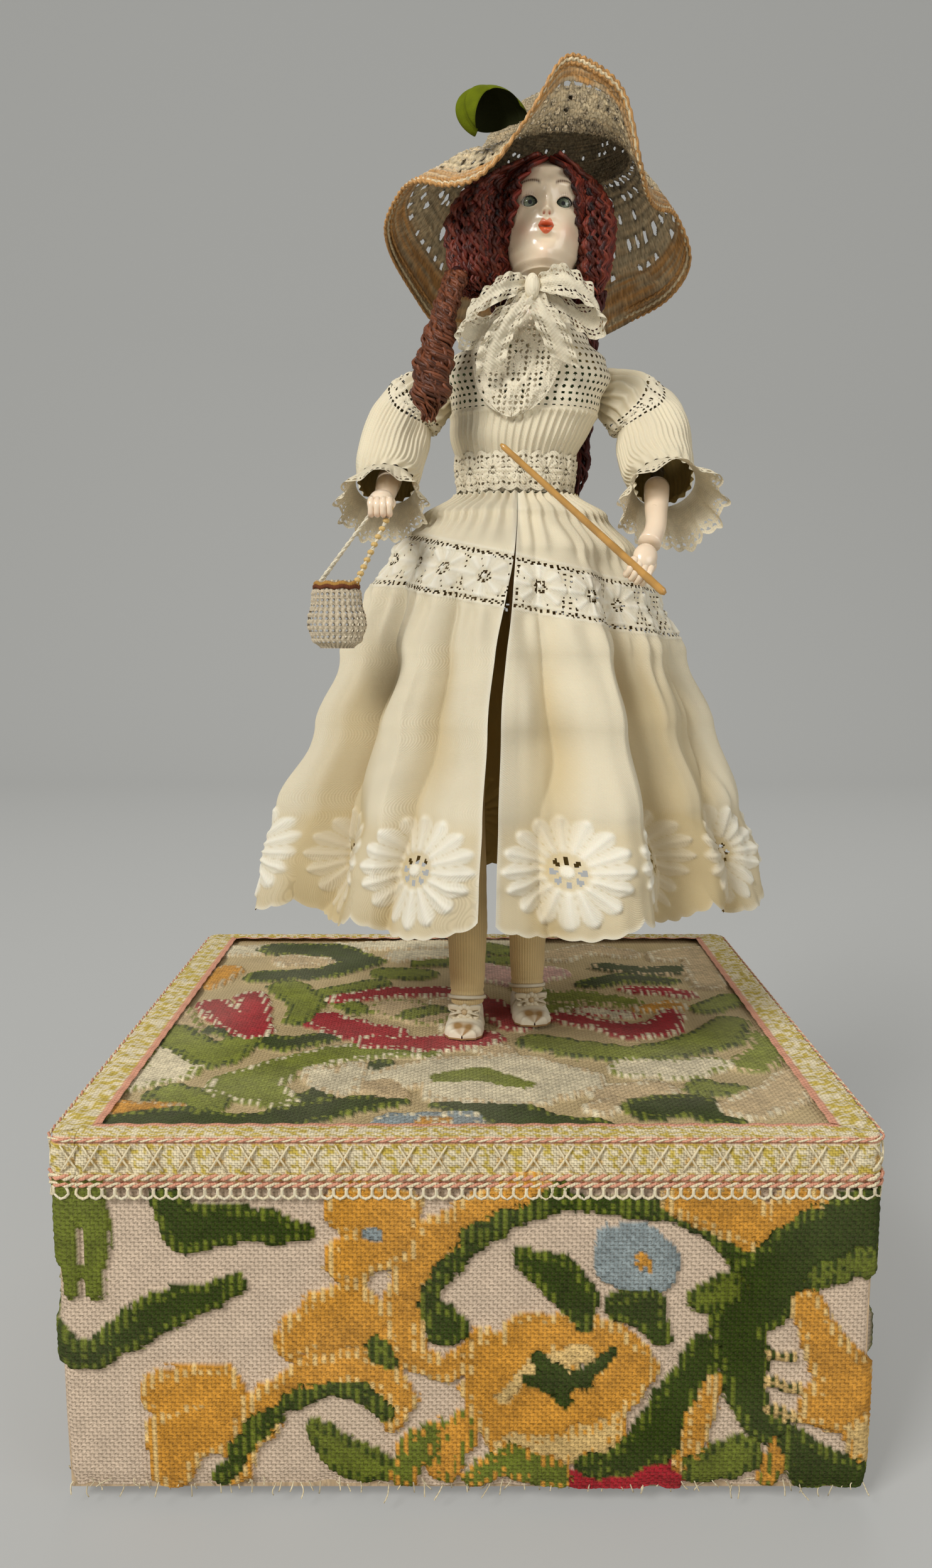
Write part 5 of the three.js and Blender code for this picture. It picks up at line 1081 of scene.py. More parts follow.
@dataclass
class EdgeBraid(SubAssembly):
    """The woven braid that is folded over the top edge, with its cords, cross stitches and picots."""

    cloth: BoxCloth
    step: float = 0.8
    out: float = 1.0
    drop: float = 17.0
    front_lap: float = 8.5
    side_lap: float = 13.5
    lift: float = 0.7
    medallion: float = 9.8
    picot: float = 3.8
    picot_pitch: float = 4.0

    def way_round(self, step: float) -> tuple[Array, Array, Array]:
        """Walks round the outline in even steps."""
        along = np.arange(0, self.cloth.girth, step)
        place, way = self.cloth.outline(along)
        return along, place, way

    def at(self, place: Array, way: Array, out: Values, z: Values) -> Array:
        """Gives places at a distance out from the outline, at a height."""
        level = np.broadcast_to(z, place.shape[:-1])
        return np.concatenate([place + way * np.reshape(out, (-1, 1)), level[..., None]], axis=-1)

    def build(self) -> None:
        """Makes the band, its cords and stitches."""
        along, place, way = self.way_round(self.step)
        share = column(0, 1, 40)
        lap = lerp(self.front_lap, self.side_lap, np.abs(way[:, 0]))
        fold = 0.36
        inward = np.where(share < fold, lap * (1 - share / fold), 0)
        z = np.where(share < fold, self.lift, self.lift - (share - fold) / (1 - fold) * self.drop)
        bend = bell(share - fold, 0.06)
        ripple = np.cos(along * TURN / self.medallion)
        relief = 0.35 * bell(share - 0.68, 0.12) * ripple + 0.18 * np.sin(share * TURN * 9)
        relief = relief + 0.2 * np.sin(along / 1.6 + 9 * share)
        out = self.out * (1 - bend * 0.6) - inward + np.where(share < fold, 0, relief)
        level = z + np.where(share < fold, relief, 0) - bend * 0.4
        inner = np.clip(1 - share / fold, 0, 1)[..., None]
        reach = np.array([self.cloth.half_width, self.cloth.half_depth]) + 2 * self.out
        limit = reach - inner * (np.array([self.side_lap, self.front_lap]) + 2 * self.out)
        flat = np.clip(place[None, :] + way[None, :] * out[..., None], -limit, limit)
        points = np.concatenate([flat, np.broadcast_to(level, flat.shape[:-1])[..., None]], axis=-1)
        shape = Shape()
        cloth = stack(along, share * 30, 0 * out)
        shape.grid(points, self.band_tint(share, along), closed=True, cloth=cloth)
        band = self.shop.piece(shape, "edge_braid_band", BRAID, replaced=["edge_braid"])
        trims = ((self.cords(), "braid_cords"), (self.loops(), "braid_picots"))
        trim = [self.shop.piece(shape, name, BRAID) for shape, name in trims]

    def band_tint(self, share: Array, along: Array) -> Array:
        """Colours the band: pink edges, gold and cream weave with oval medallions.

        Args:
            share: The share of the way across the band.
            along: The distance round the box.

        Returns:
            A colour for each place.
        """
        turn = along / self.medallion
        oval = np.hypot((np.mod(turn, 1) - 0.5) / 0.36, (share - 0.68) / 0.13)
        fleck = cell_shares(stack(np.floor(along / 1.1), np.floor(share * 30), 0.0), 2)
        cream, olive = Tint.CREAM.rgb, Tint.BRAID_GOLD.rgb
        tint = np.where((fleck > 0.45)[..., None], cream, olive)
        tint = np.where((oval < 1)[..., None], cream, tint)
        tint = np.where((oval < 0.45)[..., None], Tint.PALE_GOLD.rgb, tint)
        pink = (np.abs(share - 0.4) < 0.04) | (share < 0.06) | (share > 0.9)
        return np.where(pink[..., None], Tint.PINK_CORD.rgb, tint)

    def cords(self) -> Shape:
        """Makes the two twisted pink cords and the white cross stitches."""
        shape = Shape()
        along, place, way = self.way_round(1.1)
        for level, radius in ((-0.4, 0.55), (-12.6, 0.95), (-15.0, 0.8)):
            for strand in range(2):
                angle = along * TURN / 5.5 + strand * math.pi
                out = self.out + 0.5 + radius * 0.6 * np.cos(angle)
                path = self.at(place, way, out, level + radius * 0.6 * np.sin(angle))
                tint = (Tint.PINK_CORD if strand else Tint.CREAM).rgb
                shape.tube(path, radius * 0.62, tint, sides=5, closed=True)
        for middle in np.arange(self.medallion / 2, self.cloth.girth, self.medallion):
            for side in (-1, 1):
                spots = []
                for share in (-1, 0, 1):
                    place, way = self.cloth.outline(np.array([middle + side * share * 2.6]))
                    out = self.out + 0.9 - 0.5 * abs(share)
                    spots.append(self.at(place, way, out, -6.4 + share * 4.2)[0])
                shape.tube(spline(spots, 7), 0.36, Tint.CREAM.rgb, sides=5)
        return shape

    def loops(self) -> Shape:
        """Makes the picots that hang along the lower edge."""
        shape = Shape()
        for start in np.arange(0, self.cloth.girth - self.picot_pitch, self.picot_pitch):
            spots = []
            for share, low in ((0.1, 0), (-0.05, 0.55), (0.5, 1), (1.05, 0.55), (0.9, 0)):
                place, way = self.cloth.outline(np.array([start + share * self.picot_pitch]))
                spots.append(self.at(place, way, self.out + 0.5, -15.8 - low * self.picot)[0])
            tint = (Tint.COTTON if int(start / self.picot_pitch) % 2 else Tint.CREAM).rgb
            shape.tube(spline(spots, 9), 0.5, tint, sides=5)
        return shape


@dataclass
class Studio(SubAssembly):
    """The camera, the soft lamps and the pale sweep behind the object, in metres."""

    camera_back: float = 0.4665
    camera_rise: float = 0.1582
    pitch: float = 7.79
    focal_pixels: float = 1875.0
    sweep_half: float = 2.2
    sweep_back: float = 1.6
    sweep_front: float = -1.6
    sweep_bend: float = 0.7
    sweep_rise: float = 3.2
    lamps: tuple[tuple[str, Spot, float, float], ...] = (
        ("key_lamp", (-1.2, -1.5, 1.7), 0.8, 48.0), ("fill_lamp", (1.5, -1.3, 0.8), 1.2, 11.0),
        ("back_lamp", (0.2, 1.3, 1.7), 1.2, 9.0),
    )

    def build(self) -> None:
        """Makes the sweep, the lamps, the world and the camera."""
        self.build_sweep()
        self.build_camera()
        for lamp in self.lamps:
            self.build_lamp(*lamp)
        world = bpy.data.worlds.new("studio_world")
        world.use_nodes = True
        glow = world.node_tree.nodes["Background"].inputs
        glow["Color"].default_value = (1.0, 0.99, 0.96, 1.0)
        glow["Strength"].default_value = 0.22
        bpy.context.scene.world = world
        bpy.context.scene.view_settings.view_transform = "Standard"

    def build_lamp(self, name: str, place: Spot, size: float, power: float) -> None:
        """Adds a square softbox that looks at the doll.

        Args:
            name: The lamp's name.
            place: Where it stands, in metres.
            size: Its side, in metres.
            power: Its power in watts.
        """
        light = bpy.data.lights.new(name, "AREA")
        light.size = size
        light.energy = power
        made = bpy.data.objects.new(name, light)
        made.location = place
        made.rotation_euler = (Vector((0, 0, 0.25)) - Vector(place)).to_track_quat("-Z", "Y").to_euler()
        bpy.context.scene.collection.objects.link(made)

    def build_camera(self) -> None:
        """Puts the camera where the photograph was taken from."""
        lens = bpy.data.cameras.new("photo_camera")
        lens.sensor_width = SENSOR
        lens.sensor_fit = "AUTO"
        lens.lens = self.focal_pixels * SENSOR / PHOTO_HEIGHT
        lens.clip_start = 0.01
        made = bpy.data.objects.new("photo_camera", lens)
        made.location = (0, self.shop.origin[1] - self.camera_back, self.shop.origin[2] + self.camera_rise)
        made.rotation_euler = (math.radians(90 - self.pitch), 0, 0)
        bpy.context.scene.collection.objects.link(made)
        bpy.context.scene.camera = made

    def build_sweep(self) -> None:
        """Makes the floor that curves up into a backdrop."""
        angle = np.linspace(0, math.pi / 2, 24)
        bend = stack(self.sweep_back + self.sweep_bend * np.sin(angle), self.sweep_bend * (1 - np.cos(angle)))
        top = [self.sweep_back + self.sweep_bend, self.sweep_rise]
        profile = np.vstack([[self.sweep_front, 0], bend, top])
        x = np.array([-self.sweep_half, self.sweep_half])
        points = stack(x[None, :], profile[:, :1], profile[:, 1:])
        shape = Shape()
        shape.grid((points[:, ::-1] - self.shop.origin) / MM, np.ones(3))
        sweep = bpy.data.objects.new("studio_sweep", shape.mesh("studio_sweep", self.shop.origin))
        bpy.context.scene.collection.objects.link(sweep)
        sweep.data.materials.append(self.sweep_material())

    def sweep_material(self) -> bpy.types.Material:
        """Makes the pale paper, which keeps the object's shadow."""
        made = bpy.data.materials.new("pale_paper")
        made.use_nodes = True
        made.node_tree.nodes.clear()
        bench = Bench(made.node_tree)
        paper = bench.node("ShaderNodeBsdfDiffuse", {"Color": (0.5, 0.5, 0.48, 1.0)}).outputs[0]
        glow = {"Color": (0.45, 0.45, 0.43, 1.0), "Strength": 1.0}
        light = bench.node("ShaderNodeEmission", glow).outputs[0]
        rays = bench.node("ShaderNodeLightPath").outputs
        seen = bench.math("MAXIMUM", rays["Is Camera Ray"], rays["Is Transmission Ray"])
        seen = bench.math("MAXIMUM", seen, rays["Is Glossy Ray"])
        share = bench.math("MULTIPLY", seen, 0.45)
        mixed = bench.node("ShaderNodeMixShader", {0: share, 1: paper, 2: light}).outputs[0]
        bench.node("ShaderNodeOutputMaterial", {0: mixed})
        return made


def net_holes(across: Array, down: Array, pitch: float, openness: float) -> Array:
    """Tells which places fall in the holes of a diamond net.

    Args:
        across: Places across the lace.
        down: Places down the lace.
        pitch: The distance between holes.
        openness: How open the net is, from 0 to 1.

    Returns:
        True in the holes.
    """
    rate = math.pi / pitch
    return np.sin((across + down) * rate) * np.sin((across - down) * rate) > 1 - openness * 1.6


def flower(across: Array, down: Array, radius: float, petals: int) -> tuple[Array, Array]:
    """Works out an embroidered flower.

    Args:
        across: Distances across from its middle.
        down: Distances down from its middle.
        radius: Its radius.
        petals: How many petals it has.

    Returns:
        Its relief from 0 to 1, and its eyelets.
    """
    away = np.hypot(across, down) / radius
    angle = np.arctan2(down, across)
    petal = np.abs(np.cos(angle * petals / 2)) ** 0.6
    reach = ramp(away, 0.26, 0.12) * smooth((0.8 + 0.2 * petal - away) / 0.1)
    rib = 0.75 + 0.25 * np.cos(angle * petals * 2)
    eyelets = (np.abs(away - 0.19) < 0.055) & (np.cos(angle * 8) > 0.1)
    middle = ramp(away, 0.12, -0.05)
    return np.maximum(reach * petal * rib, middle), eyelets


@dataclass
class Skirt(SubAssembly):
    """The gathered cotton skirt with its lace band, front slit, hem flowers and scalloped hem."""

    top: float = 206.4
    hem: float = 48.0
    waist: tuple[float, float] = (23.2, 17.2)
    hem_half: tuple[float, float] = (96.2, 75.2)
    waist_x: float = 19.0
    hem_x: float = 17.0
    middle_y: float = -3.0
    folds: int = 11
    fold_depth: float = 7.4
    front_rise: float = 6.0
    deep_folds: tuple[float, ...] = (0.6, 0.89)
    slit_width: float = 2.8
    slit_sway: float = 0.1
    length: float = 184.0
    columns: int = 780
    rows: int = 250
    flowers: int = 12
    flower_radius: float = 22.5
    band_width: float = 20.0
    band_flower: float = 9.6
    band_turns: int = 18
    band_level: float = 0.215
    band_dip: float = 0.065
    flower_level: float = 0.86
    gathers: int = 46
    lower_gathers: int = 38
    slack: float = 1.07
    rows_share: tuple[Spot, ...] = (
        (0, 0, 0), (0.05, 0.16, 0.2), (0.14, 0.32, 0.38), (0.24, 0.44, 0.46), (0.38, 0.57, 0.57),
        (0.55, 0.71, 0.71), (0.75, 0.86, 0.86), (0.9, 0.96, 0.96), (1, 1, 1),
    )

    def band_middle(self, turn: Array) -> Array:
        """Gives the share of the way down at which the lace band lies."""
        return self.band_level + self.band_dip * np.cos(turn)

    def build(self) -> None:
        """Makes the skirt."""
        u = np.linspace(0, 1, self.columns)[None, :]
        v = column(0, 1, self.rows)
        gap = self.slit_width / (TURN * self.hem_half[0]) * (0.1 + 0.9 * ramp(v, 0.1, 0.25))
        turn = (0.75 + gap + u * (1 - 2 * gap)) * TURN - self.slit_sway * smooth(2 * v)
        lobe = np.abs(np.sin(math.pi * self.flowers * u))
        small = np.abs(np.sin(math.pi * self.flowers * 7 * u))
        reach = 7.5 * lobe**0.7 + 1.1 * small - 5.6 + 2.2 * flat_drift(u * 20, 0 * u, 3.0, 21)
        level = v * (1 + reach * ramp(v, 0.82, 0.18) / self.length)
        wide, deep = read_rows(self.rows_share, np.clip(level, 0, 1).ravel())
        wide, deep = wide.reshape(level.shape), deep.reshape(level.shape)
        half_x = lerp(self.waist[0], self.hem_half[0], wide)
        half_y = lerp(self.waist[1], self.hem_half[1], deep)
        girth = TURN * np.sqrt((half_x**2 + half_y**2) / 2) * self.slack
        across, down = u * girth, v * self.length
        out = self.fold_out(turn, level)
        relief, holes, lace = self.needlework(u, v, turn, girth)
        out, plain = out + relief, out
        x = lerp(self.waist_x, self.hem_x, wide) + (half_x + out) * np.cos(turn)
        y = self.middle_y + (half_y + out) * np.sin(turn)
        z = lerp(self.top, self.hem, level) + 0.5 * ramp(v, 0.04, -0.04) * np.sin(turn * self.gathers)
        z = z + self.front_rise * np.clip(-np.sin(turn), 0, 1) * level**2
        dirt = 1 - 0.07 * ramp(v, 0.86, 0.14) - 0.05 * (flat_drift(across, down, 17.0, 12) + 1) / 2
        white = np.clip(0.1 * lace + relief, 0, 0.85)[..., None]
        tint = lerp(Tint.COTTON.rgb, Tint.PETAL.rgb, white) * dirt[..., None]
        # Painted shade: an ochre tint deep in the fold valleys and on the cloth between the hem flowers
        fold_shade = np.clip(-plain / self.fold_depth, 0, 1) * smooth(4 * (level - 0.25))
        between = ramp(v, 0.74, 0.05) * (1 - np.clip(relief / 0.4, 0, 1))
        tint = lerp(tint, Tint.COTTON_SHADE.rgb, np.clip(0.5 * fold_shade + 0.3 * between, 0, 0.6)[..., None])
        cloth = stack(across, down, relief)
        shape = Shape()
        shape.grid(stack(x, y, z), tint, keep=~holes, cloth=cloth)
        skirt = self.shop.piece(shape, "cotton_skirt", COTTON, replaced=["skirt"])

    def fold_out(self, turn: Array, level: Array) -> Array:
        """Works out how far folds and gathers push the cloth out.

        Args:
            turn: The angle round the skirt.
            level: The share of the way down.

        Returns:
            Distances out from the plain bell.
        """
        wave = drift(stack(np.cos(turn) * 40, np.sin(turn) * 40, level * 60), 9.0, 31)
        fold = 1.7 * np.abs(np.cos(self.folds * turn / 2 + 0.7 * wave * level)) - 1.0
        for place in self.deep_folds:
            away = np.abs(np.mod(turn / TURN - place + 0.5, 1) - 0.5) * self.folds * 1.5
            fold = fold - np.maximum(0, 1 - away**2) * 1.6
        out = fold * self.fold_depth * smooth(np.minimum(1, 1.7 * level))
        crease = drift(stack(np.cos(turn) * 60, np.sin(turn) * 60, level * 14), 3.5, 32)
        band = self.band_middle(turn)
        yoke = np.sin(turn * self.gathers + 2 * wave) * smooth((band - 0.05 - level) / 0.08)
        below = np.sin(turn * self.lower_gathers + 3 * wave) * smooth((level - band - 0.05) / 0.04)
        below = below * smooth((band + 0.3 - level) / 0.25)
        swell = wave * (0.5 + 1.9 * smooth(level))
        return out + 0.9 * yoke + 1.2 * below + swell + 0.9 * crease * smooth(2 * level)

    def needlework(
        self, u: Array, v: Array, turn: Array, girth: Array
    ) -> tuple[Array, Array, Array]:
        """Works out the lace band, the hem flowers and their eyelets.

        Args:
            u: The share of the way round from the slit.
            v: The share of the way down.
            turn: The angle round the skirt.
            girth: The way round at each height.

        Returns:
            The relief in mm, the holes, and where the cloth is lace.
        """
        place = np.mod(u * self.flowers, 1) - 0.5
        down = (v - self.flower_level) * self.length
        relief, holes = flower(place * girth / self.flowers, down, self.flower_radius, 16)
        relief = relief * 1.4
        along = (np.mod(u * self.band_turns, 1) - 0.5) * girth / self.band_turns
        below = (v - self.band_middle(turn)) * self.length
        edge = np.abs(below) - self.band_width / 2
        inside = np.abs(below) < self.band_width / 2
        bloom, eyes = flower(along, below, self.band_flower, 8)
        net = net_holes(u * girth, below, 2.3, 0.3) & (bloom < 0.1)
        ladder = (np.abs(edge) < 0.5) & (np.sin(u * girth * math.pi) > 0.1)
        cord = bell(edge - 1.4, 0.5) + bell(edge + 1.6, 0.5)
        relief = relief + np.where(inside, 0.9 * bloom, 0) + 0.45 * cord
        edge = bell(v - 1, 0.008) + bell(np.minimum(u, 1 - u) * girth, 1.2)
        return relief + 0.4 * edge, holes | (inside & (net | eyes)) | ladder, inside


TORSO_ROWS = (
    (195, 14, 22.5, 17), (207, 19, 19.5, 14), (221, 19, 20.5, 15), (241, 22.5, 27, 16.5),
    (250, 22.8, 30.5, 14.5), (256, 23.2, 28, 13.5), (263, 24.3, 20, 12), (271, 25, 11.5, 10.5),
)


@dataclass
class Bodice(SubAssembly):
    """The pin-tucked blouse, the lace belt, the lace front and the bow at the neck."""

    middle_y: float = -3.0
    blouse_base: float = 206.6
    blouse_top: float = 270.5
    blouse_radius: float = 22.0
    belt_base: float = 207.0
    belt_top: float = 221.5
    belt_radius: float = 21.0
    belt_lace: float = 14.0
    arm_y: float = 6.0
    arm_z: float = 247.0
    arm_hole: float = 4.0
    tucks: int = 58
    yoke_z: float = 236.0
    front_width: float = 36.0
    front_height: float = 37.0
    front_top: float = 270.5
    bow_knot: Spot = (23.5, -28.0, 278.0)
    ribbon: float = 13.0

    def around(self, turn: Array, z: Array, grow: Array) -> Array:
        """Gives places round the torso.

        Args:
            turn: The angle round it.
            z: The height.
            grow: The distance out from its surface.

        Returns:
            The places.
        """
        x, wide, deep = (n.reshape(z.shape) for n in read_rows(TORSO_ROWS, z.ravel()))
        place = [x + (wide + grow) * np.cos(turn), self.middle_y + (deep + grow) * np.sin(turn)]
        return stack(*place, z)

    def front_y(self, x: Array, z: Array) -> Array:
        """Gives the torso's front surface at a place across and up."""
        middle, wide, deep = (n.reshape(z.shape) for n in read_rows(TORSO_ROWS, z.ravel()))
        share = np.clip(np.abs(x - middle) / (wide + 2), 0, 0.97)
        return self.middle_y - (deep + 2) * np.sqrt(1 - share**2)

    def build(self) -> None:
        """Makes the blouse and its lace."""
        self.build_blouse()
        self.build_belt()
        self.build_front()
        self.build_bow()

    def build_blouse(self) -> None:
        """Makes the blouse with its pin tucks and its net yoke."""
        turn, z = np.meshgrid(np.linspace(math.pi / 2, math.pi / 2 + TURN, 560),
                              np.linspace(self.blouse_top, self.blouse_base, 150))
        share = (z - self.blouse_base) / (self.blouse_top - self.blouse_base)
        tuck = np.abs(np.sin(turn * self.tucks / 2)) ** 7
        girth = turn * self.blouse_radius
        soft = flat_drift(girth, z, 7.0, 41)
        lift = smooth((self.yoke_z + 1 - z) / 2)
        grow = 0.75 + 1.1 * share + 0.75 * tuck * lift + 0.7 * soft * share + 0.5 * bell(z - self.yoke_z, 0.8)
        grow = grow + 2.0 * bell(z - self.belt_top - 5, 6)
        points = self.around(turn, z, grow)
        front = -np.sin(turn)
        arms = np.hypot(points[..., 1] - self.arm_y, z - self.arm_z) < self.arm_hole
        arms &= np.abs(np.cos(turn)) > 0.4
        yoke = (z > self.yoke_z + 1.5) & (front > 0.15)
        holes = yoke & net_holes(girth, z, 2.4, 0.3)
        tint = np.where(yoke[..., None], Tint.LACE.rgb, Tint.COTTON.rgb)
        tint = tint * (1 - 0.12 * tuck * lift - 0.05 * soft)[..., None]
        shape = Shape()
        shape.grid(points, tint, keep=~(arms | holes), cloth=stack(girth, z, share))
        blouse = self.shop.piece(shape, "cotton_blouse", COTTON, replaced=["blouse"])

    def build_belt(self) -> None:
        """Makes the ruffled lace belt with scalloped edges."""
        turn, share = np.meshgrid(np.linspace(math.pi / 2, math.pi / 2 + TURN, 620), np.linspace(0, 1, 44))
        girth = turn * self.belt_radius
        scallop = 1.2 * np.abs(np.sin(girth * math.pi / 5.2))
        z = lerp(self.belt_top - 1.2 + scallop, self.belt_base + 1.2 - scallop, share)
        middle = 4 * share * (1 - share)
        bloom, eyes = flower(np.mod(girth, 9.5) - 4.75, (share - 0.5) * self.belt_lace, 5.2, 10)
        ruffle = np.sin(girth * 0.9 + 2 * flat_drift(girth, 9 * share, 9.0, 43))
        grow = 2.5 + 0.7 * ruffle * (1 - 0.6 * middle) + 0.45 * bloom + 0.4 * middle
        holes = (net_holes(girth, share * self.belt_lace, 1.9, 0.45) & (bloom < 0.3)) | eyes
        holes &= (share > 0.08) & (share < 0.92)
        tint = Tint.LACE.rgb * (0.93 + 0.1 * bloom)[..., None]
        shape = Shape()
        shape.grid(self.around(turn, np.clip(z, 195.5, 261), grow), tint, keep=~holes,
                   cloth=stack(girth, z, grow))
        belt = self.shop.piece(shape, "ruffled_lace_belt", LACE_THREAD, replaced=["lace_belt"])

    def build_front(self) -> None:
        """Makes the lace front with its oval medallion and pointed end."""
        u, v = np.meshgrid(np.linspace(-1, 1, 150), np.linspace(0, 1, 130))
        narrow = np.sqrt(np.clip(1 - v**2.2, 0, 1))
        x = self.bow_knot[0] - 3 - 4 * v + u * (0.02 + narrow) * self.front_width / 2
        scallop = 0.9 * np.abs(np.sin(np.arctan2(v, u + 1e-6) * 12))
        z = self.front_top - v * self.front_height - scallop * v
        fold = 0.9 * np.sin(u * 9 + 3 * v)
        medal = np.hypot(u / 0.34, (v - 0.46) / 0.25)
        ring = bell(medal - 1, 0.16) + 0.8 * bell(medal, 0.35)
        side = bell(np.abs(u) - 0.8, 0.08)
        a, b = u * narrow * self.front_width / 2, v * self.front_height
        bloom, eyes = flower(np.mod(a, 8) - 4, np.mod(b, 8) - 4, 4.2, 8)
        holes = (net_holes(a, b, 2.0, 0.5) | eyes) & (ring + side < 0.45) & (bloom < 0.5) & (np.abs(u) < 0.93)
        y = self.front_y(x, z) - 2.2 - 0.5 * fold - 0.6 * ring - 0.3 * bloom
        tint = Tint.LACE.rgb * (0.9 + 0.12 * np.clip(ring + bloom, 0, 1))[..., None]
        shape = Shape()
        shape.grid(stack(x, y, z), tint, keep=~holes, cloth=stack(a, b, ring))
        front = self.shop.piece(shape, "lace_front", LACE_THREAD, replaced=["jabot"])

    def lace_ribbon(
        self,
        shape: Shape,
        path: Sequence[Spot],
        across: Sequence[Spot],
        width: Sequence[float],
        ruffle: float,
    ) -> float:
        """Adds a length of lace ribbon.

        Args:
            shape: What it is added to.
            path: Spots along its middle.
            across: Its crosswise direction at each spot.
            width: Its width at each spot.
            ruffle: How deep its edges wave.

        Returns:
            Its length in mm.
        """
        steps = 16 * len(path)
        middle = spline(path, steps)
        sideways = unit(spline(across, steps))
        wide = spline([(w,) for w in width], steps)
        run = run_along(middle)[:, None]
        share = np.linspace(-0.5, 0.5, 26)[None, :]
        face = np.cross(np.gradient(middle, axis=0), sideways)
        wave = ruffle * np.sin(run * 1.1) * (2 * np.abs(share)) ** 1.5 + 0.3 * np.cos(share * 14)
        scallop = 1 + 0.05 * np.abs(np.sin(run * math.pi / 3.2))
        points = middle[:, None] + sideways[:, None] * (share * wide * scallop)[..., None]
        points = points + unit(face)[:, None] * wave[..., None]
        bloom, eyes = flower(np.mod(run, 7) - 3.5, share * wide, 3.4, 8)
        holes = (net_holes(run, share * wide, 1.7, 0.42) & (bloom < 0.35)) | eyes
        holes &= (np.abs(share) < 0.42) & (np.abs(share) > 0.14)
        tint = Tint.LACE.rgb * (0.9 + 0.1 * bloom)[..., None]
        cloth = stack(run, share * wide, bloom)
        shape.grid(points, tint, keep=~holes, cloth=cloth)
        return float(run[-1, 0])

    def build_bow(self) -> None:
        """Makes the lace bow: two loops, two tails and the knot."""
        knot = np.array(self.bow_knot)
        shape = Shape()
        length = 0.0
        up = (0.1, 0, 1)
        left_lean, right_lean = (-0.4, 0.1, 1), (0.5, 0.1, 1)
        full, narrow = self.ribbon, 5
        ribbons = (
            (((-2, 0, 0), (-13, -5, -4), (-24, -3, -13), (-20, 2, -17), (-9, 2, -9), (-2, 2, -2)),
             [up, *[right_lean] * 4, up], [narrow, *[full] * 4, narrow], 1.1),
            (((2, 0, 0), (13, -5, -1), (23, -3, -8), (21, 2, -13), (10, 2, -7), (2, 2, -2)),
             [up, *[left_lean] * 4, up], [narrow, *[full] * 4, narrow], 1.1),
            (((-1, 0, -2), (-7, -3, -11), (-13, -1, -21), (-15, 1, -30)),
             [(1, 0, 0.4)] * 4, [narrow, full, full, full * 0.8], 0.9),
            (((1, 0, -2), (5, -3, -12), (9, -1, -20), (12, 1, -27)),
             [(1, 0, -0.4)] * 4, [narrow, full, full, full * 0.8], 0.9),
        )
        for path, across, width, ruffle in ribbons:
            spots = [tuple(knot + np.array(p)) for p in path]
            length += self.lace_ribbon(shape, spots, across, width, ruffle)
        shape.ball(knot + np.array([0, -1, -1.5]), (2.7, 2.6, 4.6), Tint.LACE.rgb, 14)
        bow = self.shop.piece(shape, "lace_bow", LACE_THREAD, replaced=["neck_bow"])


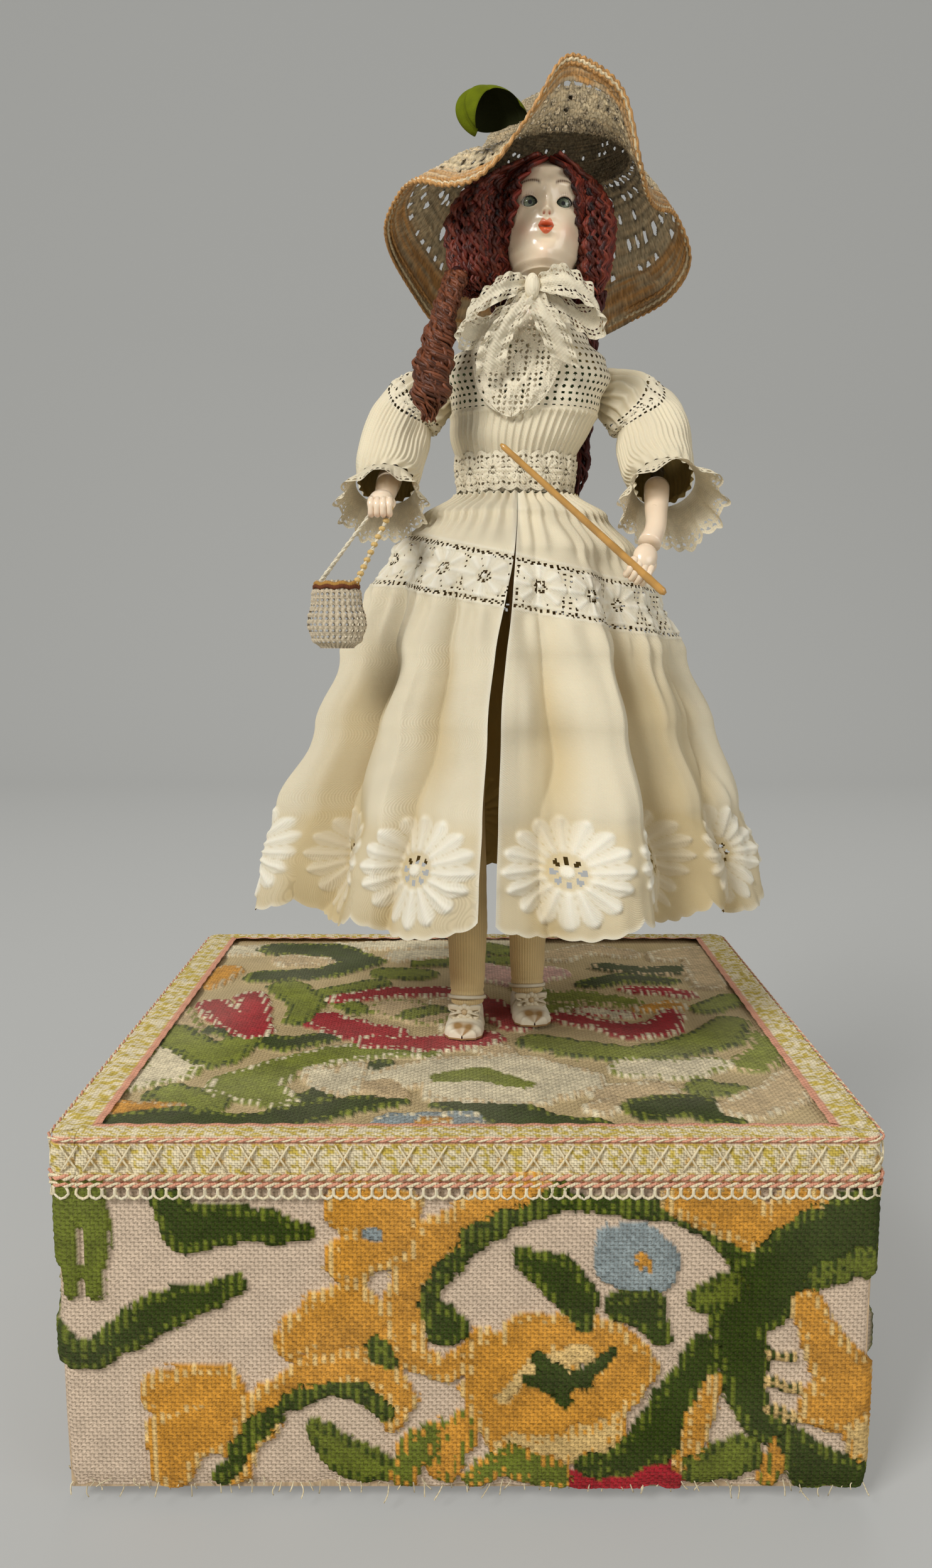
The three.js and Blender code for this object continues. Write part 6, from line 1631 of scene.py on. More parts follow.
@dataclass
class Sleeve(SubAssembly):
    """A full sleeve with its flared lace cuff, which ride on an arm."""

    side: str
    rows: tuple[tuple[float, ...], ...]
    cuff: tuple[tuple[float, ...], ...]
    gathers: int = 17
    columns: int = 220
    steps: int = 110
    radius: float = 12.0
    length: float = 52.0
    band_half: float = 4.8
    cuff_columns: int = 330
    cuff_steps: int = 40
    cuff_radius: float = 15.0
    cuff_length: float = 12.0

    def rings(self, rows: Sequence[Sequence[float]], count: int, grow: Array, angle: Array) -> Array:
        """Gives the points of rings round a bent middle line.

        Args:
            rows: The middle's place, its direction and the radius, a few along the line.
            count: How many rings there are.
            grow: The distance out from each ring, or one for each point.
            angle: The angle of each point of a ring.

        Returns:
            The points.
        """
        line = spline(rows, count)
        way = unit(line[:, 3:6])
        first = unit(np.cross(way, np.array([0.0, 1.0, 0.25])))
        second = np.cross(way, first)
        reach = line[:, 6][:, None] + grow
        ring = np.cos(angle)[None, :, None] * first[:, None] + np.sin(angle)[None, :, None] * second[:, None]
        return line[:, None, :3] + reach[..., None] * ring

    def build(self) -> None:
        """Makes the sleeve and its cuff."""
        body = f"{self.side}_arm"
        angle = np.linspace(0, TURN, self.columns)
        u = angle[None, :] / TURN
        v = column(0, 1, self.steps)
        soft = drift(stack(np.cos(angle)[None] * 12, np.sin(angle)[None] * 12, v * 50), 6.0, 51)
        puff = np.sin(angle[None, :] * self.gathers + 2.5 * soft)
        gather = ramp(v, 0.62, -0.3) * smooth(v / 0.12) + 0.5 * ramp(v, 0.9, 0.1)
        tucks = np.abs(np.sin(angle[None, :] * 22)) ** 6 * ramp(v, 0.6, 0.08) * ramp(v, 0.97, -0.06)
        grow = 1.1 * puff * gather + 1.1 * soft + 0.7 * tucks - 0.6
        girth = u * TURN * self.radius
        below = (v - 0.42 - 0.16 * np.sin(angle[None, :])) * self.length
        band = np.abs(below) < self.band_half
        bloom, eyes = flower(np.mod(girth, 9) - 4.5, below, 4.0, 10)
        holes = band & ((net_holes(girth, below, 2.0, 0.42) & (bloom < 0.3)) | eyes)
        grow = grow + np.where(band, 0.4 * bloom, 0)
        tint = np.where(band[..., None], Tint.LACE.rgb, Tint.COTTON.rgb) * (1 - 0.05 * soft)[..., None]
        shape = Shape()
        cloth = stack(girth, v * self.length, soft)
        points = self.rings(self.rows, self.steps, grow, angle)
        shape.grid(points[:, ::-1], tint[:, ::-1], keep=~holes[:, ::-1], cloth=cloth[:, ::-1])
        sleeve = self.shop.piece(shape, f"{self.side}_cotton_sleeve", COTTON, body, [f"{self.side}_sleeve"])
        self.build_cuff(body)

    def build_cuff(self, body: str) -> None:
        """Makes the flared lace cuff with its scalloped edge."""
        angle = np.linspace(0, TURN, self.cuff_columns)
        v = column(0, 1, self.cuff_steps)
        girth = angle[None, :] * self.cuff_radius
        frill = np.sin(angle[None, :] * 9 + 1.5 * np.sin(angle[None, :] * 2))
        scallop = np.abs(np.sin(angle[None, :] * 13))
        grow = (1.6 * frill + 0.8 * scallop) * v**1.3 - 0.3
        bloom, eyes = flower(np.mod(girth, 7.2) - 3.6, (v - 0.55) * self.cuff_length, 3.8, 8)
        holes = (net_holes(girth, v * self.cuff_length, 1.8, 0.42) & (bloom < 0.3)) | eyes
        holes &= (v > 0.72) & (v < 0.9)
        tint = Tint.COTTON.rgb * (0.95 + 0.1 * bloom)[..., None]
        points = self.rings(self.cuff, self.cuff_steps, grow, angle)
        points[..., 2] -= scallop * ramp(v, 0.8, 0.2) * 0.9
        shape = Shape()
        cloth = stack(girth, v * self.cuff_length, bloom)
        shape.grid(points[:, ::-1], tint[:, ::-1], keep=~holes[:, ::-1], cloth=cloth[:, ::-1])
        cuff = self.shop.piece(shape, f"{self.side}_lace_cuff", LACE_THREAD, body, [f"{self.side}_cuff"])


SLEEVE_LINES = {
    "right": (
        (
            (-3, 6, 247, -1, 0, 0, 5.2), (-7.5, 5.5, 246.5, -1, 0, -0.2, 8.2),
            (-12, 4.5, 245.5, -1, 0, -0.5, 10.4), (-16.5, 3, 243, -1, -0.1, -0.8, 11.8),
            (-20.5, 1.5, 239, -1, -0.2, -1, 12.4), (-24, 0, 236, -0.6, -0.3, -1, 12.2),
            (-27, -4, 226, -0.3, -0.4, -1, 13), (-29, -9, 216, -0.2, -0.5, -1, 13),
            (-30, -13, 210, 0, -0.7, -1, 11.2),
        ),
        (
            (-30.2, -13.6, 209.6, 0, -0.7, -1, 11.4), (-30.6, -16.5, 206.8, 0, -0.9, -1, 12.4),
            (-31, -20, 203.6, 0, -1, -1, 14), (-31, -24, 200.4, 0, -1, -1, 16),
        ),
    ),
    "left": (
        (
            (48, 6, 247, 1, 0, 0, 5.2), (52.5, 5.5, 246.5, 1, 0, -0.2, 8.2),
            (57, 4.5, 245.5, 1, 0, -0.5, 10.6), (61.5, 2.5, 243, 1, -0.1, -0.8, 12),
            (65.5, 1, 239, 1, -0.2, -1, 12.8), (69, -2, 235, 0.6, -0.3, -1, 13.5),
            (71, -8, 225, 0.3, -0.6, -1, 14.4), (72, -14, 216, 0.2, -0.9, -1, 13.8),
            (73, -20, 210, 0, -1, -1, 11.2),
        ),
        (
            (73.1, -20.8, 209.4, 0, -1, -1, 11.6), (73.5, -24.5, 206.4, 0, -1, -0.9, 13.6),
            (74, -28.5, 203.2, 0, -1, -0.8, 16), (74.5, -33, 199.6, 0, -1, -0.8, 18.6),
        ),
    ),
}


@dataclass
class Legs(SubAssembly):
    """The stockinged legs and the worn leather shoes with their straps and bows."""

    right: tuple[float, float] = (0.5, -15.0)
    left: tuple[float, float] = (25.0, 0.0)
    toe_turn: float = 6.0
    leg_radius: float = 7.0
    shoe_length: float = 31.0
    shoe_width: float = 15.0
    shoe_height: float = 11.0
    heel_share: float = 0.36
    shoe_steps: int = 90
    ribs: int = 40
    leg_rows: tuple[tuple[float, ...], ...] = (
        (9.5, 6.3), (14, 6.5), (24, 7.1), (40, 7.8), (56, 7.6), (90, 6.7), (140, 7.4), (194, 8.8)
    )
    shoe_rows: tuple[tuple[float, ...], ...] = (
        (0, 0.02, 0.35), (0.04, 0.55, 0.85), (0.14, 0.78, 1.0), (0.34, 0.86, 0.98), (0.5, 0.92, 0.76),
        (0.68, 1.0, 0.6), (0.84, 0.97, 0.54), (0.95, 0.72, 0.44), (1, 0.04, 0.2),
    )

    def build(self) -> None:
        """Makes both legs and both shoes."""
        for side, (x, y), turn in (("right", self.right, -self.toe_turn), ("left", self.left, self.toe_turn)):
            self.build_leg(side, x, y)
            self.build_shoe(side, x, y, math.radians(turn))

    def build_leg(self, side: str, x: float, y: float) -> None:
        """Makes a leg in its ribbed stocking."""
        angle = full_turn(240)
        girth = angle * self.leg_radius
        z = np.concatenate([np.linspace(9.5, 70, 90), np.linspace(72, 194, 40)])[:, None]
        (radius,) = read_rows(self.leg_rows, z.ravel())
        rib = np.abs(np.cos(angle * self.ribs / 2)) ** 0.7
        soft = flat_drift(girth, z, 5.0, 61)
        calf = 0.5 * bell(z - 42, 20) * np.sin(angle)
        reach = radius[:, None] + calf + 0.16 * rib + 0.14 * soft - 0.15
        wrinkle = 0.25 * np.sin(z * 2.1 + 2 * np.sin(angle)) * bell(z - 13, 4)
        points = stack(x + (reach + wrinkle) * np.cos(angle), y + (reach + wrinkle) * np.sin(angle), z)
        tint = Tint.STOCKING.rgb * (0.84 + 0.16 * rib + 0.04 * soft)[..., None]
        shape = Shape()
        shape.grid(points, tint, closed=True, cloth=stack(girth, z, soft))
        self.shop.piece(shape, f"{side}_stocking", STOCKING, replaced=[f"{side}_leg"])

    def shoe_place(self, x: float, y: float, turn: float, spot: Array) -> Array:
        """Turns places on a shoe to where it stands."""
        cos, sin = math.cos(turn), math.sin(turn)
        across, ahead = spot[..., 0], spot[..., 1]
        return stack(x + across * cos - ahead * sin, y + across * sin + ahead * cos, spot[..., 2])

    def build_shoe(self, side: str, x: float, y: float, turn: float) -> None:
        """Makes a shoe with its sole, strap and bow."""
        share = column(0, 1, self.shoe_steps)
        wide, tall = (n[:, None] for n in read_rows(self.shoe_rows, share.ravel()))
        angle = np.linspace(0, math.pi, 60)[None, :]
        half = wide * self.shoe_width / 2
        crease = 0.35 * np.sin(share * 60) * bell(share - 0.62, 0.1) * np.sin(angle)
        across = half * np.cos(angle) * (1 + 0.05 * np.sin(angle))
        up = 1.0 + (tall * self.shoe_height - 1.0) * np.sin(angle) ** 0.75 + crease
        ahead = (self.heel_share - share) * self.shoe_length
        points = stack(across, ahead, up)
        toe = ramp(share, 0.78, 0.14) * ramp(angle, 0.7, 0.5) * ramp(angle, 2.5, -0.5)
        patch = np.clip(toe * (0.9 + 0.7 * flat_drift(share * 30, angle * 8, 3.0, 71)), 0, 1)
        scuff = np.clip(0.5 * flat_drift(share * 30, angle * 9, 4.0, 72), 0, 1)
        tint = lerp(Tint.LEATHER.rgb, Tint.WORN_TOE.rgb, np.clip(patch + 0.35 * scuff, 0, 1)[..., None])
        shape = Shape()
        shape.grid(self.shoe_place(x, y, turn, points), tint)
        rim = self.shoe_place(x, y, turn, np.concatenate([points[:, 0], points[::-1, -1]]))
        sole = np.stack([rim, rim * [1, 1, 0] + [0, 0, 0.35]])
        shape.grid(sole[::-1], Tint.WORN_TOE.rgb * 0.9, closed=True)
        seam = self.shoe_place(x, y, turn, points[self.shoe_steps // 2] * [1.02, 1, 1.02])
        shape.tube(seam, 0.35, Tint.LEATHER.rgb * 0.75, sides=5)
        self.add_strap(shape, x, y, turn)
        self.shop.piece(shape, f"{side}_leather_shoe", LEATHER, replaced=[f"{side}_shoe"])

    def add_strap(self, shape: Shape, x: float, y: float, turn: float) -> None:
        """Adds the ankle strap and the small bow with its rosette."""
        angle = np.linspace(0, TURN, 60, endpoint=False)
        strap = stack(7.1 * np.cos(angle), 7.1 * np.sin(angle) - 0.2, 11.6 - 1.6 * np.sin(angle))
        path = self.shoe_place(x, y, turn, strap)
        shape.tube(path, 0.8, Tint.LEATHER.rgb, sides=6, closed=True, flatten=0.5)
        for way in (-1, 1):
            for lean, drop, reach in ((0.5, 0, 6.2), (-0.45, 0, 5.6), (-1.3, -3.0, 4.4)):
                loop = [(0, -9.6, 8.2), (way * reach * 0.5, -10.8, 9.2 + lean * 2 + drop * 0.3),
                        (way * reach, -9.8, 8.4 + lean * 3 + drop),
                        (way * reach * 0.5, -9.2, 7.2 + lean * 2 + drop), (0, -9.6, 7.8)]
                path = self.shoe_place(x, y, turn, spline(loop, 18))
                shape.tube(path, 1.25, Tint.COTTON.rgb * 0.97, sides=6, flatten=0.3)
        for petal in np.linspace(0, TURN, 8, endpoint=False):
            spot = np.array([2.0 * math.cos(petal), -10.6, 8.6 + 2.0 * math.sin(petal)])
            shape.ball(self.shoe_place(x, y, turn, spot), (1.2, 0.7, 1.2), Tint.COTTON.rgb, 6)
        spot = np.array([0, -11.2, 8.6])
        shape.ball(self.shoe_place(x, y, turn, spot), (1.1, 0.8, 1.1), Tint.BEIGE.rgb, 6)


def read_round(values: Sequence[float], share: Array) -> Array:
    """Reads a closed row of values at shares of the way round, as a smooth curve through them."""
    table = np.array(values)
    where = np.mod(share, 1) * len(table)
    step = np.floor(where).astype(int)
    part = where - step
    return through_four([table[(step + n) % len(table)] for n in (-1, 0, 1, 2)], part)


@dataclass
class Hat(SubAssembly):
    """The floppy openwork straw hat, with its plaited edge and its velvet leaf."""

    centre: tuple[float, float] = (33.0, 2.0)
    band: float = 329.0
    crown_radius: float = 28.0
    crown_height: float = 24.0
    crown_lean: float = 6.0
    brim_reach: float = 50.0
    brim_drop: float = 50.0
    columns: int = 900
    rows: int = 190
    mean_radius: float = 44.0
    brim_run: float = 24.0
    crown_run: float = 50.0
    openings: int = 66
    edge_steps: int = 700
    leaf_place: Spot = (9.0, -36.0, 331.0)
    leaf_radii: Spot = (10.5, 5.2, 9.0)
    reach_shares: tuple[float, ...] = (
        0.92, 1.12, 1.12, 1.08, 1.06, 1.05, 1.08, 1.14, 1.22, 1.27, 1.26, 1.27,
        1.27, 1.2, 1.16, 1.12, 1.06, 0.9, 0.82, 0.82, 0.84, 0.8, 0.76, 0.8,
    )
    drop_shares: tuple[float, ...] = (
        0.42, 0.62, 0.8, 0.94, 1.02, 1.04, 1, 1, 0.98, 0.94, 0.8, 0.62,
        0.44, 0.36, 0.37, 0.42, 0.38, 0.04, -0.36, -0.36, -0.16, 0.24, 0.36, 0.4,
    )

    def place(self, share: Array, reach: Array, grow: Array) -> Array:
        """Gives places on the hat.

        Args:
            share: The share of the way round, from the doll's left by the back.
            reach: 0 at the edge, 1 at the band and 2 at the middle of the crown.
            grow: The distance out from the surface.

        Returns:
            The places.
        """
        turn = share * TURN
        brim = np.clip(reach, 0, 1)
        rise = np.clip(reach - 1, 0, 1) * math.pi / 2
        edge = read_round(self.reach_shares, share) * self.brim_reach
        radius = np.where(reach <= 1, lerp(edge, self.crown_radius, brim) + 0.4 * grow,
                          (self.crown_radius + grow) * np.cos(rise))
        drop = read_round(self.drop_shares, share) * self.brim_drop * (1 - brim) ** 1.5
        wave = 1.5 * np.cos(turn * 7) * (1 - brim)
        z = self.band - drop + wave + self.crown_height * np.sin(rise)
        z = z + grow * np.where(reach <= 1, 1, np.sin(rise))
        x = self.centre[0] + radius * np.cos(turn) + self.crown_lean * np.sin(rise)
        return stack(x, self.centre[1] + radius * np.sin(turn), z)

    def build(self) -> None:
        """Makes the hat and its leaf."""
        share = np.linspace(0, 1, self.columns, endpoint=False)[None, :]
        reach = np.concatenate([np.linspace(0, 1, 100), np.linspace(1, 2, self.rows - 100)[1:]])[::-1, None]
        along = share * TURN * self.mean_radius
        run = np.where(reach <= 1, reach * self.brim_run, self.brim_run + (reach - 1) * self.crown_run)
        row, part = np.divmod(run / 4.0, 1)
        across = share * self.openings + 0.5 * np.mod(row, 2) + 0.25 * flat_drift(along, run, 6.0, 81)
        cell, place = np.divmod(across, 1)
        lot = cell_shares(stack(cell, row, 0.0), 82)
        big = bell(share - 0.78, 0.07)
        long = cell_shares(stack(row, cell, 1.0), 83)
        wide = 0.13 + 0.12 * (lot + big)
        high = 0.14 + 0.16 * (long + big)
        oval = np.hypot((place - 0.5) / wide, (part - 0.5) / high)
        open_rows = (run > 6) & (reach < 0.97) | (reach > 1.2) & (reach < 1.85) & (lot > 0.8)
        holes = open_rows & (oval < 1) & (lot > 0.25)
        plait = np.abs(np.sin(run * math.pi / 1.85))
        strand = np.sin(along * 1.9 + 5 * flat_drift(along, run, 2.5, 84)) * np.sin(run * 1.7 + along * 0.35)
        fibre = flat_drift(along / 6, run * 2.2, 1.0, 85)
        edge = ramp(run, 7.5, -3)
        lift = 0.55 * edge * plait + 0.4 * strand * (1 - 0.5 * edge)
        lift = lift + 0.25 * (1 - edge) * bell(oval - 1.25, 0.3)
        sag = 1.3 * drift(self.place(share, reach, 0.0), 15.0, 86) * ramp(reach, 1.6, -0.6)
        points = self.place(share, reach, lift + sag)
        gold = edge * (0.75 + 0.45 * fibre) + 0.25 * fibre + 0.1 * bell(reach - 1, 0.08)
        gold = np.clip(gold, 0, 1)[..., None]
        # Painted shade: dark rims round the open holes, and darker towards the band and over the crown; the
        # rest follows the plait, strands and fibres
        dark = 0.6 * np.clip(1.8 - oval, 0, 1) * (open_rows & (lot > 0.25))
        shade = 0.75 + 0.3 * plait + 0.2 * strand + 0.25 * fibre - dark - 0.35 * ramp(reach, 0.5, 0.4)
        tint = lerp(Tint.PALE_STRAW.rgb, Tint.STRAW.rgb, gold) * np.clip(shade, 0.1, 1.2)[..., None]
        shape = Shape()
        shape.grid(points, tint, keep=~holes, closed=True, cloth=stack(along, run, lift))
        self.add_edge(shape)
        hat = self.shop.piece(shape, "straw_hat_plait", STRAW, "head", ["straw_hat"])
        self.build_leaf()

    def add_edge(self, shape: Shape) -> None:
        """Adds the three plaited rows at the edge of the brim."""
        for n, offset in enumerate((-0.006, 0.03, 0.065)):
            turns = np.linspace(0, 1, self.edge_steps, endpoint=False)
            twist = 0.35 * np.cos(turns * TURN * 130 + n)
            reach = np.full(self.edge_steps, max(offset, 0.0))
            path = self.place(turns, reach, 0.3 + twist) + (0.0 if n else 0.2)
            shade = (Tint.STRAW if n != 1 else Tint.PALE_STRAW).rgb
            lots = cell_shares(stack(np.arange(self.edge_steps) // 5, n, 0), 87)
            shape.tube(path, 0.62, shade * (0.9 + 0.3 * lots)[:, None], sides=5, closed=True)

    def build_leaf(self) -> None:
        """Makes the curled velvet leaf, open below towards the front."""
        angle = full_turn(120)
        limit = np.radians(read_round((85, 100, 110, 120, 138, 122, 50, 54), angle / TURN))
        polar = column(0, 1, 60) * limit
        rib = bell(np.sin(angle - 0.6) * np.sin(polar), 0.07)
        out = 1 + 0.2 * np.abs(np.sin(angle * 2.5 + 0.6)) * np.sin(polar) ** 2 - 0.1 * rib
        ball = stack(np.sin(polar) * np.cos(angle), np.sin(polar) * np.sin(angle), np.cos(polar))
        points = np.array(self.leaf_place) + ball * out[..., None] * np.array(self.leaf_radii)
        points[..., 0] -= 0.25 * (points[..., 2] - self.leaf_place[2])
        edge = smooth((polar / limit - 0.9) / 0.1)
        # Painted shade darkens the midrib fold; the colour also darkens towards the rim
        tint = Tint.VELVET_GREEN.rgb * (1 - 0.35 * rib - 0.3 * edge)[..., None]
        shape = Shape()
        shape.grid(points, tint, closed=True, cloth=stack(angle * 9, polar * 9, rib))
        leaf = self.shop.piece(shape, "velvet_leaf", VELVET, "head", ["hat_leaf"])


@dataclass
class Head(SubAssembly):
    """The glazed head with its glass eyes, which leans a little to the doll's left."""

    base: Spot = (28.0, -5.0, 281.8)
    lean: float = math.radians(2.5)
    height: float = 45.0
    half_width: float = 17.0
    half_depth: float = 20.0
    eye_spread: float = 6.3
    eye_height: float = 25.2
    eye_radius: float = 3.4
    nose_height: float = 22.0
    mouth_height: float = 16.3
    middle: float = -0.3
    neck_x: float = 25.0
    neck_levels: tuple[float, float] = (281.5, 262.4)
    rows: tuple[tuple[float, ...], ...] = (
        (0, 0.1, 0.1, 0.3), (0.02, 0.32, 0.44, 0.3), (0.06, 0.5, 0.68, 0.27), (0.12, 0.66, 0.82, 0.2),
        (0.2, 0.78, 0.91, 0.12), (0.3, 0.84, 0.97, 0.06), (0.42, 0.85, 0.99, 0.02), (0.55, 0.88, 1, 0),
        (0.68, 0.92, 0.98, 0), (0.82, 0.8, 0.84, 0), (0.93, 0.5, 0.54, 0), (1, 0.02, 0.02, 0),
    )

    def place(self, spots: Array) -> Array:
        """Puts places on the head where it sits."""
        cos, sin = math.cos(self.lean), math.sin(self.lean)
        x, y, z = spots[..., 0], spots[..., 1], spots[..., 2]
        return stack(self.base[0] + x * cos + z * sin, self.base[1] + y, self.base[2] - x * sin + z * cos)

    def front(self, x: Array, z: Array) -> Array:
        """Gives how far forward the head reaches at places across and up, as a Y."""
        wide, deep, shift = (n.reshape(np.shape(z)) for n in read_rows(self.rows, np.ravel(z) / self.height))
        share = np.clip(np.abs(x) / (wide * self.half_width), 0, 0.999)
        return -shift * self.half_depth - deep * self.half_depth * np.sqrt(1 - share**2)

    def relief(self, x: Array, z: Array) -> Array:
        """Works out how far the features stand out of the face.

        Args:
            x: Places across, from the middle of the face.
            z: Heights over the chin.

        Returns:
            Distances forward.
        """
        side = np.abs(x)
        eye = bell(side - self.eye_spread, 3.6) * bell(z - self.eye_height - 0.5, 3.1)
        tip, lip = z - self.nose_height, z - self.mouth_height
        nose = 2.3 * bell(x, 1.5) * bell(tip, 1.9) + 0.9 * bell(x, 1.3) * bell(tip - 4, 3.2)
        nose = nose + 0.7 * bell(side - 1.5, 0.75) * bell(tip + 0.6, 0.9)
        nose = nose - 0.9 * bell(side - 0.95, 0.42) * bell(tip + 1.5, 0.5)
        lips = 1.0 * bell(x, 2.5) * bell(lip - 1.4, 1.0) + 1.5 * bell(x, 2.0) * bell(lip + 1.7, 1.15)
        lips = lips - 1.3 * bell(x, 2.0) * bell(lip, 0.5) - 0.3 * bell(x, 0.6) * bell(lip - 2.9, 0.8)
        soft = 1.1 * bell(side - 8.0, 3.8) * bell(lip + 1.5, 4.8) - 0.8 * bell(x, 3.0) * bell(lip + 4.1, 1.2)
        chin = 1.6 * bell(x, 3.8) * bell(z - 7.2, 3.2) + 0.5 * bell(side - 6, 4.5) * bell(z - 31.5, 2.2)
        return nose + lips + soft + chin - 1.6 * eye

    def almond(self, x: Array, z: Array) -> Array:
        """Gives how far places lie from the middle of the eye opening, 1 at its lids."""
        across = (np.abs(x) - self.eye_spread) / 2.9
        up = z - self.eye_height - 0.15 * (np.abs(x) - self.eye_spread)
        height = np.where(up > 0, 2.15, 1.8) * np.clip(1 - across**2, 0.0001, 1) ** 0.62
        return np.maximum(np.abs(across), np.abs(up) / height)

    def paint(self, x: Array, z: Array) -> Array:
        """Paints the cheeks, lips, brows, lashes and nostrils.

        Args:
            x: Places across, from the middle of the face.
            z: Heights over the chin.

        Returns:
            A colour for each place.
        """
        side = np.abs(x)
        tint = np.broadcast_to(Tint.BISQUE.rgb, (*x.shape, 3)).copy()

        def lay(paint: Tint, share: Array) -> None:
            """Lays a paint over the glaze."""
            nonlocal tint
            tint = lerp(tint, paint.rgb, np.clip(share, 0, 1)[..., None])

        lip = z - self.mouth_height
        lay(Tint.BLUSH, 0.34 * bell(side - 8.2, 3.6) * bell(lip + 1.0, 3.4))
        lay(Tint.CHIN_BLUSH, 0.2 * bell(x, 2.6) * bell(z - 7.0, 2.6))
        shadow = 0.3 * bell(side - self.eye_spread, 3.6) * bell(z - self.eye_height - 2.6, 1.7)
        lay(Tint.EYE_SHADOW, shadow)
        bow = 0.75 + 0.25 * np.cos(x * 2.1 + math.pi)
        upper = 2.9 * np.clip(1 - (x / 3.1) ** 2, 0, 1) ** 0.8 * (bow + 0.15)
        lower = -3.1 * np.clip(1 - (x / 2.8) ** 2, 0, 1) ** 0.8
        inside = smooth((upper - lip) / 0.35) * smooth((lip - lower) / 0.35) * ramp(side, 3.1, -0.3)
        lay(Tint.LIP_RED, inside * (0.95 - 0.3 * ramp(lip, 0.9, 1.2)))
        lay(Tint.LIP_LINE, inside * bell(lip + 0.03 * x**2, 0.45))
        arch = 32.3 - 0.075 * (side - 6.6) ** 2
        brow = bell(z - arch, 0.4 + 0.05 * (10 - side)) * ramp(side, 2.2, 1.2) * ramp(side, 10.6, -1.5)
        lay(Tint.BROW, brow * (0.8 + 0.2 * np.sin(x * 9)))
        lid = self.almond(x, z)
        lay(Tint.LID_LINE, 0.75 * bell(lid - 1.02, 0.075) * smooth((z - self.eye_height + 0.6) / 0.8))
        lash = np.maximum(np.cos((side - self.eye_spread) * 7.5 + (z - self.eye_height) * 1.5), 0) ** 5
        reach = smooth((z - self.eye_height - 1.2) / 0.6) * ramp(lid, 1.0, 0.1) * ramp(lid, 1.9, -0.5)
        lay(Tint.LASH, 0.5 * lash * reach * smooth((3.2 - np.abs(side - self.eye_spread)) / 0.6))
        lay(Tint.NOSTRIL, 0.8 * bell(side - 0.95, 0.45) * bell(z - self.nose_height + 1.5, 0.5))
        return tint

    def build(self) -> None:
        """Makes the head, its eyes and its neck."""
        share = np.linspace(0, 1, 620, endpoint=False)[None, :]
        turn = (0.25 + share) * TURN + 0.72 * np.sin(share * TURN)
        level = np.concatenate([np.linspace(1, 0.72, 60), np.linspace(0.72, 0.03, 330)[1:], [0.015, 0]])
        height = level[:, None]
        wide, deep, shift = (n[:, None] for n in read_rows(self.rows, level))
        x = wide * self.half_width * np.cos(turn)
        y = -shift * self.half_depth + deep * self.half_depth * np.sin(turn)
        z = height * self.height + 0 * turn
        facing = smooth((-np.sin(turn) - 0.05) / 0.4)
        across = x - self.middle
        lids = 0.4 * bell(self.almond(across, z) - 1.08, 0.14) * facing
        y = y - self.relief(across, z) * facing - lids
        opening = (self.almond(across, z) < 1) & (facing > 0.5)
        tint = lerp(Tint.BISQUE.rgb, self.paint(across, z), facing[..., None])
        shape = Shape()
        shape.grid(self.place(stack(x, y, z)), tint, keep=~opening, closed=True)
        self.shop.piece(shape, "glazed_head", BISQUE, "head", ["head"])
        for side, way in (("right", -1), ("left", 1)):
            self.build_eye(side, way)
        self.build_neck()

    def build_neck(self) -> None:
        """Makes the neck that the head sits on."""
        neck = Shape()
        angle = full_turn(40)
        level = column(*self.neck_levels, 12)
        radius = 6.75 - 1.2 * ramp(level, 262.4, 19)
        wall = stack(self.neck_x + radius * np.cos(angle), radius * np.sin(angle), level)
        neck.grid(wall, Tint.BISQUE.rgb, closed=True)
        self.shop.piece(neck, "glazed_neck", BISQUE, "neck")

    def build_eye(self, side: str, way: int) -> None:
        """Makes a glass eye with its iris and pupil, looking ahead."""
        polar = np.concatenate([np.linspace(0, 0.9, 50), np.linspace(0.9, math.pi, 20)[1:]])[:, None]
        angle = full_turn(72)
        ray = 0.5 + 0.5 * np.sin(angle * 23 + 3 * np.sin(angle * 5))
        light = (ray * smooth(polar / 0.7))[..., None]
        iris = lerp(Tint.IRIS_DARK.rgb, Tint.IRIS_LIGHT.rgb, light)
        iris = iris * (1 - 0.75 * bell(polar - 0.72, 0.09))[..., None]
        tint = lerp(iris, Tint.EYE_WHITE.rgb, ramp(polar, 0.74, 0.05)[..., None])
        tint = lerp(Tint.PUPIL.rgb, tint, (ramp(polar, 0.2, 0.05) + 0 * angle)[..., None])
        ball = stack(np.sin(polar) * np.cos(angle), -np.cos(polar), np.sin(polar) * np.sin(angle))
        centre = np.array([self.middle + way * (self.eye_spread - 0.35), -13.3, self.eye_height + 0.1])
        shape = Shape()
        shape.grid(self.place(centre + ball[:, ::-1] * self.eye_radius), tint[:, ::-1], closed=True)
        self.shop.piece(shape, f"{side}_glass_eye", EYE_GLASS, "head", [f"{side}_eye"])


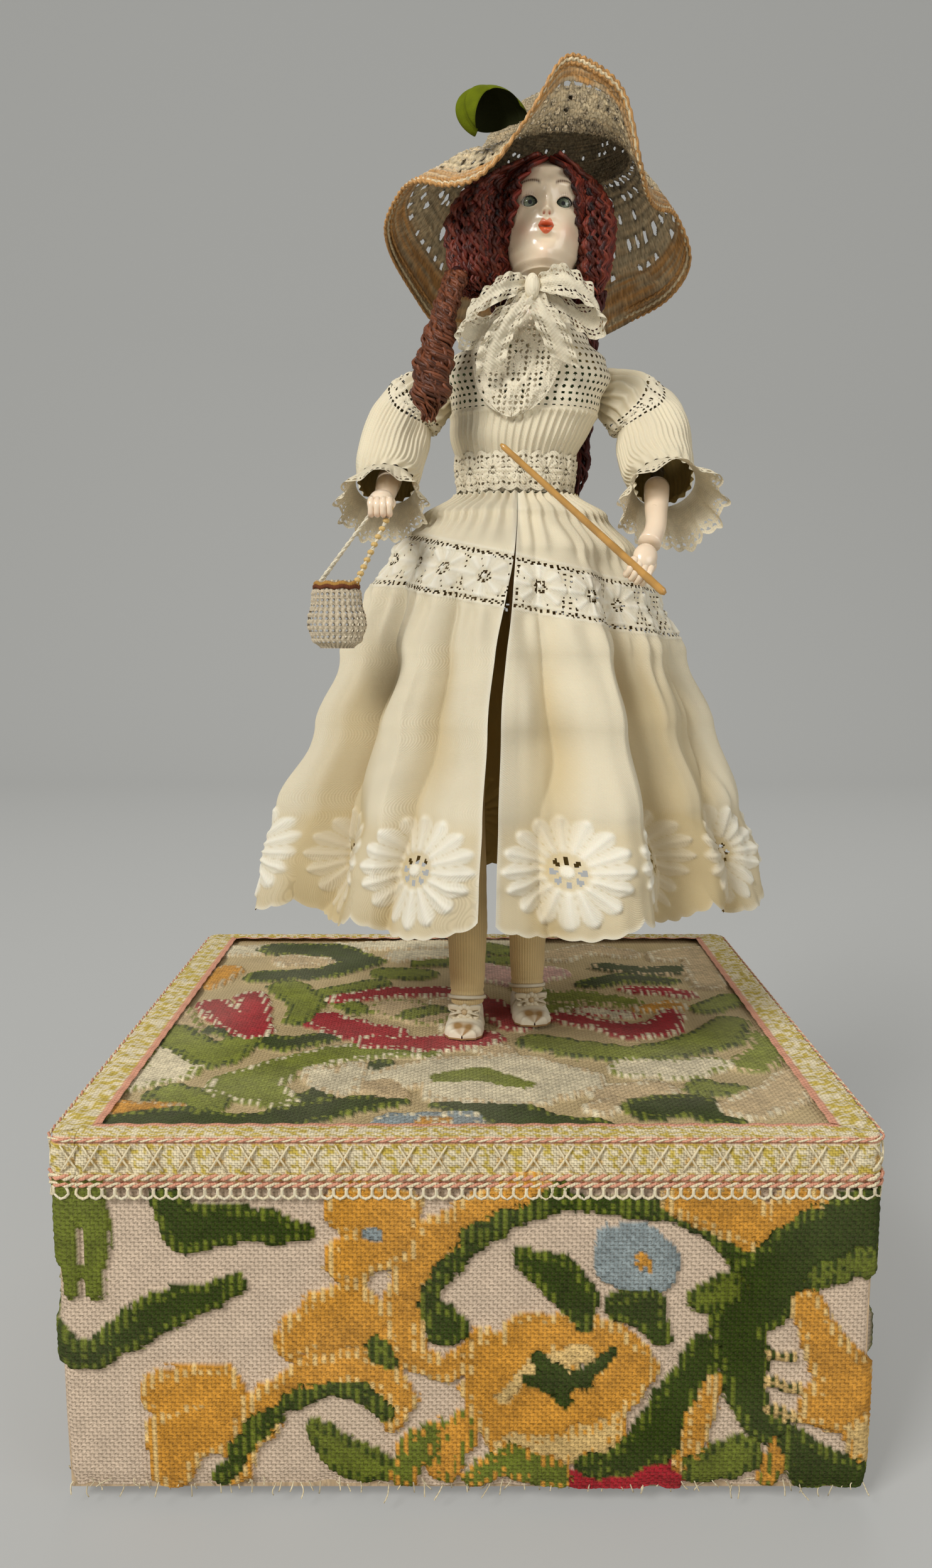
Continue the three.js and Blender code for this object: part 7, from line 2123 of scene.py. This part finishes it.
@dataclass
class Wig(SubAssembly):
    """The wavy mohair wig: a core in painted shade under the locks, a long curl in front and a tress behind.
    """

    head: Head
    wave: float = 1.25
    wave_length: float = 6.2
    front_locks: int = 54
    back_locks: int = 130
    front_line: tuple[tuple[float, float], ...] = (
        (0.3, 41.5), (5, 37.8), (8.6, 34), (10.4, 29.5), (11, 24.5), (12.4, 17.5), (13.4, 11), (13.6, 4),
        (14.5, -3),
    )
    core: tuple[Spot, Spot] = ((0.0, 3.5, 24.0), (19.5, 20.5, 23.0))
    lobes: tuple[tuple[Spot, Spot, int], ...] = (
        ((-23.5, -2.0, 18.0), (12.0, 12.0, 19.0), 330), ((18.5, 0.0, 19.0), (7.5, 12.0, 18.0), 230),
    )

    def lock(self, shape: Shape, spots: Sequence[Spot], seed: int, radius: float) -> None:
        """Adds a wavy lock.

        Args:
            shape: What it is added to.
            spots: Spots along it on the head, from the root to the tip.
            seed: Tells its colour and wave from others.
            radius: Its radius at the root.
        """
        count = 44
        path = self.head.place(spline(spots, count))
        run = run_along(path)
        lots = cell_shares(np.array([[seed, n, 7] for n in range(4)]), 91)
        tuft = cell_shares(np.array([[seed // 6, n, 8] for n in range(2)]), 91)
        phase = run / (self.wave_length * (0.85 + 0.3 * tuft[1])) * TURN + 6 * tuft[0] + 0.7 * lots[0]
        size = self.wave * smooth(run / 14) * (0.6 + 0.8 * lots[1])
        path = path + (size * np.sin(phase))[:, None] * np.array([0.75, 0.35, 0.3])
        path = path + (size * np.cos(phase * 0.93))[:, None] * np.array([0.1, 0.75, 0.1])
        share = np.linspace(0, 1, count)
        thick = radius * (1 - 0.75 * ramp(share, 0.7, 0.3))
        light = 0.4 + 1.6 * lots[2] ** 2 + 0.6 * tuft[1] + 0.5 * np.sin(phase)
        tint = lerp(Tint.HAIR.rgb, Tint.BROWN_HAIR.rgb, 0.35 * lots[3]) * light[:, None]
        shape.tube(path, thick, tint, sides=5)

    def build(self) -> None:
        """Makes the wig."""
        shape = Shape()
        # Painted shade: the core under the locks is a quarter as bright as the hair
        dark = Tint.HAIR.rgb * 0.25
        inner = Shape()
        inner.ball(*self.core, dark, 28)
        for centre, radii, _ in self.lobes:
            inner.ball(centre, np.array(radii) * 0.86, dark, 18)
        spots = np.concatenate(inner.points)
        points = self.head.place(spots)
        faces = np.concatenate(inner.faces)
        middle = spots[faces].mean(axis=1)
        before_face = (middle[:, 1] < -4) & (np.abs(middle[:, 0]) < 15) & (middle[:, 2] < 41)
        shape.add(points, faces[~before_face], dark)
        for way, (centre, radii, count) in zip((-1, 1), self.lobes):
            self.add_lobe(shape, way, np.array(centre), np.array(radii), count)
            self.add_front(shape, way)
        self.add_back(shape)
        self.shop.piece(shape, "mohair_wig", MOHAIR, "head", ["wig"])
        self.build_falls()

    def add_lobe(self, shape: Shape, way: int, centre: Array, radii: Array, count: int) -> None:
        """Adds the locks of the mass of hair at one side."""
        for n in range(count):
            near = draws(4, n, way + 2, 90)
            lots = 0.8 * draws(4, n // 6, way + 2, 92) + 0.2 * near
            angle = TURN * (n // 6 * 0.618 % 1) + 0.35 * near[1]
            depth = 0.76 + 0.3 * lots[0]
            ring = np.array([math.cos(angle) * radii[0], math.sin(angle) * radii[1], 0]) * depth
            back = 4 - 16 * lots[2] + 5 * math.sin(angle)
            root = np.array([way * (2 + 9 * lots[1]), back, 43 - 4 * lots[1]])
            top = lerp(root, centre + ring * 0.75 + [0, 0, radii[2] * 0.75], 0.75)
            low = centre + ring * (0.75 + 0.2 * lots[3]) - [0, 0, radii[2] * (0.62 + 0.2 * lots[1])]
            tip = centre + ring * (0.35 + 0.3 * lots[3]) - [0, 0, radii[2] * (1.0 + 0.15 * lots[0])]
            spots = [root, top, centre + ring + [0, 0, radii[2] * 0.2], low, tip]
            self.lock(shape, spots, n + 1000 * (way + 2), 0.75)

    def add_front(self, shape: Shape, way: int) -> None:
        """Adds the locks that frame the face from the parting down."""
        for n in range(self.front_locks):
            lots = draws(3, n, way + 2, 93)
            out = 6.5 * n / self.front_locks
            spots = []
            for m, (x, z) in enumerate(self.front_line):
                across = x + out * (0.35 + 0.09 * m)
                up = z + 0.35 * out * max(0, 1 - m / 4)
                forward = float(self.head.front(np.array(across), np.array(min(max(up, 3), 43))))
                forward = min(forward, -8.5 + 0.3 * m) - 0.6 - (2.2 - 0.12 * m) * lots[0]
                spots.append((way * across + self.head.middle, forward, up))
            self.lock(shape, spots, n + 5000 * (way + 2), 0.62)

    def add_back(self, shape: Shape) -> None:
        """Adds the locks behind the head, from the crown down to the neck."""
        for n in range(self.back_locks):
            lots = draws(3, n, 5, 94)
            angle = math.radians(-15 + 210 * n / self.back_locks)
            way = np.array([math.cos(angle), math.sin(angle), 0])
            spots = [np.array([0, 3, 46]) + way * 3, way * [17, 18, 0] + [0, 3, 38 - 3 * lots[0]],
                     way * [20.5, 21, 0] + [0, 3, 24], way * [20, 20.5, 0] + [0, 3, 10],
                     way * [17, 18, 0] + [0, 3, -4 - 8 * lots[1]]]
            self.lock(shape, spots, n + 30000, 0.8)

    def build_falls(self) -> None:
        """Makes the long curl before the right shoulder and the tress behind the left one."""
        shape = Shape()
        falls = (
            (((-3, -13, 286), (-8, -24, 268), (-11.5, -29, 250), (-13.5, -30, 232)),
             6.6, 2.2, 64, Tint.BROWN_HAIR),
            (((50, 2, 283), (48, 18, 262), (47, 27, 240), (44, 29, 208)), 4.6, 1.8, 30, Tint.HAIR),
        )
        for spots, radius, turns, count, tint in falls:
            steps = 90
            middle = spline(spots, steps)
            share = np.linspace(0, 1, steps)
            for n in range(count):
                lots = draws(3, n, 9, 95)
                angle = share * turns * TURN + n * TURN / count + 0.35 * np.sin(share * 40 + 6 * lots[0])
                swell = (0.62 + 0.42 * ramp(share, 0.25, 0.45)) * (0.92 + 0.08 * np.sin(share * 31))
                reach = radius * swell * (0.7 + 0.35 * lots[1]) * (1 - 0.6 * ramp(share, 0.86, 0.14))
                reach = reach + 0.5 * np.sin(share * 75 + 9 * lots[1])
                path = middle + reach[:, None] * stack(np.cos(angle), np.sin(angle), 0.25 * np.sin(angle))
                path[-14:, 2] -= 2.5 * lots[2] * np.linspace(0, 1, 14) ** 2
                shade = tint.rgb * (0.35 + 0.8 * lots[2])
                shape.tube(path, 0.75 * (1 - 0.6 * ramp(share, 0.8, 0.2)), shade, sides=5)
            # Painted shade: a dark core inside each curl, darker than the hair
            core = radius * (0.4 + 0.35 * ramp(share, 0.25, 0.45)) * (1 - 0.8 * ramp(share, 0.82, 0.14))
            shape.tube(middle, core, Tint.HAIR.rgb * 0.3, sides=10)
        bend = ("neck", "root", (22.0, 0.0, 284.0), (22.0, 0.0, 256.0))
        self.shop.piece(shape, "curl_and_tress", MOHAIR, replaced=["wig"], bend=bend)


@dataclass
class Arms(SubAssembly):
    """The glazed forearms with their curled fingers, and the cane that the left hand holds."""

    right_line: tuple[Spot, ...] = ((-28.0, -4.0, 216.0), (-30.0, -30.0, 202.5), (-30.0, -42.0, 200.0))
    left_line: tuple[Spot, ...] = ((72.0, -11.0, 214.5), (67.0, -42.0, 192.0), (60.5, -54.0, 178.0))
    stick_line: tuple[Spot, Spot] = ((12.0, -47.0, 219.5), (68.0, -60.0, 168.0))
    palm_half: Spot = (4.3, 3.2, 5.4)
    fingers: int = 4

    def add_hand(self, shape: Shape, line: Sequence[Spot], grip: Array, thumb: Array) -> None:
        """Adds a forearm and a hand whose fingers close round something.

        Args:
            shape: What it is added to.
            line: The elbow, the wrist and the middle of the grip.
            grip: The direction of what the hand holds.
            thumb: The direction from the fingers to the thumb.
        """
        elbow, wrist, hand = (np.array(spot) for spot in line)
        skin, tip = Tint.BISQUE.rgb * [1.0, 0.98, 1.0], Tint.FINGER_TIP.rgb
        ahead = unit(hand - wrist)
        grip = unit(grip)
        thumb = unit(thumb - ahead * (thumb @ ahead))
        start = lerp(elbow, wrist, 0.3)
        arm = spline([start, lerp(start, wrist, 0.5), wrist, lerp(wrist, hand, 0.45)], 30)
        share = np.linspace(0, 1, 30)
        shape.tube(arm, 4.7 - 1.0 * smooth(share / 0.7) + 0.4 * ramp(share, 0.8, 0.2), skin, sides=24)
        palm = hand - ahead * 3.2 + thumb * 1.2
        across = np.cross(ahead, thumb)
        rise = column(-math.pi / 2, math.pi / 2, 22)
        angle = full_turn(36)
        ball = (np.cos(rise) * np.cos(angle))[..., None] * across * self.palm_half[0]
        ball = ball + (np.cos(rise) * np.sin(angle))[..., None] * thumb * self.palm_half[1]
        ball = ball + (np.sin(rise) + 0 * angle)[..., None] * ahead * self.palm_half[2]
        shape.grid(palm + ball[:, ::-1], skin, closed=True)
        for n in range(self.fingers):
            offset = across * (n - 1.5) * 2.1
            root = palm + ahead * 3.4 + offset
            reach = 1 - 0.12 * abs(n - 1.3)
            curl = [root, root + ahead * 3.4 * reach, root + ahead * 5.4 * reach - thumb * 1.6,
                    root + ahead * 5.2 * reach - thumb * 4.0, root + ahead * 2.6 * reach - thumb * 5.0]
            path = spline(curl, 26)
            part = column(0, 1, 26)
            tint = lerp(skin, tip, ramp(part, 0.6, 0.4))
            knuckle = 0.1 * np.cos(part[:, 0] * TURN * 2.5)
            thick = (1.5 - 0.4 * part[:, 0] + knuckle) * (1 - 0.5 * ramp(part[:, 0], 0.93, 0.07))
            shape.tube(path, thick, tint, 10)
        root = palm - ahead * 0.5 - across * 2.8
        curl = [root, root + ahead * 2.5 - across * 1.2 - thumb * 1.5,
                root + ahead * 5 + across * 0.6 - thumb * 3.6]
        path = spline(curl, 20)
        part = column(0, 1, 20)
        shape.tube(path, 1.45 - 0.4 * part[:, 0], lerp(skin, tip, ramp(part, 0.6, 0.4)), 10)

    def build(self) -> None:
        """Makes both forearms and the cane."""
        right = Shape()
        self.add_hand(right, self.right_line, np.array([1.0, 0, 0]), np.array([0.0, -0.2, 1.0]))
        self.shop.piece(right, "right_glazed_hand", BISQUE, "right_arm", ["right_forearm"])
        top, end = (np.array(spot) for spot in self.stick_line)
        left = Shape()
        self.add_hand(left, self.left_line, end - top, np.array([0.3, -0.9, 0.5]))
        self.shop.piece(left, "left_glazed_hand", BISQUE, "left_arm", ["left_forearm"])
        stick = Shape()
        path = lerp(top, end, column(0, 1, 60))
        share = np.linspace(0, 1, 60)
        bulge = 0.1 * bell(np.mod(share * 5, 1) - 0.5, 0.08)
        radius = (lerp(1.05, 1.4, share) + bulge) * np.clip(np.minimum(share, 1 - share) * 60, 0.45, 1)
        streak = (0.85 + 0.3 * cell_shares(stack(np.arange(60) // 4, 1, 1), 96))[:, None]
        stick.tube(path, radius, Tint.CANE.rgb * streak, sides=16)
        self.shop.piece(stick, "honey_cane", CANE, "left_arm", ["walking_stick"])


@dataclass
class Bag(SubAssembly):
    """The small crocheted bag with its ribbon rim and its two strands, one of them beaded."""

    centre: tuple[float, float] = (-45.0, -52.0)
    base: float = 149.5
    height: float = 23.0
    half: tuple[float, float] = (10.5, 7.0)
    rim_half: tuple[float, float] = (7.2, 5.1)
    mean_radius: float = 8.8
    hand: Spot = (-30.0, -42.0, 200.0)
    rows: tuple[Spot, ...] = (
        (0, 0.55, 0.55), (0.12, 0.84, 0.84), (0.35, 0.98, 1), (0.7, 0.84, 0.88), (1, 0.68, 0.72),
    )

    def build(self) -> None:
        """Makes the bag and its strands."""
        self.build_bag()
        self.build_strands()

    def build_bag(self) -> None:
        """Makes the crocheted bag with its round bottom."""
        angle = full_turn(260)
        v = column(0, 1, 90)
        wide, deep = (n[:, None] for n in read_rows(self.rows, np.clip(1 - v.ravel(), 0, 1)))
        girth = angle * self.mean_radius
        rib = np.abs(np.sin(angle * 14))
        stitch = np.sin(angle * 28) * np.sin(v * 60)
        out = 0.5 * rib + 0.25 * stitch + 0.5 * bell(v - 0.16, 0.05) + 0.3 * bell(v - 0.5, 0.03)
        holes = net_holes(girth, v * self.height, 2.1, 0.3) & (v < 0.92) & (v > 0.04)
        x = self.centre[0] + (wide * self.half[0] + out - 0.4) * np.cos(angle)
        y = self.centre[1] + (deep * self.half[1] + out - 0.4) * np.sin(angle)
        z = self.base + self.height * (1 - v) + 0.5 * np.abs(np.sin(angle * 10)) * ramp(v, 0.06, -0.06)
        tint = Tint.BAG.rgb * (0.8 + 0.25 * rib)[..., None] + 0 * z[..., None]
        shape = Shape()
        shape.grid(stack(x, y, z), tint, keep=~holes, closed=True, cloth=stack(girth, v * self.height, out))
        inward = column(1, 0.02, 14)
        low = stack(self.centre[0] + inward * 6.2 * np.cos(angle),
                    self.centre[1] + inward * 4 * np.sin(angle), self.base)
        shape.grid(low, Tint.BAG.rgb * 0.8, closed=True)
        bag = self.shop.piece(shape, "crocheted_bag", LACE_THREAD, "bag", ["bag"])

    def build_strands(self) -> None:
        """Makes the two rims and the strands that go up to the hand."""
        strands = Shape()
        for offset, tint, level in ((0.4, Tint.CANE, 0.9), (0.7, Tint.BROWN_HAIR, 1.9)):
            turn = np.linspace(0, TURN, 70, endpoint=False)
            rim = stack(self.centre[0] + (self.rim_half[0] + offset) * np.cos(turn),
                        self.centre[1] + (self.rim_half[1] + offset) * np.sin(turn),
                        self.base + self.height - level + 0.3 * np.sin(turn * 9))
            strands.tube(rim, 0.75, tint.rgb * 0.8, sides=6, closed=True, flatten=0.6)
        top = np.array(self.hand)
        rim_z = self.base + self.height
        for way, beaded in ((-1, False), (1, True)):
            foot = np.array([self.centre[0] + way * 6.6, self.centre[1], rim_z - 1.5])
            for depth in (-1, 1):
                hold = top + np.array([way * 3.2, depth * 0.8 - 1, -3])
                spots = [foot + [0, depth * 2.2, 0], lerp(foot, hold, 0.3) + [0, depth * 1.2, 0],
                         lerp(foot, hold, 0.65), hold, top + [way * 2, 0, 1.5], top + [0, 0, 1.8]]
                self.add_strand(strands, spots, beaded and depth < 0)
        self.shop.piece(strands, "twisted_strands", LACE_THREAD, "bag", ["bag_handle"])

    def add_strand(self, shape: Shape, spots: Sequence[Array], beaded: bool) -> None:
        """Adds a twisted strand, with beads on it where it is beaded."""
        path = spline(spots, 120)
        share = np.linspace(0, 1, 120)
        for phase in (0, math.pi):
            angle = share * 26 * TURN / 2 + phase
            twist = path + 0.32 * stack(np.cos(angle), np.sin(angle), 0.0)
            shape.tube(twist, 0.42, Tint.LACE.rgb * (0.85 + 0.1 * math.cos(phase)), sides=5)
        if beaded:
            for n in range(6, 90, 7):
                shape.ball(path[n], (1.25, 1.25, 1.0), Tint.PALE_GOLD.rgb * 0.9, 7)


def dress_movement(frame: dict, shop: Workshop) -> None:
    """Gives the box's wood, the movement and the rods their finishes."""
    by_slot = {"box_wood": BOX_WOOD, "dark_wood": FOOT_WOOD, "movement_brass": BRASS, "movement_steel": STEEL}
    for part in frame["record"]["subparts"]:
        if part["material_slot"] in by_slot:
            shop.dress_solid(frame, part["node"], by_slot[part["material_slot"]])
    shop.dress_solid(frame, "torso", GREEN_CLOTH)


def main() -> None:
    """Builds the pieces in order."""
    logging.basicConfig(level=logging.INFO, format="%(name)s: %(message)s")
    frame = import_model()
    shop = Workshop()
    dress_movement(frame, shop)
    cloth = BoxCloth(shop)
    head = Head(shop)
    sleeves = [Sleeve(shop, side, rows, cuff) for side, (rows, cuff) in SLEEVE_LINES.items()]
    parts = [cloth, EdgeBraid(shop, cloth), Legs(shop), Skirt(shop), Bodice(shop), *sleeves]
    parts += [head, Wig(shop, head), Hat(shop), Arms(shop), Bag(shop), Studio(shop)]
    for part in parts:
        part.build()


if __name__ == "__main__":
    main()
